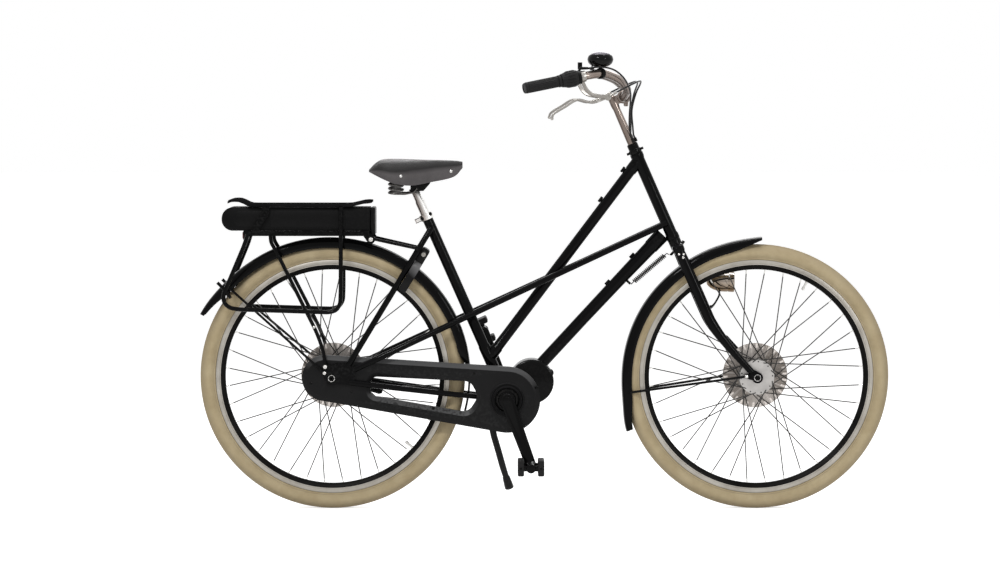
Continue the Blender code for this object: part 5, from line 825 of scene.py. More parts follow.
def down_tube_axis():
    """Lower end, direction and length of the down tube, which passes above the motor's centre to the head tube."""
    reach = steer(DOWN_TUBE_HEAD_S) - motor_centre()
    angle = atan2(reach.z, reach.x) - asin(DOWN_TUBE_RISE / reach.length)
    way = Vector((cos(angle), 0, sin(angle)))
    length = reach.dot(way) - DOWN_TUBE_FROM_MOTOR - DOWN_TUBE_SHORT
    low = motor_centre() + way * DOWN_TUBE_FROM_MOTOR + Vector((-way.z, 0, way.x)) * DOWN_TUBE_RISE
    return low, way, length


def down_tube_place(share):
    """Centre and half depth of the down tube at a share of its length; its lower side swells towards the head."""
    low, way, length = down_tube_axis()
    under = Vector((way.z, 0, -way.x))
    extra = interpolate(DOWN_TUBE_FLARE, share)
    return low + way * length * share + under * extra * 0.5, DOWN_TUBE_R + extra * 0.5


def down_tube():
    """Tube that swells towards the head, with two cable guides on top and the spring's lug below."""
    path = []
    scales = []
    for share in (0.0, 0.36, 0.65, 0.90, 0.91, 1.0):
        centre, half = down_tube_place(share)
        lug = LUG_RISE if share > 0.905 else 0.0
        path.append(centre)
        scales.append((1.0 + (half - DOWN_TUBE_R) * 0.4 / DOWN_TUBE_R + lug / DOWN_TUBE_R, (half + lug) / DOWN_TUBE_R))
    body = sweep(path, circle(DOWN_TUBE_R, 40, pi / 40), scales)
    low = path[0]
    high = path[-1]
    way = (high - low).normalized()
    above = Vector((-way.z, 0, way.x))
    guides = [cable_guide(low, high, share, down_tube_place(share)[1] - 0.001, above) for share in (0.60, 0.80)]
    perch = spring_tail()
    lug = rod(perch + above * 0.030, perch + above * (SPRING_WIRE_R + FIT * 2), 0.0034, 6)
    body = join(body, *guides, lug)
    return cut(body, head_cutter(), motor_cutter())


def seat_tube():
    top = seat(SEAT_TUBE_LENGTH)
    marks = [0.0, TOP_TUBE_SEAT_D - 0.040, TOP_TUBE_SEAT_D - 0.036, TOP_TUBE_SEAT_D + 0.036,
             TOP_TUBE_SEAT_D + 0.040, SEAT_TUBE_LENGTH]
    rise = SEAT_TUBE_R + LUG_RISE
    radii = [SEAT_TUBE_R, SEAT_TUBE_R, rise, rise, SEAT_TUBE_R, SEAT_TUBE_R]
    body = tube([seat(m) for m in marks], SEAT_TUBE_R, 14, radii)
    bore = rod(seat(SEAT_TUBE_LENGTH - SEAT_TUBE_BORE_DEPTH), top + SEAT_DIR * 0.01, SEAT_TUBE_BORE, 14)
    return cut(body, bore, motor_cutter())


def spread_path(low, high, side, spread):
    """Line between two places, moved out by the y of each (share, y) pair."""
    return [low + (high - low) * t + LEFT * side * y for t, y in spread]


def seat_stay_path(side):
    """From the rear dropout up past the mudguard to the side of the seat tube."""
    spread = [(0.0, STAY_OFFSET), (0.04, STAY_OFFSET), (0.14, STAY_OFFSET - 0.0015), (0.35, 0.0635), (0.60, 0.0500),
              (0.80, 0.0400), (1.0, SEAT_TUBE_R + STAY_R + FIT)]
    return spread_path(at_rear(SEAT_STAY_END), seat(STAY_TOP_D), side, spread)


def seat_stay(side):
    return cut(tube(smooth_path(seat_stay_path(side)), STAY_R, 9), seat_cutter())


def lateral_path(side):
    wide = STAY_OFFSET + 0.001
    spread = [(0.0, wide), (0.03, wide), (0.11, wide), (0.35, 0.0530), (0.67, 0.0255), (1.0, 0.0150)]
    return spread_path(at_rear(LATERAL_END), steer(LATERAL_HEAD_S), side, spread)


def lateral_tube(side):
    return cut(tube(smooth_path(lateral_path(side)), LATERAL_R, 9), head_cutter())


def chain_stay_path(side):
    low = at_rear(CHAIN_STAY_END)
    points = [(low.x, STAY_OFFSET, low.z), (-0.470, STAY_OFFSET + 0.0002, 0.3415), (-0.400, 0.0655, 0.3325),
              (-0.260, 0.0440, 0.3150), (-0.208, 0.0320, 0.3090), (-0.1415, 0.0285, 0.3020)]
    return mirrored(points, side)


def dropout(side):
    """Flat plate round the axle, with a square tab facing each stay and two eyes behind."""
    centre = Vector((REAR_AXLE.x, REAR_AXLE.z))

    def arc(offset, r, angles):
        return [centre + Vector(offset) + Vector((r * cos(radians(a)), r * sin(radians(a)))) for a in angles]

    tabs = []
    for end, path, r, reach in ((CHAIN_STAY_END, chain_stay_path(side), CHAIN_STAY_R, 0.012),
                                (LATERAL_END, lateral_path(side), LATERAL_R, -DROPOUT_GAP),
                                (SEAT_STAY_END, seat_stay_path(side), STAY_R, -DROPOUT_GAP)):
        way = Vector((path[1].x - path[0].x, path[1].z - path[0].z)).normalized()
        across = Vector((-way.y, way.x))
        tip = centre + Vector(end) + way * reach
        tabs += [tip - across * r, tip + across * r]
    behind = arc(RACK_EYE, EYE_R, (60, 150)) + arc(GUARD_EYE, EYE_R, (165, 215))
    below = arc((0, 0), DROPOUT_R, (205, 240, 275, 310))
    hole = [(REAR_AXLE.x + u, REAR_AXLE.z + v) for u, v in circle(AXLE_R + FIT, 10)]
    return prism([[tuple(p) for p in tabs + behind + below], hole], side * REAR_HALF, side * (REAR_HALF + DROPOUT_T))


def chain_stay(side):
    """Bent stay with its dropout; the left one carries the stand's bracket and pin."""
    parts = [tube(smooth_path(chain_stay_path(side)), CHAIN_STAY_R, 9), dropout(side)]
    if side > 0:
        pivot = Vector(STAND_PIVOT)
        lug = two_circles((pivot.x, pivot.z), 0.011, (pivot.x - 0.004, pivot.z + 0.046), 0.009, 5)
        y = pivot.y - STAND_R - FIT
        pin = rod(pivot - LEFT * (STAND_R + 0.003), pivot + LEFT * (STAND_R + 0.004), STAND_PIN_R)
        parts += [prism([lug], y - 0.0080, y), pin]
    return cut(join(*parts), motor_cutter())


def motor_housing():
    """Casing round the motor and the crank bearing, with a raised cover and a plug."""
    centre = motor_centre()
    body = prism([motor_outline(0.0)], -MOTOR_HALF, MOTOR_HALF, edge=0.006)
    cover = lathe([(MOTOR_HALF - 0.001, 0.0), (MOTOR_HALF - 0.001, 0.048), (MOTOR_HALF + 0.006, 0.044),
                   (MOTOR_HALF + 0.010, 0.030), (MOTOR_HALF + 0.010, 0.0)], centre, LEFT, 18)
    plug = cross_rod(centre + Vector((0.050, 0, 0.022)), 0.012, 0.010, 10)
    return cut(join(body, cover, plug), cross_rod(BB, 0.1, SPINDLE_BORE, 14))


def case_outline(inset):
    rear = (REAR_AXLE.x - CASE_REAR_SHIFT, REAR_AXLE.z)
    return two_circles(rear, CASE_REAR_R - inset, (BB.x, BB.z), CASE_FRONT_R - inset, 9)


def window_outline(grow):
    """The window's rounded corners, each moved outwards by grow."""
    middle_x = sum(x for x, z in CASE_WINDOW) / len(CASE_WINDOW)
    middle_z = sum(z for x, z in CASE_WINDOW) / len(CASE_WINDOW)
    corners = [(x + (grow if x > middle_x else -grow), z + (grow if z > middle_z else -grow)) for x, z in CASE_WINDOW]
    return rounded_polygon(corners, CASE_WINDOW_FILLETS, 2)


def chaincase():
    """Hollow case with a through window between the chain's runs and open ends round the two axles."""
    low = -CHAIN_LINE - CASE_HALF
    high = -CHAIN_LINE + CASE_HALF
    shell = prism([case_outline(0), window_outline(0)], low, high, edge=CASE_EDGE)
    cavity = prism([case_outline(CASE_WALL), window_outline(CASE_WALL)], low + CASE_WALL, high - CASE_WALL,
                   edge=CASE_EDGE * 0.8)
    through = CASE_WALL + 0.002
    bores = ((BB, low - 0.02, high + 0.02, CASE_CRANK_HOLE_R, 16),
             (REAR_AXLE, high - through, high + 0.02, CASE_HUB_HOLE_R, 16),
             (REAR_AXLE, low - 0.02, low + through, CASE_AXLE_HOLE_R, 12))
    holes = [rod((place.x, y0, place.z), (place.x, y1, place.z), r, sides) for place, y0, y1, r, sides in bores]
    return cut(shell, cavity, *holes)


def case_screws():
    """Screws of the chaincase's cover."""
    return merged([screw(Vector((x, -CHAIN_LINE - CASE_HALF, z)), -LEFT, 0.0040, 0.0016) for x, z in (
        (-0.560, 0.3985), (-0.630, 0.345), (-0.520, 0.322), (-0.190, 0.372), (-0.020, 0.335), (-0.060, 0.235),
        (-0.300, 0.2785))])


def crank_rings():
    """Dished ring round the crank in the chaincase's side, and the dust cap inside it."""
    centre = Vector((BB.x, -CHAIN_LINE - CASE_HALF, BB.z))
    ring = lathe([(0.0, 0.0335), (0.0, 0.0470), (0.0022, 0.0462), (0.0034, 0.0445), (0.0034, 0.0425), (0.0014, 0.0405),
                  (0.0014, 0.0375), (0.0030, 0.0358), (0.0030, 0.0342), (0.0012, 0.0330), (-0.0040, 0.0330),
                  (-0.0040, 0.0335)], centre, -LEFT, 32)
    cap = lathe([(-0.0090, 0.0305), (-0.0090, 0.0228), (-0.0010, 0.0228), (0.0010, 0.0240), (0.0010, 0.0285),
                 (-0.0006, 0.0305)], centre, -LEFT, 32)
    return ring, cap


# Rack and battery
def hoop_path(side):
    """Pannier hoop: down behind, forward along the bottom and up to the deck."""
    points = [(-0.7990, RAIL_BOTTOM + 0.004), (-0.8080, 0.7180), (-0.8500, 0.6180), (-0.8640, 0.5860),
              (-0.8630, 0.5640), (-0.8480, 0.5500), (-0.8200, 0.5455), (-0.5800, 0.5378), (-0.5610, 0.5430),
              (-0.5500, 0.5600), (-0.5485, 0.6000), (-0.5485, DECK_BOTTOM - FIT)]
    top = RAIL_Y + RAIL_HALF + 0.0015
    return mirrored([(x, top + (HOOP_Y - top) * held((RAIL_BOTTOM - z) / 0.07), z) for x, z in points], side)


def leg_path(side):
    """Leg of the rack, from its rail down to the eye of the dropout."""
    eye = at_rear(RACK_EYE)
    outer = REAR_HALF + DROPOUT_T + LEG_TUBE_R + FIT
    top = RAIL_Y + RAIL_HALF
    return mirrored([(-0.7380, top, RAIL_BOTTOM + 0.004), (-0.7370, top, 0.7260), (-0.7229, top + 0.002, 0.7024),
                     (-0.6893, top + 0.004, 0.6352), (-0.6449, outer, 0.5465), (-0.6150, outer, 0.4870),
                     (-0.5985, outer, 0.4420), (eye.x, outer, eye.z + 0.012), (eye.x, outer, eye.z)], side)


def stay_point(side, t):
    """Point of a seat stay at a share of its height."""
    path = smooth_path(seat_stay_path(side))
    low, high = path[0], path[-1]
    return min(path, key=lambda p: abs((p.z - low.z) / (high.z - low.z) - t))


def rack_frame():
    """Rails under the battery, pannier hoops, legs to the dropouts and links to the seat stays."""
    parts = [solid_box((RAIL_REAR, y - RAIL_HALF, RAIL_BOTTOM), (RAIL_FRONT, y + RAIL_HALF, RAIL_TOP))
             for y in (-RAIL_Y, RAIL_Y)]
    reach = PLATE_INSET + PLATE_HALF
    parts += [solid_box((x - PLATE_HALF, -RAIL_Y, RAIL_BOTTOM + 0.002), (x + PLATE_HALF, RAIL_Y, RAIL_TOP))
              for x in (RAIL_REAR + reach, (RAIL_REAR + RAIL_FRONT) / 2, RAIL_FRONT - reach)]
    eye = (RAIL_FRONT + 0.004, RAIL_BOTTOM - 0.009)
    lobe = two_circles((RAIL_FRONT - 0.012, RAIL_BOTTOM + 0.006), 0.0070, eye, 0.0115, 6)
    hole = [(eye[0] + u, eye[1] + v) for u, v in circle(0.0040, 8)]
    wide = RAIL_Y + RAIL_HALF
    for side in (-1, 1):
        leg = leg_path(side)
        y = side * (wide - 0.0015)
        strap = [(-0.7790, y, RAIL_TOP - 0.006), (-0.7760, y, RAIL_TOP + 0.008), (-0.7510, y, DECK_BOTTOM - 0.014),
                 (-0.7510, y, DECK_BOTTOM - FIT)]
        y = side * (wide - 0.0005)
        start = Vector((RAIL_FRONT + 0.0125, side * (wide - 0.0025), RAIL_BOTTOM - 0.0085))
        end = stay_point(side, 0.858) + LEFT * side * (STAY_R + LINK_R + 0.0012) - Vector((0.002, 0, 0))
        parts += [sweep(rounded_path(hoop_path(side)), circle(RACK_TUBE_R, 16)),
                  sweep(rounded_path(leg), circle(LEG_TUBE_R, 16)), cross_rod(leg[-1], LEG_TUBE_R, 0.0075, 8),
                  sweep(strap, box_section(0.0040, 0.0100)), prism([lobe, hole], y, y - side * 0.004),
                  rod(start - (end - start).normalized() * 0.006, end, LINK_R, 6), cross_rod(end, 0.0028, 0.0075, 8)]
    return join(*parts)


def deck():
    """Top plate with turned-up ends and long slots."""
    lifts = [(0.0, DECK_LIFT - 0.0015), (0.003, DECK_LIFT + 0.0015), (0.010, DECK_LIFT + 0.0036),
             (0.020, DECK_LIFT + 0.0042), (0.030, DECK_LIFT + 0.0036), (0.042, DECK_LIFT - 0.0008),
             (0.053, DECK_LIFT - 0.0065), (0.062, 0.0004), (0.074, 0.0)]
    front = [(0.066, 0.0), (0.055, 0.0006), (0.040, 0.0040), (0.022, DECK_LIFT - 0.0012), (0.010, DECK_LIFT - 0.0002),
             (0.0, DECK_LIFT)]
    stations = [(DECK_REAR + x, lift) for x, lift in lifts] + [(DECK_FRONT - x, lift) for x, lift in front]
    rings = []
    for i, (x, lift) in enumerate(stations):
        slim = 0.0010 if i in (0, len(stations) - 1) else 0.0
        section = rounded_section(DECK_HALF - slim, DECK_T / 2 - slim, 0.0028, 1)
        rings.append([Vector((x, u, DECK_BOTTOM + lift + DECK_T / 2 + v)) for u, v in section])
    slots = []
    width = 2 * DECK_HALF / (2 * DECK_SLOTS + 1)
    rear, fore = DECK_REAR + 0.085, DECK_FRONT - 0.075
    for k in range(DECK_SLOTS):
        low = -DECK_HALF + width * (2 * k + 1)
        high = low + width
        outline = rounded_polygon([(rear, low), (fore, low), (fore, high), (rear, high)], [0.006] * 4, 2)
        slot = moved(prism([outline], DECK_BOTTOM - 0.02, DECK_BOTTOM + 0.03), SWAP_YZ)
        bmesh.ops.recalc_face_normals(slot, faces=slot.faces)
        slots.append(slot)
    return cut(loft(rings), *slots)


def battery_case():
    """Block with two large round corners at its tail."""
    r = BATTERY_NOSE_R
    high = BATTERY_BOTTOM + BATTERY_HEIGHT
    outline = [(BATTERY_FRONT, BATTERY_BOTTOM), (BATTERY_FRONT, high)]
    for first, z in ((90, high - r), (180, BATTERY_BOTTOM + r)):
        for k in range(19):
            a = radians(first + 5 * k)
            outline.append((BATTERY_REAR + r + r * cos(a), z + r * sin(a)))
    return prism([outline], -BATTERY_HALF, BATTERY_HALF)


def battery_panels():
    """Raised panels on both sides of the battery, before and behind the slanted joint of its tail cap."""
    parts = []
    for side in (-1, 1):
        y = side * (BATTERY_HALF - 0.0006)
        for rise, fillets, corners in (
                (0.0016, [0.004] * 4, ((-0.7420, 0.0085), (-0.5400, 0.0085), (-0.5400, 0.0550), (-0.7270, 0.0550))),
                (0.0014, [0.018, 0.004, 0.004, 0.018],
                 ((-0.8380, 0.0110), (-0.7640, 0.0110), (-0.7520, 0.0525), (-0.8380, 0.0525)))):
            outline = rounded_polygon([(x, BATTERY_BOTTOM + z) for x, z in corners], fillets, 2)
            parts.append(prism([outline], y, y + side * rise))
    return merged(parts)


def rack_hooks():
    """A small hook at the rear end of each pannier hoop."""
    points = [(-0.8440, HOOP_Y, 0.5760), (-0.8660, HOOP_Y, 0.6040), (-0.8800, HOOP_Y, 0.6180)]
    return merged([tube(rounded_path(mirrored(points, side)), 0.0044, 6) for side in (-1, 1)])


# Fork and steering
def blade_point(s, side):
    """Centre of a fork blade at height s: straight above, then raked forward to the axle."""
    share = (CROWN_S - s) / CROWN_S
    y = BLADE_OFFSET + (FORK_HALF + FORK_END_T / 2 - BLADE_OFFSET) * share
    bend = max(0.0, 1 - s / BLADE_BEND_S) ** BLADE_BEND_POWER
    return steer(s, FORK_RAKE * bend, side * y)


def fork_blades():
    """Two oval blades, straight above and raked to the axle, flatter where they are deep."""
    parts = []
    for side in (-1, 1):
        top = CROWN_S - 0.004
        marks = [top - (top - BLADE_TIP_S) * k / 40 for k in range(41)]
        depths = [smooth_table(BLADE_HALF_DEPTHS, s) for s in marks]
        scales = [(d * (0.92 - (0.92 - BLADE_FLATNESS) * held((d - 0.0085) / 0.004)), d) for d in depths]
        parts.append(sweep([blade_point(s, side) for s in marks], circle(1.0, 40), scales))
    return merged(parts)


def fork_crown():
    section = rounded_section(CROWN_HALF_DEPTH, CROWN_HALF_WIDTH, 0.012, 3)
    levels = [(-CROWN_HALF_HEIGHT, 0.86), (-CROWN_HALF_HEIGHT + 0.0015, 0.92), (-0.006, 0.985), (0.0, 1.0),
              (0.004, 0.985), (0.008, 0.90), (CROWN_HALF_HEIGHT, 0.72)]
    return loft([[steer(CROWN_S + rise, u * grow, v * grow) for u, v in section] for rise, grow in levels])


def fork_end(side):
    """End of a blade round the axle, with the eye for the mudguard's stay."""
    tip = blade_point(BLADE_TIP_S, side)
    centre = (FRONT_AXLE.x, FRONT_AXLE.z)
    eye = (centre[0] + FORK_EYE[0], centre[1] + FORK_EYE[1])
    low, high = sorted((side * FORK_HALF, side * (FORK_HALF + FORK_END_T)))
    plates = [prism([two_circles(centre, 0.0150, (tip.x, tip.z), BLADE_HALF_DEPTHS[0][1], 6)], low, high),
              prism([two_circles(eye, 0.0060, centre, 0.010, 5)], low, high)]
    hole = rod(FRONT_AXLE + LEFT * (low - 0.02), FRONT_AXLE + LEFT * (high + 0.02), AXLE_R + FIT, 10)
    return cut(join(*plates), hole)


def fork_races():
    """Races, locknut, knobs and the tab for the steering spring."""
    race_r = CUP_R - 0.001
    nut_r = LOCKNUT_R + 0.0022
    race = lathe([(CROWN_S, 0.0), (CROWN_S, race_r), (HEAD_TUBE_BOTTOM_S - FIT, race_r),
                  (HEAD_TUBE_BOTTOM_S - FIT, STEERER_R), (HEAD_TUBE_TOP_S + FIT, STEERER_R),
                  (HEAD_TUBE_TOP_S + FIT, nut_r), (KNOB_S + 0.005, nut_r), (KNOB_S + 0.006, LOCKNUT_R),
                  (STEERER_TOP_S - 0.002, LOCKNUT_R), (STEERER_TOP_S, LOCKNUT_R - 0.002), (STEERER_TOP_S, 0.0)],
                 STEER_FOOT, STEER_UP, 12)
    bore = rod(steer(STEERER_TOP_S - STEERER_BORE_DEPTH), steer(STEERER_TOP_S + 0.01), STEERER_BORE)
    knobs = [rod(steer(KNOB_S, 0.013 * way), steer(KNOB_S, KNOB_REACH * way), 0.0035, 6) for way in (-1, 1)]
    knobs.append(rod(steer(CROWN_S + 0.001, 0.010), steer(CROWN_S + 0.010, 0.0235), 0.0042, 8))
    anchor = steer(CROWN_S + SPRING_HOOK[0], SPRING_HOOK[1]) + Vector((0.0042 + SPRING_WIRE_R + FIT, 0, 0.0))
    way = (anchor - steer(CROWN_S)).normalized()
    tab = moved(solid_box((-0.004, -0.0035, -0.002), (0.004, 0.0035, 0.002)), Matrix.Translation(anchor))
    return merged([cut(race, bore), *knobs, tab, rod(steer(CROWN_S), anchor + way * 0.001, 0.0035, 6)])


def under_down_tube(place):
    """Point at a share of the down tube's length and a distance below its axis."""
    low, way, length = down_tube_axis()
    return low + way * length * place[0] + Vector((way.z, 0, -way.x)) * place[1]


def spring_tail():
    """Lower end of the steering spring, held by the down tube's lug."""
    foot = under_down_tube(SPRING_FOOT)
    return foot - (under_down_tube(SPRING_HEAD) - foot).normalized() * SPRING_TAIL


def steering_spring():
    """Coil hooked to the down tube, with a straight rod that hooks to the crown."""
    foot = under_down_tube(SPRING_FOOT)
    head = foot + (under_down_tube(SPRING_HEAD) - foot) * SPRING_REACH
    way = (head - foot).normalized()
    u = LEFT.copy()
    v = way.cross(u)
    path = [spring_tail(), foot - way * 0.004 + u * SPRING_R * 0.3]
    steps = SPRING_TURNS * COIL_STEPS
    for k in range(steps + 1):
        a = 2 * pi * k / COIL_STEPS
        path.append(foot + (head - foot) * (k / steps) + (u * cos(a) + v * sin(a)) * SPRING_R * SPRING_SLIM)
    path += [head + way * 0.003 + u * SPRING_R * 0.4, head + way * 0.008,
             steer(CROWN_S + SPRING_HOOK[0], SPRING_HOOK[1])]
    return sweep(path, circle(SPRING_WIRE_R, 12), hint=(0, 0, 1))


def stem():
    """Quill, neck, the clamp round the bar and the ear of its bolt."""
    quill = lathe([(QUILL_BOTTOM_S, 0.0), (QUILL_BOTTOM_S, QUILL_R), (STEERER_TOP_S + 0.012, QUILL_R),
                   (CLAMP_S - 0.024, QUILL_NECK_R), (CLAMP_S - 0.012, QUILL_R), (QUILL_TOP_S - 0.002, QUILL_R),
                   (QUILL_TOP_S, 0.009), (QUILL_TOP_S, 0.0)], STEER_FOOT, STEER_UP, 12)
    centre = steer(CLAMP_S, CLAMP_REACH)
    clamp = lathe([(-CLAMP_HALF, 0.0), (-CLAMP_HALF, CLAMP_R - 0.002), (-CLAMP_HALF + 0.003, CLAMP_R),
                   (CLAMP_HALF - 0.003, CLAMP_R), (CLAMP_HALF, CLAMP_R - 0.002), (CLAMP_HALF, 0.0)], centre, LEFT, 14)
    root = steer(CLAMP_S, 0.002)
    neck = prism([two_circles((root.x, root.z), 0.0100, (centre.x, centre.z), 0.0150, 4)], -0.0100, 0.0100)
    ear = moved(solid_box((-0.006, -0.012, -0.008), (0.006, 0.012, 0.008), edge=0.002),
                Matrix.Translation(centre - STEER_UP * 0.0185 - STEER_FWD * 0.002))
    return cut(join(quill, clamp, neck, ear), cross_rod(centre, 0.05, clear(BAR_BULGE_R, 14), 14))


def bar_half(side):
    """Centre line of one half of the handlebar, from the clamp to the tip."""
    centre = steer(CLAMP_S, CLAMP_REACH)
    start = Vector((centre.x, CLAMP_HALF + 0.006, centre.z))
    return mirrored([*smooth_path([start, *BAR_BENDS, BAR_STRAIGHT_START]), BAR_END], side)


def handlebar():
    right = bar_half(-1)
    left = bar_half(1)
    centre = steer(CLAMP_S, CLAMP_REACH)
    inner = CLAMP_HALF + 0.0005
    path = list(reversed(right)) + [centre - LEFT * inner, centre + LEFT * inner] + left
    radii = [BAR_R] * len(right) + [BAR_BULGE_R] * 2 + [BAR_R] * len(left)
    return tube(path, BAR_R, 10, radii)


def along_bar(side, distance):
    """Point on the straight end of the bar, measured from its tip."""
    tip, root = mirrored([BAR_END, BAR_STRAIGHT_START], side)
    return tip + (root - tip).normalized() * distance


def bar_way(side):
    return (along_bar(side, 1.0) - along_bar(side, 0.0)).normalized()


def brake_perch(side):
    """Clamp band, curved arm, pivot boss with its pin, and the cable adjuster."""
    out = LEFT * side
    end = BAND_START + BAND_LENGTH
    band = lathe([(BAND_START, BAR_R + FIT), (BAND_START, BAND_R), (end, BAND_R), (end, BAR_R + FIT)],
                 along_bar(side, 0.0), bar_way(side), 14)
    drop = along_bar(side, BAND_START + BAND_LENGTH / 2) + Vector((0.0, 0.0, -BAND_R + 0.0015))
    arm = sweep(smooth_path([drop, *mirrored(PERCH_POINTS, side)]), rounded_section(0.0031, 0.0050, 0.0022, 4))
    pivot, tip = mirrored([LEVER_PIVOT, ADJUSTER_TIP], side)
    inner = pivot + out * (LEVER_HALF + FIT)
    boss = rod(inner, inner + out * PIVOT_BOSS_HALF * 2, PIVOT_BOSS_R)
    pin = rod(pivot - out * (LEVER_HALF + 0.002), inner + out * 0.002, PIVOT_PIN_R, 8)
    socket = inner + out * (PIVOT_BOSS_HALF + 0.0014) + Vector((0.004, 0, 0.003))
    return join(band, arm, boss, pin, rod(socket, tip, 0.0036, 8))


def brake_lever(side):
    """Curved blade with a bulb at its tip, cut flat beside its perch."""
    pivot = mirrored([LEVER_PIVOT], side)[0]
    path = smooth_path(mirrored(LEVER_POINTS, side))
    last = len(LEVER_POINTS) - 1
    root = LEVER_HALF / 0.0048
    wide = [(0.0, root), (0.5, root), (1.0, 0.86), (1.5, 1.0), (last - 1.5, 1.0), (last - 0.6, 0.88), (last, 0.88)]
    scales = [(interpolate(wide, i / CURVE_STEPS), 1.0 if i / CURVE_STEPS < last - 1.2 else 0.86)
              for i in range(len(path))]
    blade = sweep(path, rounded_section(0.0048, 0.0034, 0.0026, 4), scales)
    near, far = sorted((pivot.y + side * LEVER_HALF, pivot.y + side * 0.03))
    trim = solid_box((pivot.x - 0.02, near, pivot.z - 0.02), (pivot.x + 0.03, far, pivot.z + 0.02))
    hub = cross_rod(pivot, LEVER_HALF, 0.0078)
    bulb = cross_rod(path[-1], 0.004, 0.0042, 8)
    return cut(join(blade, hub, bulb), trim, cross_rod(pivot, 0.02, PIVOT_PIN_R + FIT, 8))


def round_bar(side, marks, count, dip, looped=False):
    """Rings about the straight end of the bar, from (distance, radius) marks; dip(i, k) sinks single points."""
    axis = bar_way(side)
    origin = along_bar(side, 0.0)
    u = Vector((0, 0, 1))
    u = (u - axis * u.dot(axis)).normalized()
    v = axis.cross(u)
    turns = [2 * pi * k / count for k in range(count)]
    rings = [[origin + axis * s + (u * cos(a) + v * sin(a)) * max(r - dip(i, k), 0.0004) for k, a in enumerate(turns)]
             for i, (s, r) in enumerate(marks)]
    return loft(rings, looped=looped)


def grip(side, length):
    """Rubber grip: closed end, fine rings at both ends and moulded flutes between."""
    marks = [(-0.0040, 0.0), (-0.0040, GRIP_R - 0.0045), (-0.0034, GRIP_R - 0.0022), (-0.0020, GRIP_R - 0.0006),
             (0.0005, GRIP_R + 0.0002), (0.0030, GRIP_R + 0.0002), (0.0036, GRIP_R - 0.0008), (0.0048, GRIP_R - 0.0008),
             (0.0054, GRIP_R)]
    first = len(marks) + 1
    marks += [(0.0060 + (length - 0.0160) * k / 24, GRIP_R + 0.0001) for k in range(25)]
    last = len(marks) - 2
    marks += [(length - 0.0092, GRIP_R - 0.0008), (length - 0.0080, GRIP_R - 0.0008),
              (length - 0.0072, GRIP_R + 0.0013), (length - 0.0006, GRIP_R + 0.0013), (length, GRIP_R + 0.0005),
              (length, BAR_R + FIT)]
    return round_bar(side, marks, 72, lambda i, k: 0.0006 if first <= i <= last and k % 3 == 0 else 0.0)


def shifter_twist():
    """Turning barrel with finger ribs round its thick end."""
    start = GRIP_LENGTH + RUNNING_GAP
    bore = BAR_R + 0.0008
    marks = [(0.0, bore), (0.0, GRIP_R + 0.0022), (0.0010, GRIP_R + 0.0030), (0.0060, GRIP_R + 0.0038),
             (0.0120, TWIST_R - 0.0022), (0.0150, TWIST_R - 0.0008), (0.0180, TWIST_R - 0.0002), (0.0340, TWIST_R),
             (0.0370, TWIST_R - 0.0002), (0.0395, TWIST_R - 0.0012), (0.0405, TWIST_R - 0.0022),
             (TWIST_LENGTH, TWIST_R - 0.0028), (TWIST_LENGTH, bore)]
    return round_bar(-1, [(start + s, r) for s, r in marks], 96,
                     lambda i, k: 0.0014 if 0.011 < marks[i][0] < 0.038 and k % 6 < 2 else 0.0, looped=True)


def bar_at_bell():
    """Nearest point of the bar under the bell, with the bar's direction there."""
    path = bar_half(-1)
    best = min(range(1, len(path) - 1), key=lambda i: abs(path[i].y - BELL_CENTRE[1]))
    return path[best], (path[best + 1] - path[best - 1]).normalized()


def bell_dome():
    """Flattened dome with a seam where it is widest."""
    profile = [(-BELL_HALF_HEIGHT, 0.0)]
    for angle in range(-78, 90, 6):
        a = radians(angle)
        profile.append((BELL_HALF_HEIGHT * sin(a), BELL_R * cos(a) ** 0.75))
    profile.append((BELL_HALF_HEIGHT, 0.0))
    seam = [(-0.0016, BELL_R - 0.001), (-0.0016, BELL_R + 0.0003), (0.0016, BELL_R + 0.0003), (0.0016, BELL_R - 0.001)]
    return merged([lathe(outline, BELL_CENTRE, (0, 0, 1), 24, start=(1, 0, 0)) for outline in (profile, seam)])


def bell_mount():
    """Band round the bar, post, base plate and the thumb lever's pin."""
    centre = Vector(BELL_CENTRE)
    point, way = bar_at_bell()
    band = sweep([point - way * 0.006, point + way * 0.006], circle(BAR_R + 0.0034, 36))
    post = rod(point, centre - Vector((0, 0, BELL_HALF_HEIGHT - 0.003)), 0.0045, 8)
    top = -BELL_ARM_T / 2 - FIT
    pin_x = centre.x - BELL_PIVOT_BACK
    plate = moved(prism([two_circles((centre.x, 0.0), 0.0100, (pin_x, 0.0), 0.0060, 5)], top - 0.0024, top),
                  Matrix(((1, 0, 0, 0), (0, 0, -1, centre.y), (0, 1, 0, BELL_ARM_Z), (0, 0, 0, 1))))
    pin = rod((pin_x, centre.y, BELL_ARM_Z + top - 0.001), (pin_x, centre.y, centre.z - BELL_HALF_HEIGHT * 0.7),
              BELL_PIN_R, 8)
    return merged([band, post, plate, pin])


def lamp_shell():
    """Polished bullet shell with a rolled bezel and a hollow reflector."""
    profile = [(0.0, 0.0), (0.0, 0.0055), (0.0008, 0.0085), (0.0040, 0.0128), (0.0100, 0.0182), (0.0180, 0.0226),
               (0.0280, 0.0262), (0.0400, 0.0284), (0.0540, 0.0291), (0.0560, 0.0284), (0.0580, 0.0284),
               (0.0596, 0.0292), (0.0680, 0.0298), (0.0720, LAMP_R), (LAMP_LENGTH - 0.0008, LAMP_R - 0.0004),
               (LAMP_LENGTH, LAMP_R - 0.0014), (LAMP_LENGTH - 0.0010, LAMP_R - 0.0030),
               (LAMP_LENGTH - 0.0060, LAMP_R - 0.0036), (LAMP_LENGTH - 0.0300, 0.0120), (LAMP_LENGTH - 0.0380, 0.0)]
    return lathe(profile, LAMP_REAR, (1, 0, 0), 24)


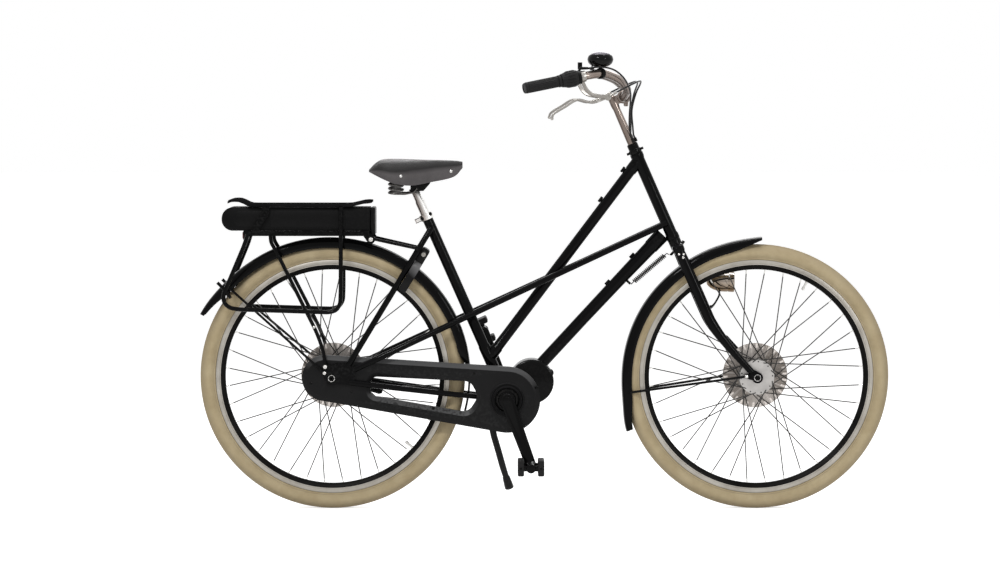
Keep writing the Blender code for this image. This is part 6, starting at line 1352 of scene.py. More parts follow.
def lamp_lens():
    r = LAMP_R - 0.0032
    profile = [(LAMP_LENGTH - 0.0050, 0.0), (LAMP_LENGTH - 0.0050, r), (LAMP_LENGTH - 0.0028, r),
               (LAMP_LENGTH - 0.0018, r * 0.8), (LAMP_LENGTH - 0.0008, r * 0.45), (LAMP_LENGTH - 0.0004, 0.0)]
    return lathe(profile, LAMP_REAR, (1, 0, 0), 24)


def lamp_bracket():
    """Bent strip from the lamp's belly to the left blade, with its bolt."""
    belly = Vector(LAMP_REAR) + Vector((0.034, 0, -0.024))
    hold = blade_point(LAMP_BRACKET_S, 1)
    edge = hold + STEER_FWD * interpolate(BLADE_HALF_DEPTHS, LAMP_BRACKET_S)
    path = smooth_path([belly, belly - Vector((0, 0, 0.016)), edge + STEER_FWD * 0.010, hold])
    arm = sweep(path, rounded_section(0.0060, 0.0025, 0.0012, 1))
    return merged([arm, screw(edge + STEER_FWD * 0.006 + LEFT * 0.0062, LEFT, 0.0045)])


# Wheels and mudguards
def hub_profile(right_end, right_flange, left_flange, left_end, end_r, barrel_r):
    half = FLANGE_T / 2
    return [(right_end, AXLE_BORE_R), (right_end, end_r), (right_flange - half, end_r + 0.002),
            (right_flange - half, FLANGE_R), (right_flange + half, FLANGE_R), (right_flange + half, barrel_r),
            (left_flange - half, barrel_r), (left_flange - half, FLANGE_R), (left_flange + half, FLANGE_R),
            (left_flange + half, end_r + 0.010), (left_end, end_r + 0.010), (left_end, AXLE_BORE_R)]


def both_sides(half, *middle):
    """A whole profile of (across, out) pairs from one half and its middle."""
    return [*half, *middle, *((-y, r) for y, r in reversed(half))]


def tyre(axle):
    """Round-shouldered tyre with a moulded bead ring, two tread grooves and shoulder sipes."""
    half = RIM_WIDTH / 2 - RIM_WALL - FIT
    middle = (WHEEL_R + RIM_EDGE_R) / 2
    height = (WHEEL_R - RIM_EDGE_R) / 2
    side = [(half - 0.001, RIM_SEAT_R - 0.003), (half, RIM_EDGE_R + FIT), (half + 0.0040, RIM_EDGE_R + 0.0006),
            (half + 0.0052, RIM_EDGE_R + 0.0018), (half + 0.0050, RIM_EDGE_R + 0.0030)]
    for angle in range(-48, 61, 9):
        a = radians(angle)
        side.append((TYRE_WIDTH / 2 * cos(a), middle + height * sin(a) * (1.0 if angle < 0 else 0.98)))
    crown = side[-1][0]
    for u, groove in ((0.90, 0), (0.86, 0.0012), (0.78, 0.0012), (0.74, 0), (0.42, 0), (0.38, 0.0010), (0.30, 0.0010),
                      (0.26, 0)):
        side.append((crown * u, WHEEL_R - groove - 0.0021 * u ** 2))
    rings = []
    for k in range(TYRE_SEGMENTS):
        ring = []
        for y, r in both_sides(side, (0.0, WHEEL_R)):
            sipe = 0.0010 if k % 3 == 0 and 0.009 < abs(y) < 0.0205 and r > middle + height * 0.55 else 0.0
            ring.append(around(axle, 2 * pi * k / TYRE_SEGMENTS, r - sipe, y))
        rings.append(ring)
    return loft(rings, looped=True)


def rim_outer(axle):
    """Silver braking wall, with a fine groove, and the box behind it."""
    half = RIM_WIDTH / 2
    wall_in = half - RIM_WALL
    side = [(half - 0.0002, RIM_SPLIT_R), (half, RIM_SPLIT_R + 0.0006), (half, RIM_SPLIT_R + 0.0026),
            (half - 0.0004, RIM_SPLIT_R + 0.0030), (half - 0.0004, RIM_SPLIT_R + 0.0034), (half, RIM_SPLIT_R + 0.0038),
            (half, RIM_EDGE_R - 0.0010), (half - 0.0006, RIM_EDGE_R), (wall_in + 0.0006, RIM_EDGE_R),
            (wall_in, RIM_EDGE_R - 0.0008), (wall_in - 0.001, RIM_SEAT_R - 0.003)]
    return lathe(both_sides(side), axle, LEFT, RIM_SEGMENTS)


def rim_inner(axle):
    """Black inner band that tapers to the spine where the nipples sit."""
    side = [(0.0030, RIM_INNER_R), (RIM_SPINE / 2 - 0.0012, RIM_INNER_R + 0.0002),
            (RIM_SPINE / 2, RIM_INNER_R + 0.0013), (RIM_WIDTH / 2 - 0.0008, RIM_SPLIT_R - 0.0012),
            (RIM_WIDTH / 2 - 0.0006, RIM_SPLIT_R), (0.0060, RIM_SPLIT_R + 0.0002)]
    return lathe(both_sides(side), axle, LEFT, RIM_SEGMENTS)


def spoke_ends(axle, flanges):
    """Hub end, rim end and outward turn of every spoke."""
    per_side = SPOKES // 2
    step = 2 * pi / per_side
    for i, flange_y in enumerate(flanges):
        for k in range(per_side):
            way = 1 if k % 2 == 0 else -1
            hub_angle = radians(SPOKE_PHASE) + step * k + (step / 2) * i
            rim_angle = hub_angle + way * SPOKE_CROSSES * step
            lean = SPOKE_RIM_STAGGER if flange_y > 0 else -SPOKE_RIM_STAGGER
            yield (around(axle, hub_angle, SPOKE_CIRCLE_R, flange_y + way * SPOKE_ELBOW),
                   around(axle, rim_angle, RIM_INNER_R - FIT, lean), way)


def spokes(axle, flanges):
    """Every spoke with its elbow and its head in the flange."""
    parts = []
    for hub, rim_end, way in spoke_ends(axle, flanges):
        head = hub - LEFT * way * (SPOKE_ELBOW * 2 + 0.0006)
        path = [head, hub - LEFT * way * 0.0008, hub + (rim_end - hub).normalized() * 0.0015, rim_end]
        knob = [(0, 0.0), (0, 0.0016), (0.0010, 0.0019), (0.0016, 0.0012), (0.0016, 0.0)]
        parts += [sweep(path, circle(SPOKE_R, 8), hint=(1, 0, 0.3)), lathe(knob, head, LEFT * way, 4)]
    return merged(parts)


def nipples(axle, flanges):
    profile = [(-0.004, 0.0), (-0.004, 0.0021), (0.0008, 0.0021), (0.0014, 0.0017), (0.0100, 0.0016), (0.0112, 0.0012),
               (0.0112, 0.0)]
    return merged([lathe(profile, rim_end, (hub - rim_end).normalized(), 4)
                   for hub, rim_end, way in spoke_ends(axle, flanges)])


def valve(axle, angle):
    a = radians(angle)
    inward = Vector((-cos(a), 0, -sin(a)))
    profile = [(-0.003, 0.0), (-0.003, 0.0052), (0.0022, 0.0050), (0.0026, 0.0036), (0.0160, 0.0034), (0.0164, 0.0044),
               (0.0240, 0.0043), (0.0250, 0.0034), (0.0250, 0.0)]
    return lathe(profile, axle - inward * RIM_INNER_R, inward, 6)


def hub_shell(axle, profile):
    """Turned shell with rounded flanges."""
    shell = lathe(profile, axle, LEFT, 24)
    sharp = [edge for edge in shell.edges if len(edge.link_faces) == 2 and edge.calc_face_angle() > 0.6]
    bmesh.ops.bevel(shell, geom=sharp, offset=0.0007, segments=2, affect="EDGES", clamp_overlap=True)
    return shell


def brake_disc(axle, y0):
    """Cooling disc: a ring of radial slots between ribs, the web behind them and a raised boss."""
    bm = bmesh.new()
    shares = (-0.30, -0.22, 0.22, 0.30)
    turns = [2 * pi * (k // 4 + shares[k % 4]) / DISC_SLOTS for k in range(DISC_SLOTS * 4)]
    radii = (0.0145, 0.046, DISC_SLOT_IN, DISC_SLOT_IN + 0.002, DISC_SLOT_OUT - 0.002, DISC_SLOT_OUT, DISC_R - 0.0012,
             DISC_R)
    layers = [[[bm.verts.new(around(axle, a, r, y)) for a in turns] for r in radii] for y in (y0, y0 + DISC_T)]
    for i in range(len(radii) - 1):
        for k in range(len(turns)):
            place = k % 4
            if (i == 3 and place < 3) or (i in (2, 4) and place == 1):
                continue
            n = (k + 1) % len(turns)
            for rows, order in zip(layers, (1, -1)):
                bm.faces.new([rows[i][k], rows[i][n], rows[i + 1][n], rows[i + 1][k]][::order])
    across = {a: b for low, high in zip(*layers) for a, b in zip(low, high)}
    for edge in [edge for edge in bm.edges if len(edge.link_faces) == 1]:
        a, b = edge.verts
        if a in across and b in across:
            bm.faces.new((a, b, across[b], across[a]))
    bmesh.ops.recalc_face_normals(bm, faces=bm.faces)
    web = [(y0 + DISC_T * share, r) for share, r in ((0.32, DISC_SLOT_IN - 0.001), (0.68, DISC_SLOT_IN - 0.001),
                                                     (0.68, DISC_SLOT_OUT + 0.001), (0.32, DISC_SLOT_OUT + 0.001))]
    boss = [(0.0, 0.0135), (0.0, 0.040), (0.0016, 0.0385), (0.0016, 0.0135)]
    return merged([bm, lathe(web, axle, LEFT, 48), lathe(boss, axle + LEFT * (y0 + DISC_T), LEFT, 20)])


def guard_ring(axle, angle, half, drop, radius):
    """Cross-section of a mudguard: a crowned top and rolled edges."""
    a = radians(angle)
    radial = Vector((cos(a), 0, sin(a)))
    shape = [(0.985, drop + 0.0004), (1.0, drop - 0.0006), (0.995, drop * 0.62), (0.965, drop * 0.40),
             (0.90, drop * 0.235), (0.80, drop * 0.125), (0.66, drop * 0.05), (0.50, drop * 0.015), (0.25, 0.0)]
    outer = both_sides([(-half * u, -fall) for u, fall in shape], (0.0, 0.0006))
    inner = [(half * u - GUARD_SKIN, -fall - (0.0 if i < 2 else GUARD_SKIN * min(1.0, i / 5)))
             for i, (u, fall) in enumerate(shape)]
    inner = both_sides(inner, (0.0, -GUARD_SKIN))
    return [axle + radial * (radius + rise) + LEFT * y for y, rise in outer + inner]


def eased(table, t):
    """The table's value smoothed over a few degrees, so that no kink shows."""
    return sum(interpolate(table, t + d) * w for d, w in ((-5, 1), (-2.5, 2), (0, 3), (2.5, 2), (5, 1))) / 9


def mudguard(axle, first, last, steps, radii, section):
    """Guard bent round an axle; section gives its half width and the drop of its skirts at an angle."""
    rings = []
    for k in range(steps + 1):
        angle = first + (last - first) * k / steps
        rings.append(guard_ring(axle, angle, *section(angle), eased(radii, angle)))
    return loft(rings)


def front_section(angle):
    """The front guard's skirts run out towards both ends."""
    tip = max(0.0, 1 - (angle - FRONT_GUARD_FROM) / GUARD_TIP_ARC)
    tail = max(0.0, 1 - (FRONT_GUARD_TO - angle) / GUARD_FLARE_ARC)
    return GUARD_HALF, GUARD_DROP * (1 - 0.72 * tip ** 1.6) * (1 - 0.3 * tail)


def rear_section(angle):
    """The rear guard is pinched between the chain stays and full behind them."""
    open_up = held((angle - REAR_GUARD_PINCH_END) / GUARD_OPEN_ARC)
    open_up = open_up * open_up * (3 - 2 * open_up)
    tail = max(0.0, 1 - (REAR_GUARD_TO - angle) / GUARD_FLARE_ARC)
    half = REAR_GUARD_PINCH_HALF + (GUARD_HALF - REAR_GUARD_PINCH_HALF) * open_up
    return half, GUARD_DROP * (0.20 + 0.80 * open_up) * (1 - 0.55 * tail)


def stays(axle, eye, eye_y, angle, radii):
    """A mudguard's stay on each side: its eye at the axle, its rod and the screw in the skirt."""
    a = radians(angle)
    middle = axle + Vector((cos(a), 0, sin(a))) * (interpolate(radii, angle) - GUARD_DROP * 0.75)
    parts = []
    for side in (-1, 1):
        out = LEFT * side
        foot = axle + Vector((eye[0], side * eye_y, eye[1]))
        skirt = middle + out * (GUARD_HALF - GUARD_T * 0.55)
        parts += [cross_rod(foot, GUARD_EYE_HALF, 0.0060, 8), rod(foot + out * 0.0012, skirt, GUARD_STAY_R, 6),
                  screw(middle + out * (GUARD_HALF + 0.0006), out, 0.0042)]
    return merged(parts)


# Fasteners
def screw(place, way, r, high=None):
    """Domed screw head with a socket."""
    high = high or r * 0.62
    profile = [(-high * 0.4, 0.0), (-high * 0.4, r), (high * 0.30, r), (high * 0.75, r * 0.82), (high, r * 0.52),
               (high, r * 0.42), (high * 0.35, r * 0.40), (high * 0.35, 0.0)]
    return lathe(profile, place, way, 6)


def side_screws(places, r):
    """The same screws on both sides of the bicycle."""
    return [screw(Vector((x, side * y, z)), LEFT * side, r) for side in (-1, 1) for x, y, z in places]


def hex_nut(place, way, r, high):
    """Nut with its washer and the end of its bolt."""
    nut = sweep([place, place + Vector(way) * high], circle(r, 6))
    bmesh.ops.bevel(nut, geom=nut.edges[:], offset=r * 0.09, segments=2, affect="EDGES", clamp_overlap=True)
    washer = [(-0.0002, 0.0), (-0.0002, r * 1.18), (high * 0.22, r * 1.18), (high * 0.22, 0.0)]
    bolt = [(high * 0.9, 0.0), (high * 0.9, r * 0.52), (high * 1.55, r * 0.50), (high * 1.65, r * 0.40),
            (high * 1.65, 0.0)]
    return merged([nut, lathe(washer, place, way, 8), lathe(bolt, place, way, 6)])


def axle_nuts(axle, half, eyes):
    """The nuts of an axle and the screws in the (offset, depth, radius) eyes beside it."""
    parts = []
    for side in (-1, 1):
        out = LEFT * side
        parts.append(hex_nut(axle + out * (half + 0.0008), out, 0.0078, 0.0080))
        parts += [screw(axle + Vector((x, side * (half + depth + 0.0006), z)), out, r) for (x, z), depth, r in eyes]
    return merged(parts)


# Seat
def smooth_table(table, t):
    """Smooth curve through a table's values."""
    points = smooth_path([(a, 0, b) for a, b in table], 12)
    for low, high in zip(points, points[1:]):
        if t <= high.x + 1e-9:
            return low.z + (high.z - low.z) * (t - low.x) / max(1e-9, high.x - low.x)
    return points[-1].z


def saddle_at(t):
    """Top height, lower height and half width of the saddle at a share of its length from the tail."""
    head = seat(POST_TOP_D)
    return (head.z + smooth_table(SADDLE_TOPS, t), head.z + smooth_table(SADDLE_LOWS, t),
            smooth_table(SADDLE_WIDTHS, t) * SADDLE_HALF_WIDTH)


def hide_side(x, z, side):
    """Point of the leather's side at a length and a height."""
    top, low, width = saddle_at((x - seat(POST_TOP_D).x - SADDLE_TAIL) / (SADDLE_NOSE - SADDLE_TAIL))
    share = interpolate([(drop, u) for u, drop in SADDLE_SECTION], (top - z) / (top - low))
    return Vector((x, side * width * share, z))


def saddle_hide_form():
    """Leather top on smooth sections: crowned and rolled over the sides."""
    bm = bmesh.new()
    grid = []
    for i in range(SADDLE_STEPS + 1):
        x = seat(POST_TOP_D).x + SADDLE_TAIL + (SADDLE_NOSE - SADDLE_TAIL) * (i / SADDLE_STEPS)
        top, low, width = saddle_at(i / SADDLE_STEPS)
        half = [(x, u * width, top - (top - low) * drop) for u, drop in SADDLE_SECTION]
        grid.append([bm.verts.new(p) for p in mirrored(reversed(half[1:]), -1) + mirrored(half, 1)])
    for a, b in zip(grid, grid[1:]):
        for k in range(len(a) - 1):
            bm.faces.new((a[k], b[k], b[k + 1], a[k + 1]))
    bmesh.ops.recalc_face_normals(bm, faces=bm.faces)
    crown = next(face for face in bm.faces if abs(face.calc_center_median().y) < 0.004)
    if crown.normal.z < 0:
        bmesh.ops.reverse_faces(bm, faces=bm.faces[:])
    made = as_object(bm, "hide_form")
    modify(made, "SOLIDIFY", thickness=SADDLE_WALL, offset=-1.0, use_even_offset=False)
    result = bmesh.new()
    result.from_mesh(made.data)
    discard(made)
    return result


def saddle_rails():
    """One wire: left coil, left rail, round the nose, right rail and right coil."""
    head = seat(POST_TOP_D)
    coil = head + Vector(COIL_BASE)
    steps = COIL_TURNS * COIL_STEPS
    left = []
    for k in range(steps, -1, -1):
        a = pi / 2 + 2 * pi * k / COIL_STEPS
        left.append(Vector((coil.x + COIL_R * cos(a), coil.y + COIL_R * sin(a), coil.z + COIL_RISE * (k / steps))))
    left += [Vector((coil.x + 0.026, coil.y + COIL_R - 0.004, coil.z - 0.0005)),
             Vector((coil.x + 0.046, RAIL_SPREAD + 0.012, coil.z + 0.003))]
    left += [head + Vector((x, RAIL_SPREAD * share, z)) for x, share, z in RAIL_POINTS]
    return sweep(left + mirrored(reversed(left), -1), circle(RAIL_WIRE_R, 12, pi / 12), hint=(0, 0, 1))


def saddle_clamp():
    """Clamp block on the seat post's head, cut away to the front."""
    top = seat(POST_TOP_D + FIT)
    corners = [(-0.0130, 0.0010), (0.0225, 0.0030), (0.0400, 0.0230), (0.0400, 0.0300), (-0.0130, 0.0300)]
    outline = [(top.x + x, top.z + z) for x, z in rounded_polygon(corners, [0.003, 0.003, 0.003, 0.001, 0.001])]
    block = prism([outline], -RAIL_SPREAD - 0.007, RAIL_SPREAD + 0.007)
    return join(block, lathe([(0.0, 0.0), (0.0, 0.0145), (0.012, 0.0145), (0.012, 0.0)], top, SEAT_DIR, 14))


def seatpost():
    marks = [(POST_BOTTOM_D, POST_R), (POST_TOP_D - 0.030, POST_R), (POST_TOP_D - 0.024, POST_R - 0.0018),
             (POST_TOP_D, POST_R - 0.0018)]
    return tube([seat(d) for d, r in marks], POST_R, 14, [r for d, r in marks])


# Drive, lock and stand
def crank_end(side):
    a = radians(CRANK_ANGLE) if side < 0 else radians(CRANK_ANGLE) + pi
    return BB + Vector((CRANK_LENGTH * cos(a), 0, CRANK_LENGTH * sin(a)))


def on_crank(parts, side):
    """Set a pedal's parts, built about the origin, on the end of its crank."""
    turn = Matrix.Rotation(radians(0.0 if side < 0 else 90 - LEFT_PEDAL_TILT), 4, "Y")
    return moved(merged(parts), Matrix.Translation(crank_end(side)) @ turn)


def pedal_blocks(side):
    """Two rubber blocks with cross grooves on their treads."""
    low, high = sorted((side * PEDAL_START, side * (PEDAL_START + PEDAL_LENGTH)))
    low += 0.004
    high -= 0.004
    steps = PEDAL_GROOVES * 4
    parts = []
    for x in (-PEDAL_BLOCK_OFFSET, PEDAL_BLOCK_OFFSET):
        rings = []
        for k in range(steps + 1):
            dip = 0.0016 if k % 4 == 2 else 0.0
            ends = 0.0012 if k in (0, steps) else 0.0
            section = rounded_section(PEDAL_BLOCK_T / 2 - ends, PEDAL_BLOCK_H / 2 - dip - ends, 0.0036, 1)
            rings.append([Vector((x + u, low + (high - low) * k / steps, v)) for u, v in section])
        parts.append(loft(rings))
    return on_crank(parts, side)


def pedal_cage(side):
    """Barrel, end plates and the nuts of the two rods that hold the blocks."""
    bore = PEDAL_AXLE_R + 0.0008
    barrel = [(0.0, bore), (0.0, PEDAL_BARREL_R), (0.012, PEDAL_BARREL_R), (0.016, PEDAL_BARREL_R - 0.0028),
              (PEDAL_LENGTH - 0.016, PEDAL_BARREL_R - 0.0034), (PEDAL_LENGTH - 0.010, PEDAL_BARREL_R),
              (PEDAL_LENGTH - 0.002, PEDAL_BARREL_R), (PEDAL_LENGTH, PEDAL_BARREL_R - 0.002), (PEDAL_LENGTH, 0.0),
              (0.057, 0.0), (0.057, bore)]
    parts = [lathe(barrel, LEFT * (side * PEDAL_START), LEFT * side, 10)]
    plate = [two_circles((-PEDAL_BLOCK_OFFSET, 0.0), 0.0072, (PEDAL_BLOCK_OFFSET, 0.0), 0.0072, 4),
             circle(PEDAL_AXLE_R + 0.001, 24)]
    for share, way in ((0.075, -side), (0.925, side)):
        y = side * (PEDAL_START + PEDAL_LENGTH * share)
        parts.append(prism(plate, y - 0.0014, y + 0.0014))
        parts += [hex_nut(Vector((x, y + 0.0014 * way, 0)), LEFT * way, 0.0042, 0.0026)
                  for x in (-PEDAL_BLOCK_OFFSET, PEDAL_BLOCK_OFFSET)]
    return on_crank(parts, side)


def lock_frame():
    """Centre of the lock's ring, its outward direction along the stays, and its forward normal."""
    right = seat_stay_path(1)
    along = (right[-1] - right[0])
    along.y = 0
    out = along.normalized()
    ahead = Vector((out.z, 0, -out.x))
    start = at_rear(SEAT_STAY_END)
    centre = start + (seat(STAY_TOP_D) - start) * LOCK_STAY_T + ahead * (STAY_R + LOCK_HALF + FIT)
    return centre, out, ahead


def ring_lock():
    """Horseshoe with the groove of its bolt, the head above and the key's socket."""
    centre, out, ahead = lock_frame()
    profile = [(-LOCK_HALF, LOCK_INNER_R), (-LOCK_HALF, LOCK_OUTER_R), (LOCK_HALF, LOCK_OUTER_R),
               (LOCK_HALF, LOCK_INNER_R), (LOCK_GROOVE_HALF, LOCK_INNER_R), (LOCK_GROOVE_HALF, LOCK_GROOVE_R),
               (-LOCK_GROOVE_HALF, LOCK_GROOVE_R), (-LOCK_GROOVE_HALF, LOCK_INNER_R)]
    ring = lathe(profile, centre, ahead, 16, start=out, span=2 * LOCK_ARC)
    corners = [(-0.012, 0.056), (-0.012, 0.098), (0.011, 0.098), (0.011, 0.056)]
    place = Matrix((ahead, LEFT, out)).transposed().to_4x4()
    place.translation = centre
    head = moved(prism([rounded_polygon(corners, [0.003, 0.008, 0.008, 0.003], 2)], -0.030, 0.030), place)
    key = centre + out * LOCK_KEY_OUT
    return join(ring, head, rod(key - LEFT * 0.028, key - LEFT * 0.036, 0.0095))


def kickstand():
    """Leg with its rubber foot, turning on the pin of the chain stay's bracket."""
    pivot = Vector(STAND_PIVOT)
    foot = Vector(STAND_FOOT)
    path = [pivot, *STAND_POINTS]
    leg = tube(path, STAND_R, 8, [STAND_R * 0.95] * (len(path) - 1) + [STAND_R * 0.85])
    way = (foot - Vector(STAND_POINTS[-1])).normalized()
    shoe = tube([foot - way * 0.034, foot - way * 0.012, foot], STAND_FOOT_R, 8,
                [0.0100, STAND_FOOT_R * 0.95, STAND_FOOT_R])
    return cut(join(cross_rod(pivot, STAND_R, 0.0125), leg, shoe), cross_rod(pivot, 0.03, clear(STAND_PIN_R, 12)))


# Materials
class Nodes:
    """Adds nodes to one shader tree; a value is a number or the output of another node."""

    def __init__(self, tree):
        self.tree = tree

    def feed(self, socket, value):
        if isinstance(value, bpy.types.NodeSocket):
            self.tree.links.new(value, socket)
        else:
            socket.default_value = value

    def add(self, kind, inputs=None, **settings):
        node = self.tree.nodes.new(kind)
        for key, value in settings.items():
            setattr(node, key, value)
        for key, value in (inputs or {}).items():
            self.feed(node.inputs[key], value)
        return node

    def maths(self, operation, a, b=0.0):
        return self.add("ShaderNodeMath", {0: a, 1: b}, operation=operation).outputs[0]

    def times(self, a, b):
        return self.maths("MULTIPLY", a, b)

    def plus(self, a, b):
        return self.maths("ADD", a, b)

    def gap(self, a, b):
        return self.maths("ABSOLUTE", self.maths("SUBTRACT", a, b))

    def spread(self, value, low, high, to_low=0.0, to_high=1.0):
        """Map one range to another and hold it there."""
        inputs = {"Value": value, "From Min": low, "From Max": high, "To Min": to_low, "To Max": to_high}
        return self.add("ShaderNodeMapRange", inputs).outputs[0]

    def even(self, value, to_low=0.0, to_high=1.0):
        """The usual range of a noise spread over another."""
        return self.spread(value, 0.3, 0.7, to_low, to_high)

    def mix(self, share, a, b):
        a, b = (value if isinstance(value, bpy.types.NodeSocket) else (*value, 1.0) for value in (a, b))
        return self.add("ShaderNodeMix", {0: share, 6: a, 7: b}, data_type="RGBA").outputs[2]

    def facing(self, way):
        """How far a face looks one way."""
        normal = self.add("ShaderNodeNewGeometry").outputs["Normal"]
        return self.add("ShaderNodeVectorMath", {0: normal, 1: way}, operation="DOT_PRODUCT").outputs["Value"]


class Finish(Nodes):
    """A new material, its shader's inputs and the coordinates of its piece."""

    def __init__(self, name, metallic, level):
        self.made = bpy.data.materials.new(name)
        self.made.use_nodes = True
        super().__init__(self.made.node_tree)
        self.shader = self.tree.nodes["Principled BSDF"].inputs
        self.shader["Metallic"].default_value = metallic
        self.shader["Specular IOR Level"].default_value = level
        self.coords = self.add("ShaderNodeTexCoord").outputs["Object"]

    def noise(self, scale, detail=2.0, rough=0.5, coords=None):
        inputs = {"Vector": coords or self.coords, "Scale": scale, "Detail": detail, "Roughness": rough}
        return self.add("ShaderNodeTexNoise", inputs).outputs["Fac"]

    def lines(self, value, density):
        """Noise along one value only."""
        inputs = {"W": self.times(value, density), "Scale": 1.0, "Detail": 3.0}
        return self.add("ShaderNodeTexNoise", inputs, noise_dimensions="1D").outputs["Fac"]

    def wheel_place(self):
        """Distance and angle round the nearer axle; the two axles lie evenly before and behind the origin."""
        x, y, z = self.add("ShaderNodeSeparateXYZ", {0: self.coords}).outputs
        across = self.maths("SUBTRACT", self.maths("ABSOLUTE", x), FRONT_AXLE.x)
        up = self.maths("SUBTRACT", z, FRONT_AXLE.z)
        r = self.maths("SQRT", self.plus(self.times(across, across), self.times(up, up)))
        return r, self.maths("ARCTAN2", up, across)

    def finish(self, tone, rough, height, strength, distance):
        """Feed the shader its colour, roughness and bump, and hand back the material."""
        bump = self.add("ShaderNodeBump", {"Height": height, "Strength": strength, "Distance": distance})
        for key, value in (("Base Color", tone), ("Roughness", rough), ("Normal", bump.outputs[0])):
            self.feed(self.shader[key], value)
        return self.made


def surface(name, dark, light, rough, grain, height, metallic=0.0, level=0.5, patch=14.0, wear=None,
            stretch=None, under=None, over=None, painted_light_way=(0.0, 0.0, 1.0), painted_light_range=(0.30, 0.85)):
    """Two tones in soft patches, roughness that wanders and a grain in the bump. If asked: painted shade on
    the faces that look down, a painted light tone on those that look up or the given way, and worn edges."""
    look = Finish(name, metallic, level)
    stretched = look.add("ShaderNodeMapping", {"Vector": look.coords, "Scale": stretch}).outputs[0] if stretch else None
    patches = look.noise(patch, 4.0, 0.55)
    fine = look.noise(grain, 3.0, 0.6, stretched)
    tone = look.mix(look.even(patches), dark, light)
    # Painted shade: the tone deepens on faces that look down
    if under:
        tone = look.mix(look.spread(look.facing(PAINTED_SHADE_WAY), *PAINTED_SHADE_RANGE), tone, under)
    # Painted light: the tone lightens on faces that look up or the given way
    if over:
        tone = look.mix(look.spread(look.facing(painted_light_way), *painted_light_range), tone, over)
    if wear:
        edge = look.spread(look.add("ShaderNodeNewGeometry").outputs["Pointiness"], 0.52, 0.60)
        chips = look.times(edge, look.spread(look.noise(160.0, 3.0), 0.45, 0.62, 0.0, 0.8))
        tone = look.mix(chips, tone, wear)
    wander = look.plus(look.times(patches, 0.6), look.times(fine, 0.4))
    return look.finish(tone, look.even(wander, *rough), fine, 0.5, height)


def tyre_rubber():
    """Cream rubber: fine moulded rays on the wall, a greyer tread and road dust towards it, and a painted shadow line
    in the crease just above the rim.
    """
    look = Finish("tyre_rubber_cream", 0.0, 0.25)
    r, angle = look.wheel_place()
    patches = look.noise(22.0, 4.0, 0.6)
    fine = look.noise(700.0, 3.0, 0.6)
    tone = look.mix(look.even(patches), (0.338, 0.268, 0.156), (0.418, 0.342, 0.212))
    dusty = look.times(look.spread(r, 0.338, 0.3585), look.spread(patches, 0.3, 0.65, 0.55, 1.0))
    tone = look.mix(look.times(dusty, 0.55), tone, (0.232, 0.188, 0.124))
    # Painted shadow: a dark line where the wall meets the bead ring above the rim
    tone = look.mix(look.spread(look.gap(r, 0.3215), 0.0, 0.0012, 0.55, 0.0), tone, (0.16, 0.135, 0.10))
    wall = look.spread(look.gap(r, 0.3262), 0.0, 0.0042, 1.0, 0.0)
    rays = look.times(look.maths("SINE", look.times(angle, 520.0)), wall)
    height = look.plus(look.times(fine, 0.7), look.times(rays, 0.35))
    return look.finish(tone, look.even(fine, 0.62, 0.84), height, 0.6, 0.0004)


def turned_metal(name, dark, light, rough, lines=2600.0, rays=None):
    """Metal with fine turning lines round the axle and, if asked, painted light: pale streaks of painted reflection,
    two opposite sectors of painted sheen with painted shade between, painted shade lines across the slot ring and
    painted glints on the fin ring.
    """
    look = Finish(name, 1.0, 0.5)
    r, angle = look.wheel_place()
    patches = look.noise(18.0, 4.0, 0.6)
    ring = look.lines(r, lines)
    tone = look.mix(look.even(patches), dark, light)
    # Painted light on the disc: pale streaks and bright sectors stand for reflections, dark sectors and dark lines for
    # shade, bright dashes for glints
    if rays:
        sheen_sectors = look.maths("COSINE", look.times(look.maths("SUBTRACT", angle, 1.9), 2.0))
        ribs = look.spread(look.maths("SINE", look.times(angle, 120.0)), 0.1, 0.9, 0.0, 0.45)
        fin_glints = look.spread(look.maths("SINE", look.times(angle, 30.0)), 0.35, 0.8, 0.0, 0.75)
        rim = look.times(look.spread(r, 0.0740, 0.0755), look.spread(r, 0.0870, 0.0860))
        for share, tint in ((look.spread(look.lines(angle, 9.0), 0.50, 0.68, 0.0, 0.85), rays),
                            (look.spread(sheen_sectors, -0.1, 1.0, 0.0, 0.62), rays),
                            (look.spread(sheen_sectors, 0.0, -1.0, 0.0, 0.45), [v * 0.62 for v in dark]),
                            (look.times(ribs, look.spread(r, 0.055, 0.058)), [v * 0.35 for v in dark]),
                            (look.times(fin_glints, rim), [min(0.9, v * 1.45) for v in rays])):
            tone = look.mix(share, tone, tint)
    both = look.plus(look.times(ring, 0.5), look.times(patches, 0.5))
    return look.finish(tone, look.even(both, *rough), ring, 0.4, 0.00012)


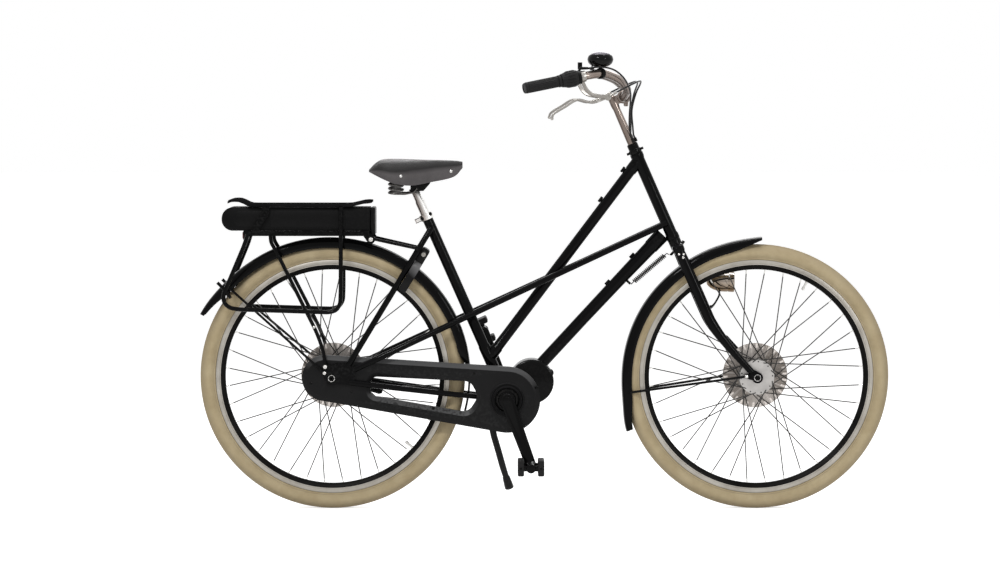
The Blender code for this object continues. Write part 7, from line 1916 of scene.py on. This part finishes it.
def saddle_hide():
    """Grey-brown leather: pebbled grain, dark creases and painted shade on the shoulder between its top and its sides.
    """
    look = Finish("saddle_hide", 0.0, 0.18)
    patches = look.noise(20.0, 5.0, 0.6)
    cells = look.add("ShaderNodeTexVoronoi", {"Vector": look.coords, "Scale": 900.0}, feature="DISTANCE_TO_EDGE")
    pebble = look.spread(cells.outputs["Distance"], 0.0, 0.28)
    height = look.add("ShaderNodeSeparateXYZ", {0: look.coords}).outputs[2]
    up = look.facing((0.0, 0.0, 1.0))
    # Painted shade: a dark band on the faces that roll from the top towards the sides
    shoulder = look.times(look.spread(up, 0.16, 0.42), look.spread(up, 0.985, 0.93))
    tone = look.mix(look.even(patches), (0.066, 0.061, 0.062), (0.094, 0.087, 0.088))
    tone = look.mix(look.times(shoulder, look.spread(height, 0.900, 0.912, 0.0, 0.97)), tone, (0.006, 0.0055, 0.0055))
    tone = look.mix(look.spread(pebble, 0.0, 0.5, 0.35, 0.0), tone, (0.030, 0.026, 0.026))
    rough = look.spread(look.plus(patches, look.times(pebble, -0.2)), 0.2, 0.7, 0.40, 0.62)
    grain = look.plus(look.times(pebble, 0.7), look.times(look.noise(1400.0), 0.3))
    return look.finish(tone, rough, grain, 0.45, 0.00035)


def lens(name, colour, rough, transmission):
    """Tinted plastic or clear glass."""
    look = Finish(name, 0.0, 0.5)
    look.shader["Transmission Weight"].default_value = transmission
    patches = look.noise(60.0, 3.0)
    tone = look.mix(look.even(patches), [v * 0.8 for v in colour], colour)
    return look.finish(tone, look.even(patches, rough, rough + 0.06), look.noise(500.0), 0.2, 0.0002)


# In these looks over is a painted light tone on faces that look up or the given way, and under is painted shade on
# faces that look down
LOOKS = {
    "paint": (surface("paint_gloss_black", (0.0014, 0.0014, 0.0015), (0.0024, 0.0023, 0.0024), (0.07, 0.13), 420.0,
                      0.00003, level=0.06, patch=7.0, wear=(0.010, 0.010, 0.010), over=(0.0075, 0.0075, 0.0078)),
              "gloss_black_paint"),
    "satin": (surface("plastic_satin_black", (0.0017, 0.0017, 0.0018), (0.0034, 0.0033, 0.0034), (0.30, 0.40), 2200.0,
                      0.00006, level=0.08, patch=9.0, wear=(0.012, 0.012, 0.012), over=(0.0170, 0.0170, 0.0175)),
              "satin_black_plastic"),
    # lock: painted highlight, a pale grey tone on the faces that look forward and up
    "lock": (surface("lock_satin_black", (0.0024, 0.0023, 0.0024), (0.0046, 0.0044, 0.0046), (0.20, 0.32), 1400.0,
                     0.00005, level=0.11, patch=12.0, over=(0.150, 0.148, 0.150), painted_light_way=(0.82, -0.10, 0.56),
                     painted_light_range=(0.30, 0.80)), "satin_black_metal"),
    # case: painted highlight, a lighter band on the chamfer faces that look partly up
    "case": (surface("cover_satin_black", (0.0030, 0.0030, 0.0032), (0.0052, 0.0050, 0.0052), (0.30, 0.40), 2200.0,
                     0.00006, level=0.11, patch=9.0, wear=(0.012, 0.012, 0.012), over=(0.0640, 0.0640, 0.0650),
                     painted_light_range=(0.20, 0.46)), "satin_black_plastic"),
    "metal": (surface("metal_satin_black", (0.0007, 0.0007, 0.0007), (0.0016, 0.0015, 0.0015), (0.13, 0.24), 900.0,
                      0.00005, level=0.08, patch=12.0, wear=(0.018, 0.017, 0.016), over=(0.0080, 0.0080, 0.0081)),
              "satin_black_metal"),
    # bell: painted reflection, a pale tone on the top of the dome
    "bell": (surface("bell_gloss_black", (0.0014, 0.0014, 0.0015), (0.0024, 0.0023, 0.0024), (0.07, 0.12), 420.0,
                     0.00003, level=0.12, patch=20.0, over=(0.230, 0.215, 0.245), painted_light_range=(0.66, 0.90)),
             "gloss_black_paint"),
    "leg": (surface("leg_black", (0.0050, 0.0049, 0.0049), (0.0095, 0.0092, 0.0092), (0.28, 0.42), 900.0, 0.00008,
                    level=0.12, patch=30.0, wear=(0.020, 0.019, 0.018), over=(0.0200, 0.0200, 0.0200)),
            "gloss_black_paint"),
    "rubber": (surface("rubber_black", (0.0060, 0.0058, 0.0060), (0.0105, 0.0100, 0.0100), (0.46, 0.62), 1500.0,
                       0.00020, level=0.14, patch=16.0), "black_rubber"),
    "cable": (surface("cable_cover", (0.0060, 0.0060, 0.0062), (0.0105, 0.0102, 0.0102), (0.26, 0.40), 1200.0, 0.00006,
                      level=0.16, patch=25.0), "black_rubber"),
    "matt": (surface("plate_matt_black", (0.0055, 0.0055, 0.0058), (0.0095, 0.0092, 0.0095), (0.70, 0.85), 1300.0,
                     0.00015, level=0.0, patch=11.0, wear=(0.020, 0.019, 0.019)), "satin_black_plastic"),
    "cream": (tyre_rubber(), "cream_tyre_rubber"),
    # alloy: painted reflection of a darker floor, a deeper brown on the faces that look down
    "alloy": (surface("alloy_polished", (0.250, 0.200, 0.174), (0.350, 0.298, 0.266), (0.20, 0.30), 500.0, 0.00002,
                      0.92, patch=22.0, stretch=(1.0, 1.0, 6.0), wear=(0.50, 0.47, 0.44), under=(0.085, 0.062, 0.050)),
              "polished_alloy"),
    # post: painted highlight, a near-white tone on the faces that look forward, up and towards the camera
    "post": (surface("alloy_post", (0.210, 0.180, 0.162), (0.290, 0.255, 0.235), (0.20, 0.30), 500.0, 0.00002, 0.92,
                     patch=22.0, over=(0.92, 0.91, 0.89), painted_light_way=(0.85, -0.40, 0.34), painted_light_range=(0.10, 0.80)),
             "polished_alloy"),
    # cast: painted reflection of a darker floor, a deeper tone on the faces that look down
    "cast": (surface("alloy_cast", (0.300, 0.285, 0.265), (0.390, 0.375, 0.352), (0.28, 0.38), 900.0, 0.00003, 0.88,
                     patch=26.0, wear=(0.52, 0.50, 0.47), under=(0.135, 0.122, 0.108)), "polished_alloy"),
    "rim": (turned_metal("rim_alloy_turned", (0.272, 0.252, 0.222), (0.376, 0.357, 0.322), (0.36, 0.50)), "rim_alloy"),
    "rim_black": (turned_metal("rim_black_band", (0.0052, 0.0050, 0.0048), (0.0100, 0.0096, 0.0092), (0.40, 0.52)),
                  "rim_alloy"),
    "steel": (surface("steel_brushed", (0.050, 0.047, 0.045), (0.095, 0.090, 0.086), (0.24, 0.38), 1100.0, 0.00005, 0.9,
                      patch=30.0, wear=(0.20, 0.19, 0.18)), "brushed_steel"),
    "spoke": (surface("steel_spokes", (0.026, 0.025, 0.024), (0.050, 0.048, 0.046), (0.34, 0.46), 900.0, 0.00004, 0.8,
                      patch=40.0), "brushed_steel"),
    "bright": (surface("steel_bright", (0.48, 0.47, 0.45), (0.62, 0.61, 0.59), (0.16, 0.28), 900.0, 0.00004, 1.0,
                       patch=60.0), "brushed_steel"),
    "hub": (turned_metal("hub_shell_turned", (0.30, 0.29, 0.28), (0.42, 0.405, 0.39), (0.30, 0.42)), "brushed_steel"),
    # disc: rays is the colour of its painted reflection streaks, painted sheen and painted glints
    "disc": (turned_metal("brake_disc_turned", (0.200, 0.175, 0.155), (0.300, 0.268, 0.242), (0.32, 0.46), 1800.0,
                          rays=(0.56, 0.52, 0.49)), "brushed_steel"),
    # chrome: painted reflection of a darker floor, a warm brown on the faces that look down
    "chrome": (surface("chrome_plate", (0.340, 0.300, 0.262), (0.460, 0.420, 0.380), (0.05, 0.10), 500.0, 0.00002, 0.97,
                       patch=15.0, under=(0.120, 0.078, 0.042)), "chrome"),
    "hide": (saddle_hide(), "saddle_leather"),
    "red": (lens("lens_red", (0.36, 0.012, 0.012), 0.12, 0.35), "red_reflector"),
    "glass": (lens("lens_clear", (0.90, 0.91, 0.92), 0.04, 0.85), "chrome"),
}


# Studio
def aimed(name, data, place, aim):
    """A camera or a lamp that looks at a point."""
    made = placed(name, data)
    made.location = place
    made.rotation_euler = (Vector(aim) - Vector(place)).to_track_quat("-Z", "Y").to_euler()
    return made


def studio():
    """Camera, white world, pale floor and the lamps."""
    scene = bpy.context.scene
    view = bpy.data.cameras.new("camera")
    view.sensor_width = 36.0
    view.lens = CAMERA_LENS
    view.clip_end = 100.0
    scene.camera = aimed("camera", view, CAMERA_AT, CAMERA_AIM)
    scene.view_settings.view_transform = "Standard"

    scene.world = bpy.data.worlds.new("studio")
    scene.world.use_nodes = True
    world = Nodes(scene.world.node_tree)
    paths = world.add("ShaderNodeLightPath").outputs
    bent = world.maths("MAXIMUM", paths["Is Glossy Ray"], paths["Is Transmission Ray"])
    seen = world.maths("MAXIMUM", paths["Is Camera Ray"], bent)
    back = world.tree.nodes["Background"].inputs
    back["Color"].default_value = (1, 1, 1, 1)
    world.feed(back["Strength"], world.spread(seen, 0.0, 1.0, WORLD_LIGHT, 1.0))

    pale = Finish("floor_pale", 0.0, 0.1)
    pale.shader["Base Color"].default_value = (0.86, 0.86, 0.86, 1)
    pale.shader["Roughness"].default_value = 0.9
    pale.shader["Emission Color"].default_value = (1, 1, 1, 1)
    paths = pale.add("ShaderNodeLightPath").outputs
    seen = pale.maths("MAXIMUM", paths["Is Camera Ray"], paths["Is Glossy Ray"])
    pale.feed(pale.shader["Emission Strength"], pale.times(seen, FLOOR_GLOW))
    floor = bpy.data.meshes.new("floor")
    half = FLOOR_HALF
    floor.from_pydata([(-half, -half, 0), (half, -half, 0), (half, half, 0), (-half, half, 0)], [], [(0, 1, 2, 3)])
    floor.materials.append(pale.made)
    ground = placed("floor", floor)

    for name, place, size, power in LAMPS:
        light = bpy.data.lights.new(name, "AREA")
        light.shape = "RECTANGLE"
        light.size, light.size_y = size
        light.energy = power
        aimed(name, light, place, LAMP_AIM)


# Camera and cords first
studio()
for name, route, (forward, y) in CABLES:
    end = steer(CABLE_END_S, forward, y)
    path = [*smooth_path([*route, end + STEER_UP * 0.02], 4), end]
    outer = piece(f"{name}_cover", sweep(path, circle(CABLE_R, 16)), "cable", "steering", [name])
    length = sum((b - a).length for a, b in zip(path, path[1:]))
FERRULE = [(0.0006, 0.0), (0.0006, 0.0040), (0.0100, 0.0040), (0.0114, 0.0034), (0.0114, 0.0)]
ferrules = [lathe(FERRULE, steer(CABLE_END_S, *place), STEER_UP, 6) for name, route, place in CABLES]
piece("cable_ferrules", merged(ferrules), "metal", "steering")

# Wheels
for name, axle, hub, disc_y, valve_angle in (
        ("front", FRONT_AXLE, (-0.0480, -0.0325, 0.0240, 0.0335, 0.012, 0.019), 0.0338, 62.0),
        ("rear", REAR_AXLE, (-0.0365, -0.0300, 0.0310, 0.0425, 0.021, 0.034), 0.0428, -42.0)):
    body = f"{name}_wheel"
    flanges = hub[1:3]
    piece(f"{name}_tyre_cream", tyre(axle), "cream", body, [f"{name}_tyre"], smooth=50)
    piece(f"{name}_rim_wall", rim_outer(axle), "rim", body, [f"{name}_rim"], smooth=40)
    piece(f"{name}_rim_band", rim_inner(axle), "rim_black", body, smooth=40)
    piece(f"{name}_spokes", spokes(axle, flanges), "spoke", body, [f"{name}_hub_spokes"], smooth=50)
    piece(f"{name}_hub_shell", hub_shell(axle, hub_profile(*hub)), "hub", body, smooth=30)
    piece(f"{name}_nipples", nipples(axle, flanges), "bright", body)
    piece(f"{name}_valve", valve(axle, valve_angle), "bright", body)
    piece(f"{name}_cooling_disc", brake_disc(axle, disc_y), "disc", body, [f"{name}_brake_disc"], smooth=30)

# Frame
piece("head_tube_paint", head_tube(), "paint", "frame", ["head_tube"], bevel=0.0006)
for name, form in (("top_tube", top_tube), ("down_tube", down_tube), ("seat_tube", seat_tube)):
    piece(f"{name}_paint", form(), "paint", "frame", [name])
for name, side in SIDES:
    piece(f"lateral_{name}_paint", lateral_tube(side), "paint", "frame", [f"lateral_tube_{name}"])
    piece(f"seat_stay_{name}_paint", seat_stay(side), "paint", "frame", [f"seat_stay_{name}"])
    piece(f"chain_stay_{name}_paint", chain_stay(side), "paint", "frame", [f"chain_stay_{name}"])
piece("motor_shell", motor_housing(), "metal", "frame", ["motor_housing"], bevel=0.0016, steps=3, limit=30)
piece("chaincase_shell", chaincase(), "case", "frame", ["chaincase"], bevel=0.0012, steps=3, limit=25)
piece("chaincase_screws", case_screws(), "metal", "frame")
ring, cap = crank_rings()
piece("chaincase_ring", ring, "satin", "frame", smooth=25)
piece("crank_dust_cap", cap, "metal", "crankset", smooth=25)
guard = mudguard(REAR_AXLE, REAR_GUARD_FROM, REAR_GUARD_TO, REAR_GUARD_STEPS, REAR_GUARD_RADII, rear_section)
piece("rear_guard_paint", guard, "paint", "frame", ["rear_mudguard"], smooth=50)
rear_out = REAR_HALF + DROPOUT_T
piece("rear_guard_stays", stays(REAR_AXLE, GUARD_EYE, rear_out + FIT + GUARD_EYE_HALF, 139.0, REAR_GUARD_RADII),
      "paint", "frame")
piece("rack_tubes", rack_frame(), "paint", "frame", ["rack_frame"])
piece("rack_top_plate", deck(), "matt", "frame", ["rack_deck"], bevel=0.0007)
piece("lock_body", ring_lock(), "lock", "frame", ["ring_lock"], bevel=0.0034, steps=4, limit=40)
piece("rack_hooks", rack_hooks(), "paint", "frame", smooth=50)
bolts = side_screws([(RAIL_FRONT + 0.004, RAIL_Y + RAIL_HALF + 0.0006, RAIL_BOTTOM - 0.009)], 0.0068)
bolts += side_screws([(-0.6205, rear_out + 2 * LEG_TUBE_R - 0.0008, 0.4985)], 0.0042)
piece("rack_bolts", merged(bolts), "bright", "frame", bevel=0.0003)
centre, out, ahead = lock_frame()
KEY_BARREL = [(0.0, 0.0), (0.0, 0.0062), (0.0012, 0.0062), (0.0020, 0.0054), (0.0020, 0.0024), (0.0006, 0.0020),
              (0.0006, 0.0)]
piece("lock_key_barrel", lathe(KEY_BARREL, centre + out * LOCK_KEY_OUT - LEFT * 0.0358, -LEFT, 12), "cast", "frame")
x = RAIL_REAR + PLATE_INSET - FIT
piece("tail_lens", solid_box((x - 0.0140, -0.0272, RAIL_BOTTOM - 0.0092), (x - 0.0090, 0.0272, RAIL_TOP - 0.0040)),
      "red", "frame", ["rear_light"], bevel=0.0024, steps=4)
piece("tail_back", solid_box((x - 0.0118, -0.0300, RAIL_BOTTOM - 0.0120), (x, 0.0300, RAIL_TOP - 0.0010)),
      "satin", "frame", bevel=0.0016, steps=3)
piece("dock_body", from_node("battery_dock"), "satin", "frame", ["battery_dock"], bevel=0.0008)
piece("seat_collar", from_node("seat_clamp"), "post", "frame", ["seat_clamp"], bevel=0.0005)
bolts = [screw(Vector((x, side * y, z)), Vector((lean * 0.57, side * 0.78, lean * 0.25)), 0.0052)
         for side in (-1, 1) for x, y, z, lean in ((-0.3305, 0.0128, 0.7873, -1), (-0.3091, 0.0123, 0.8003, 1))]
piece("collar_bolts", merged(bolts), "metal", "frame", bevel=0.0003)
piece("rear_axle_parts", from_node("rear_axle"), "metal", "frame", ["rear_axle"], bevel=0.0005)
spring = piece("spring_coil", steering_spring(), "spoke", None, ["steering_spring"], smooth=60)
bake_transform(spring)

# Seat
piece("seatpost_tube", seatpost(), "post", "seat", ["seatpost"], bevel=0.0004)
piece("saddle_rails", saddle_rails(), "steel", "seat", ["saddle_frame"], smooth=50)
piece("saddle_clamp", saddle_clamp(), "metal", "seat", bevel=0.0012, steps=3)
piece("saddle_hide", saddle_hide_form(), "hide", "seat", ["saddle_top"], smooth=70)
RIVET = [(-0.003, 0.0), (-0.003, 0.0044), (0.0006, 0.0044), (0.0016, 0.0030), (0.0020, 0.0)]
piece("saddle_rivets", merged([lathe(RIVET, hide_side(x, z, side), LEFT * side, 6)
                               for x, z in ((-0.3865, 0.9043), (-0.2530, 0.9156)) for side in (-1, 1)]),
      "bright", "seat", smooth=60)

# Steering
piece("fork_blades", fork_blades(), "paint", "steering", ["fork"], smooth=50)
piece("fork_crown", fork_crown(), "paint", "steering", smooth=50)
CROWN_SCREWS = ((0.3615, 0.0560, 0.6931), (0.3739, 0.0557, 0.6931), (0.3726, 0.0571, 0.6840))
piece("crown_screws", merged(side_screws(CROWN_SCREWS, 0.0034)), "bright", "steering", bevel=0.0002)
piece("fork_races", fork_races(), "metal", "steering", bevel=0.0005)
piece("fork_ends", merged([fork_end(side) for side in (-1, 1)]), "paint", "steering", bevel=0.0008)
piece("stem_forging", stem(), "alloy", "steering", ["stem"], bevel=0.0010, steps=3)
piece("handlebar_tube", handlebar(), "alloy", "steering", ["handlebar"], smooth=50)
for (name, side), length in zip(SIDES, (GRIP_LENGTH, LEFT_GRIP_LENGTH)):
    piece(f"grip_{name}_rubber", grip(side, length), "rubber", "steering", [f"grip_{name}"], smooth=30)
    piece(f"perch_{name}_casting", brake_perch(side), "cast", "steering", [f"brake_perch_{name}"], bevel=0.0006)
    piece(f"lever_{name}_blade", brake_lever(side), "cast", f"lever_{name}", [f"brake_lever_{name}"], bevel=0.0006)
piece("shifter_body", from_node("shifter_housing"), "satin", "steering", ["shifter_housing"], bevel=0.0006)
piece("twist_barrel", shifter_twist(), "rubber", "twist", ["shifter_twist"], smooth=30)
piece("bell_dome", bell_dome(), "bell", "steering", ["bell"], smooth=40)
piece("bell_mount", bell_mount(), "metal", "steering", bevel=0.0004)
piece("bell_thumb", from_node("bell_thumb_lever"), "metal", "bell_lever", ["bell_thumb_lever"], bevel=0.0021, steps=4,
      limit=45)
piece("lamp_shell", lamp_shell(), "chrome", "steering", ["headlight"], smooth=40)
piece("lamp_lens", lamp_lens(), "glass", "steering", smooth=40)
piece("lamp_bracket", lamp_bracket(), "metal", "steering", bevel=0.0004)
guard = mudguard(FRONT_AXLE, FRONT_GUARD_FROM, FRONT_GUARD_TO, FRONT_GUARD_STEPS, FRONT_GUARD_RADII, front_section)
piece("front_guard_paint", guard, "paint", "steering", ["front_mudguard"], smooth=50)
fork_out = FORK_HALF + FORK_END_T
piece("front_guard_stays", stays(FRONT_AXLE, FORK_EYE, fork_out + FIT + GUARD_EYE_HALF, 187.0, FRONT_GUARD_RADII),
      "paint", "steering")
piece("front_axle_parts", from_node("front_axle"), "metal", "steering", ["front_axle"], bevel=0.0005)

# Drive
for node in ("chain", "rear_sprocket"):
    dress(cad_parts[node], "steel")
for name, side in SIDES:
    piece(f"crank_{name}_arm", from_node(f"crank_{name}"), "metal", "crankset", [f"crank_{name}"], bevel=0.0010,
          steps=3, limit=32)
    piece(f"pedal_{name}_blocks", pedal_blocks(side), "rubber", f"pedal_{name}", [f"pedal_body_{name}"], smooth=30)
    piece(f"pedal_{name}_cage", pedal_cage(side), "metal", f"pedal_{name}", bevel=0.0003)

# Battery, lock, stand
piece("battery_case", battery_case(), "satin", "battery", ["battery_pack"], bevel=0.0085, steps=6, limit=40)
piece("battery_panels", battery_panels(), "satin", "battery", bevel=0.0005)
piece("lock_bolt_steel", from_node("lock_bolt"), "bright", "lock_shackle", ["lock_bolt"], smooth=60)
piece("stand_leg", kickstand(), "leg", "kickstand", ["kickstand_leg"], bevel=0.0006)

# Axle nuts, and the screws in the eyes beside them
rear_eyes = ((RACK_EYE, 2 * LEG_TUBE_R, 0.0058), (GUARD_EYE, 2 * GUARD_EYE_HALF, 0.0052))
piece("rear_nuts", axle_nuts(REAR_AXLE, rear_out, rear_eyes), "bright", "frame", bevel=0.0003)
front_eyes = ((FORK_EYE, 2 * GUARD_EYE_HALF, 0.0050),)
piece("front_nuts", axle_nuts(FRONT_AXLE, fork_out, front_eyes), "bright", "steering", bevel=0.0003)
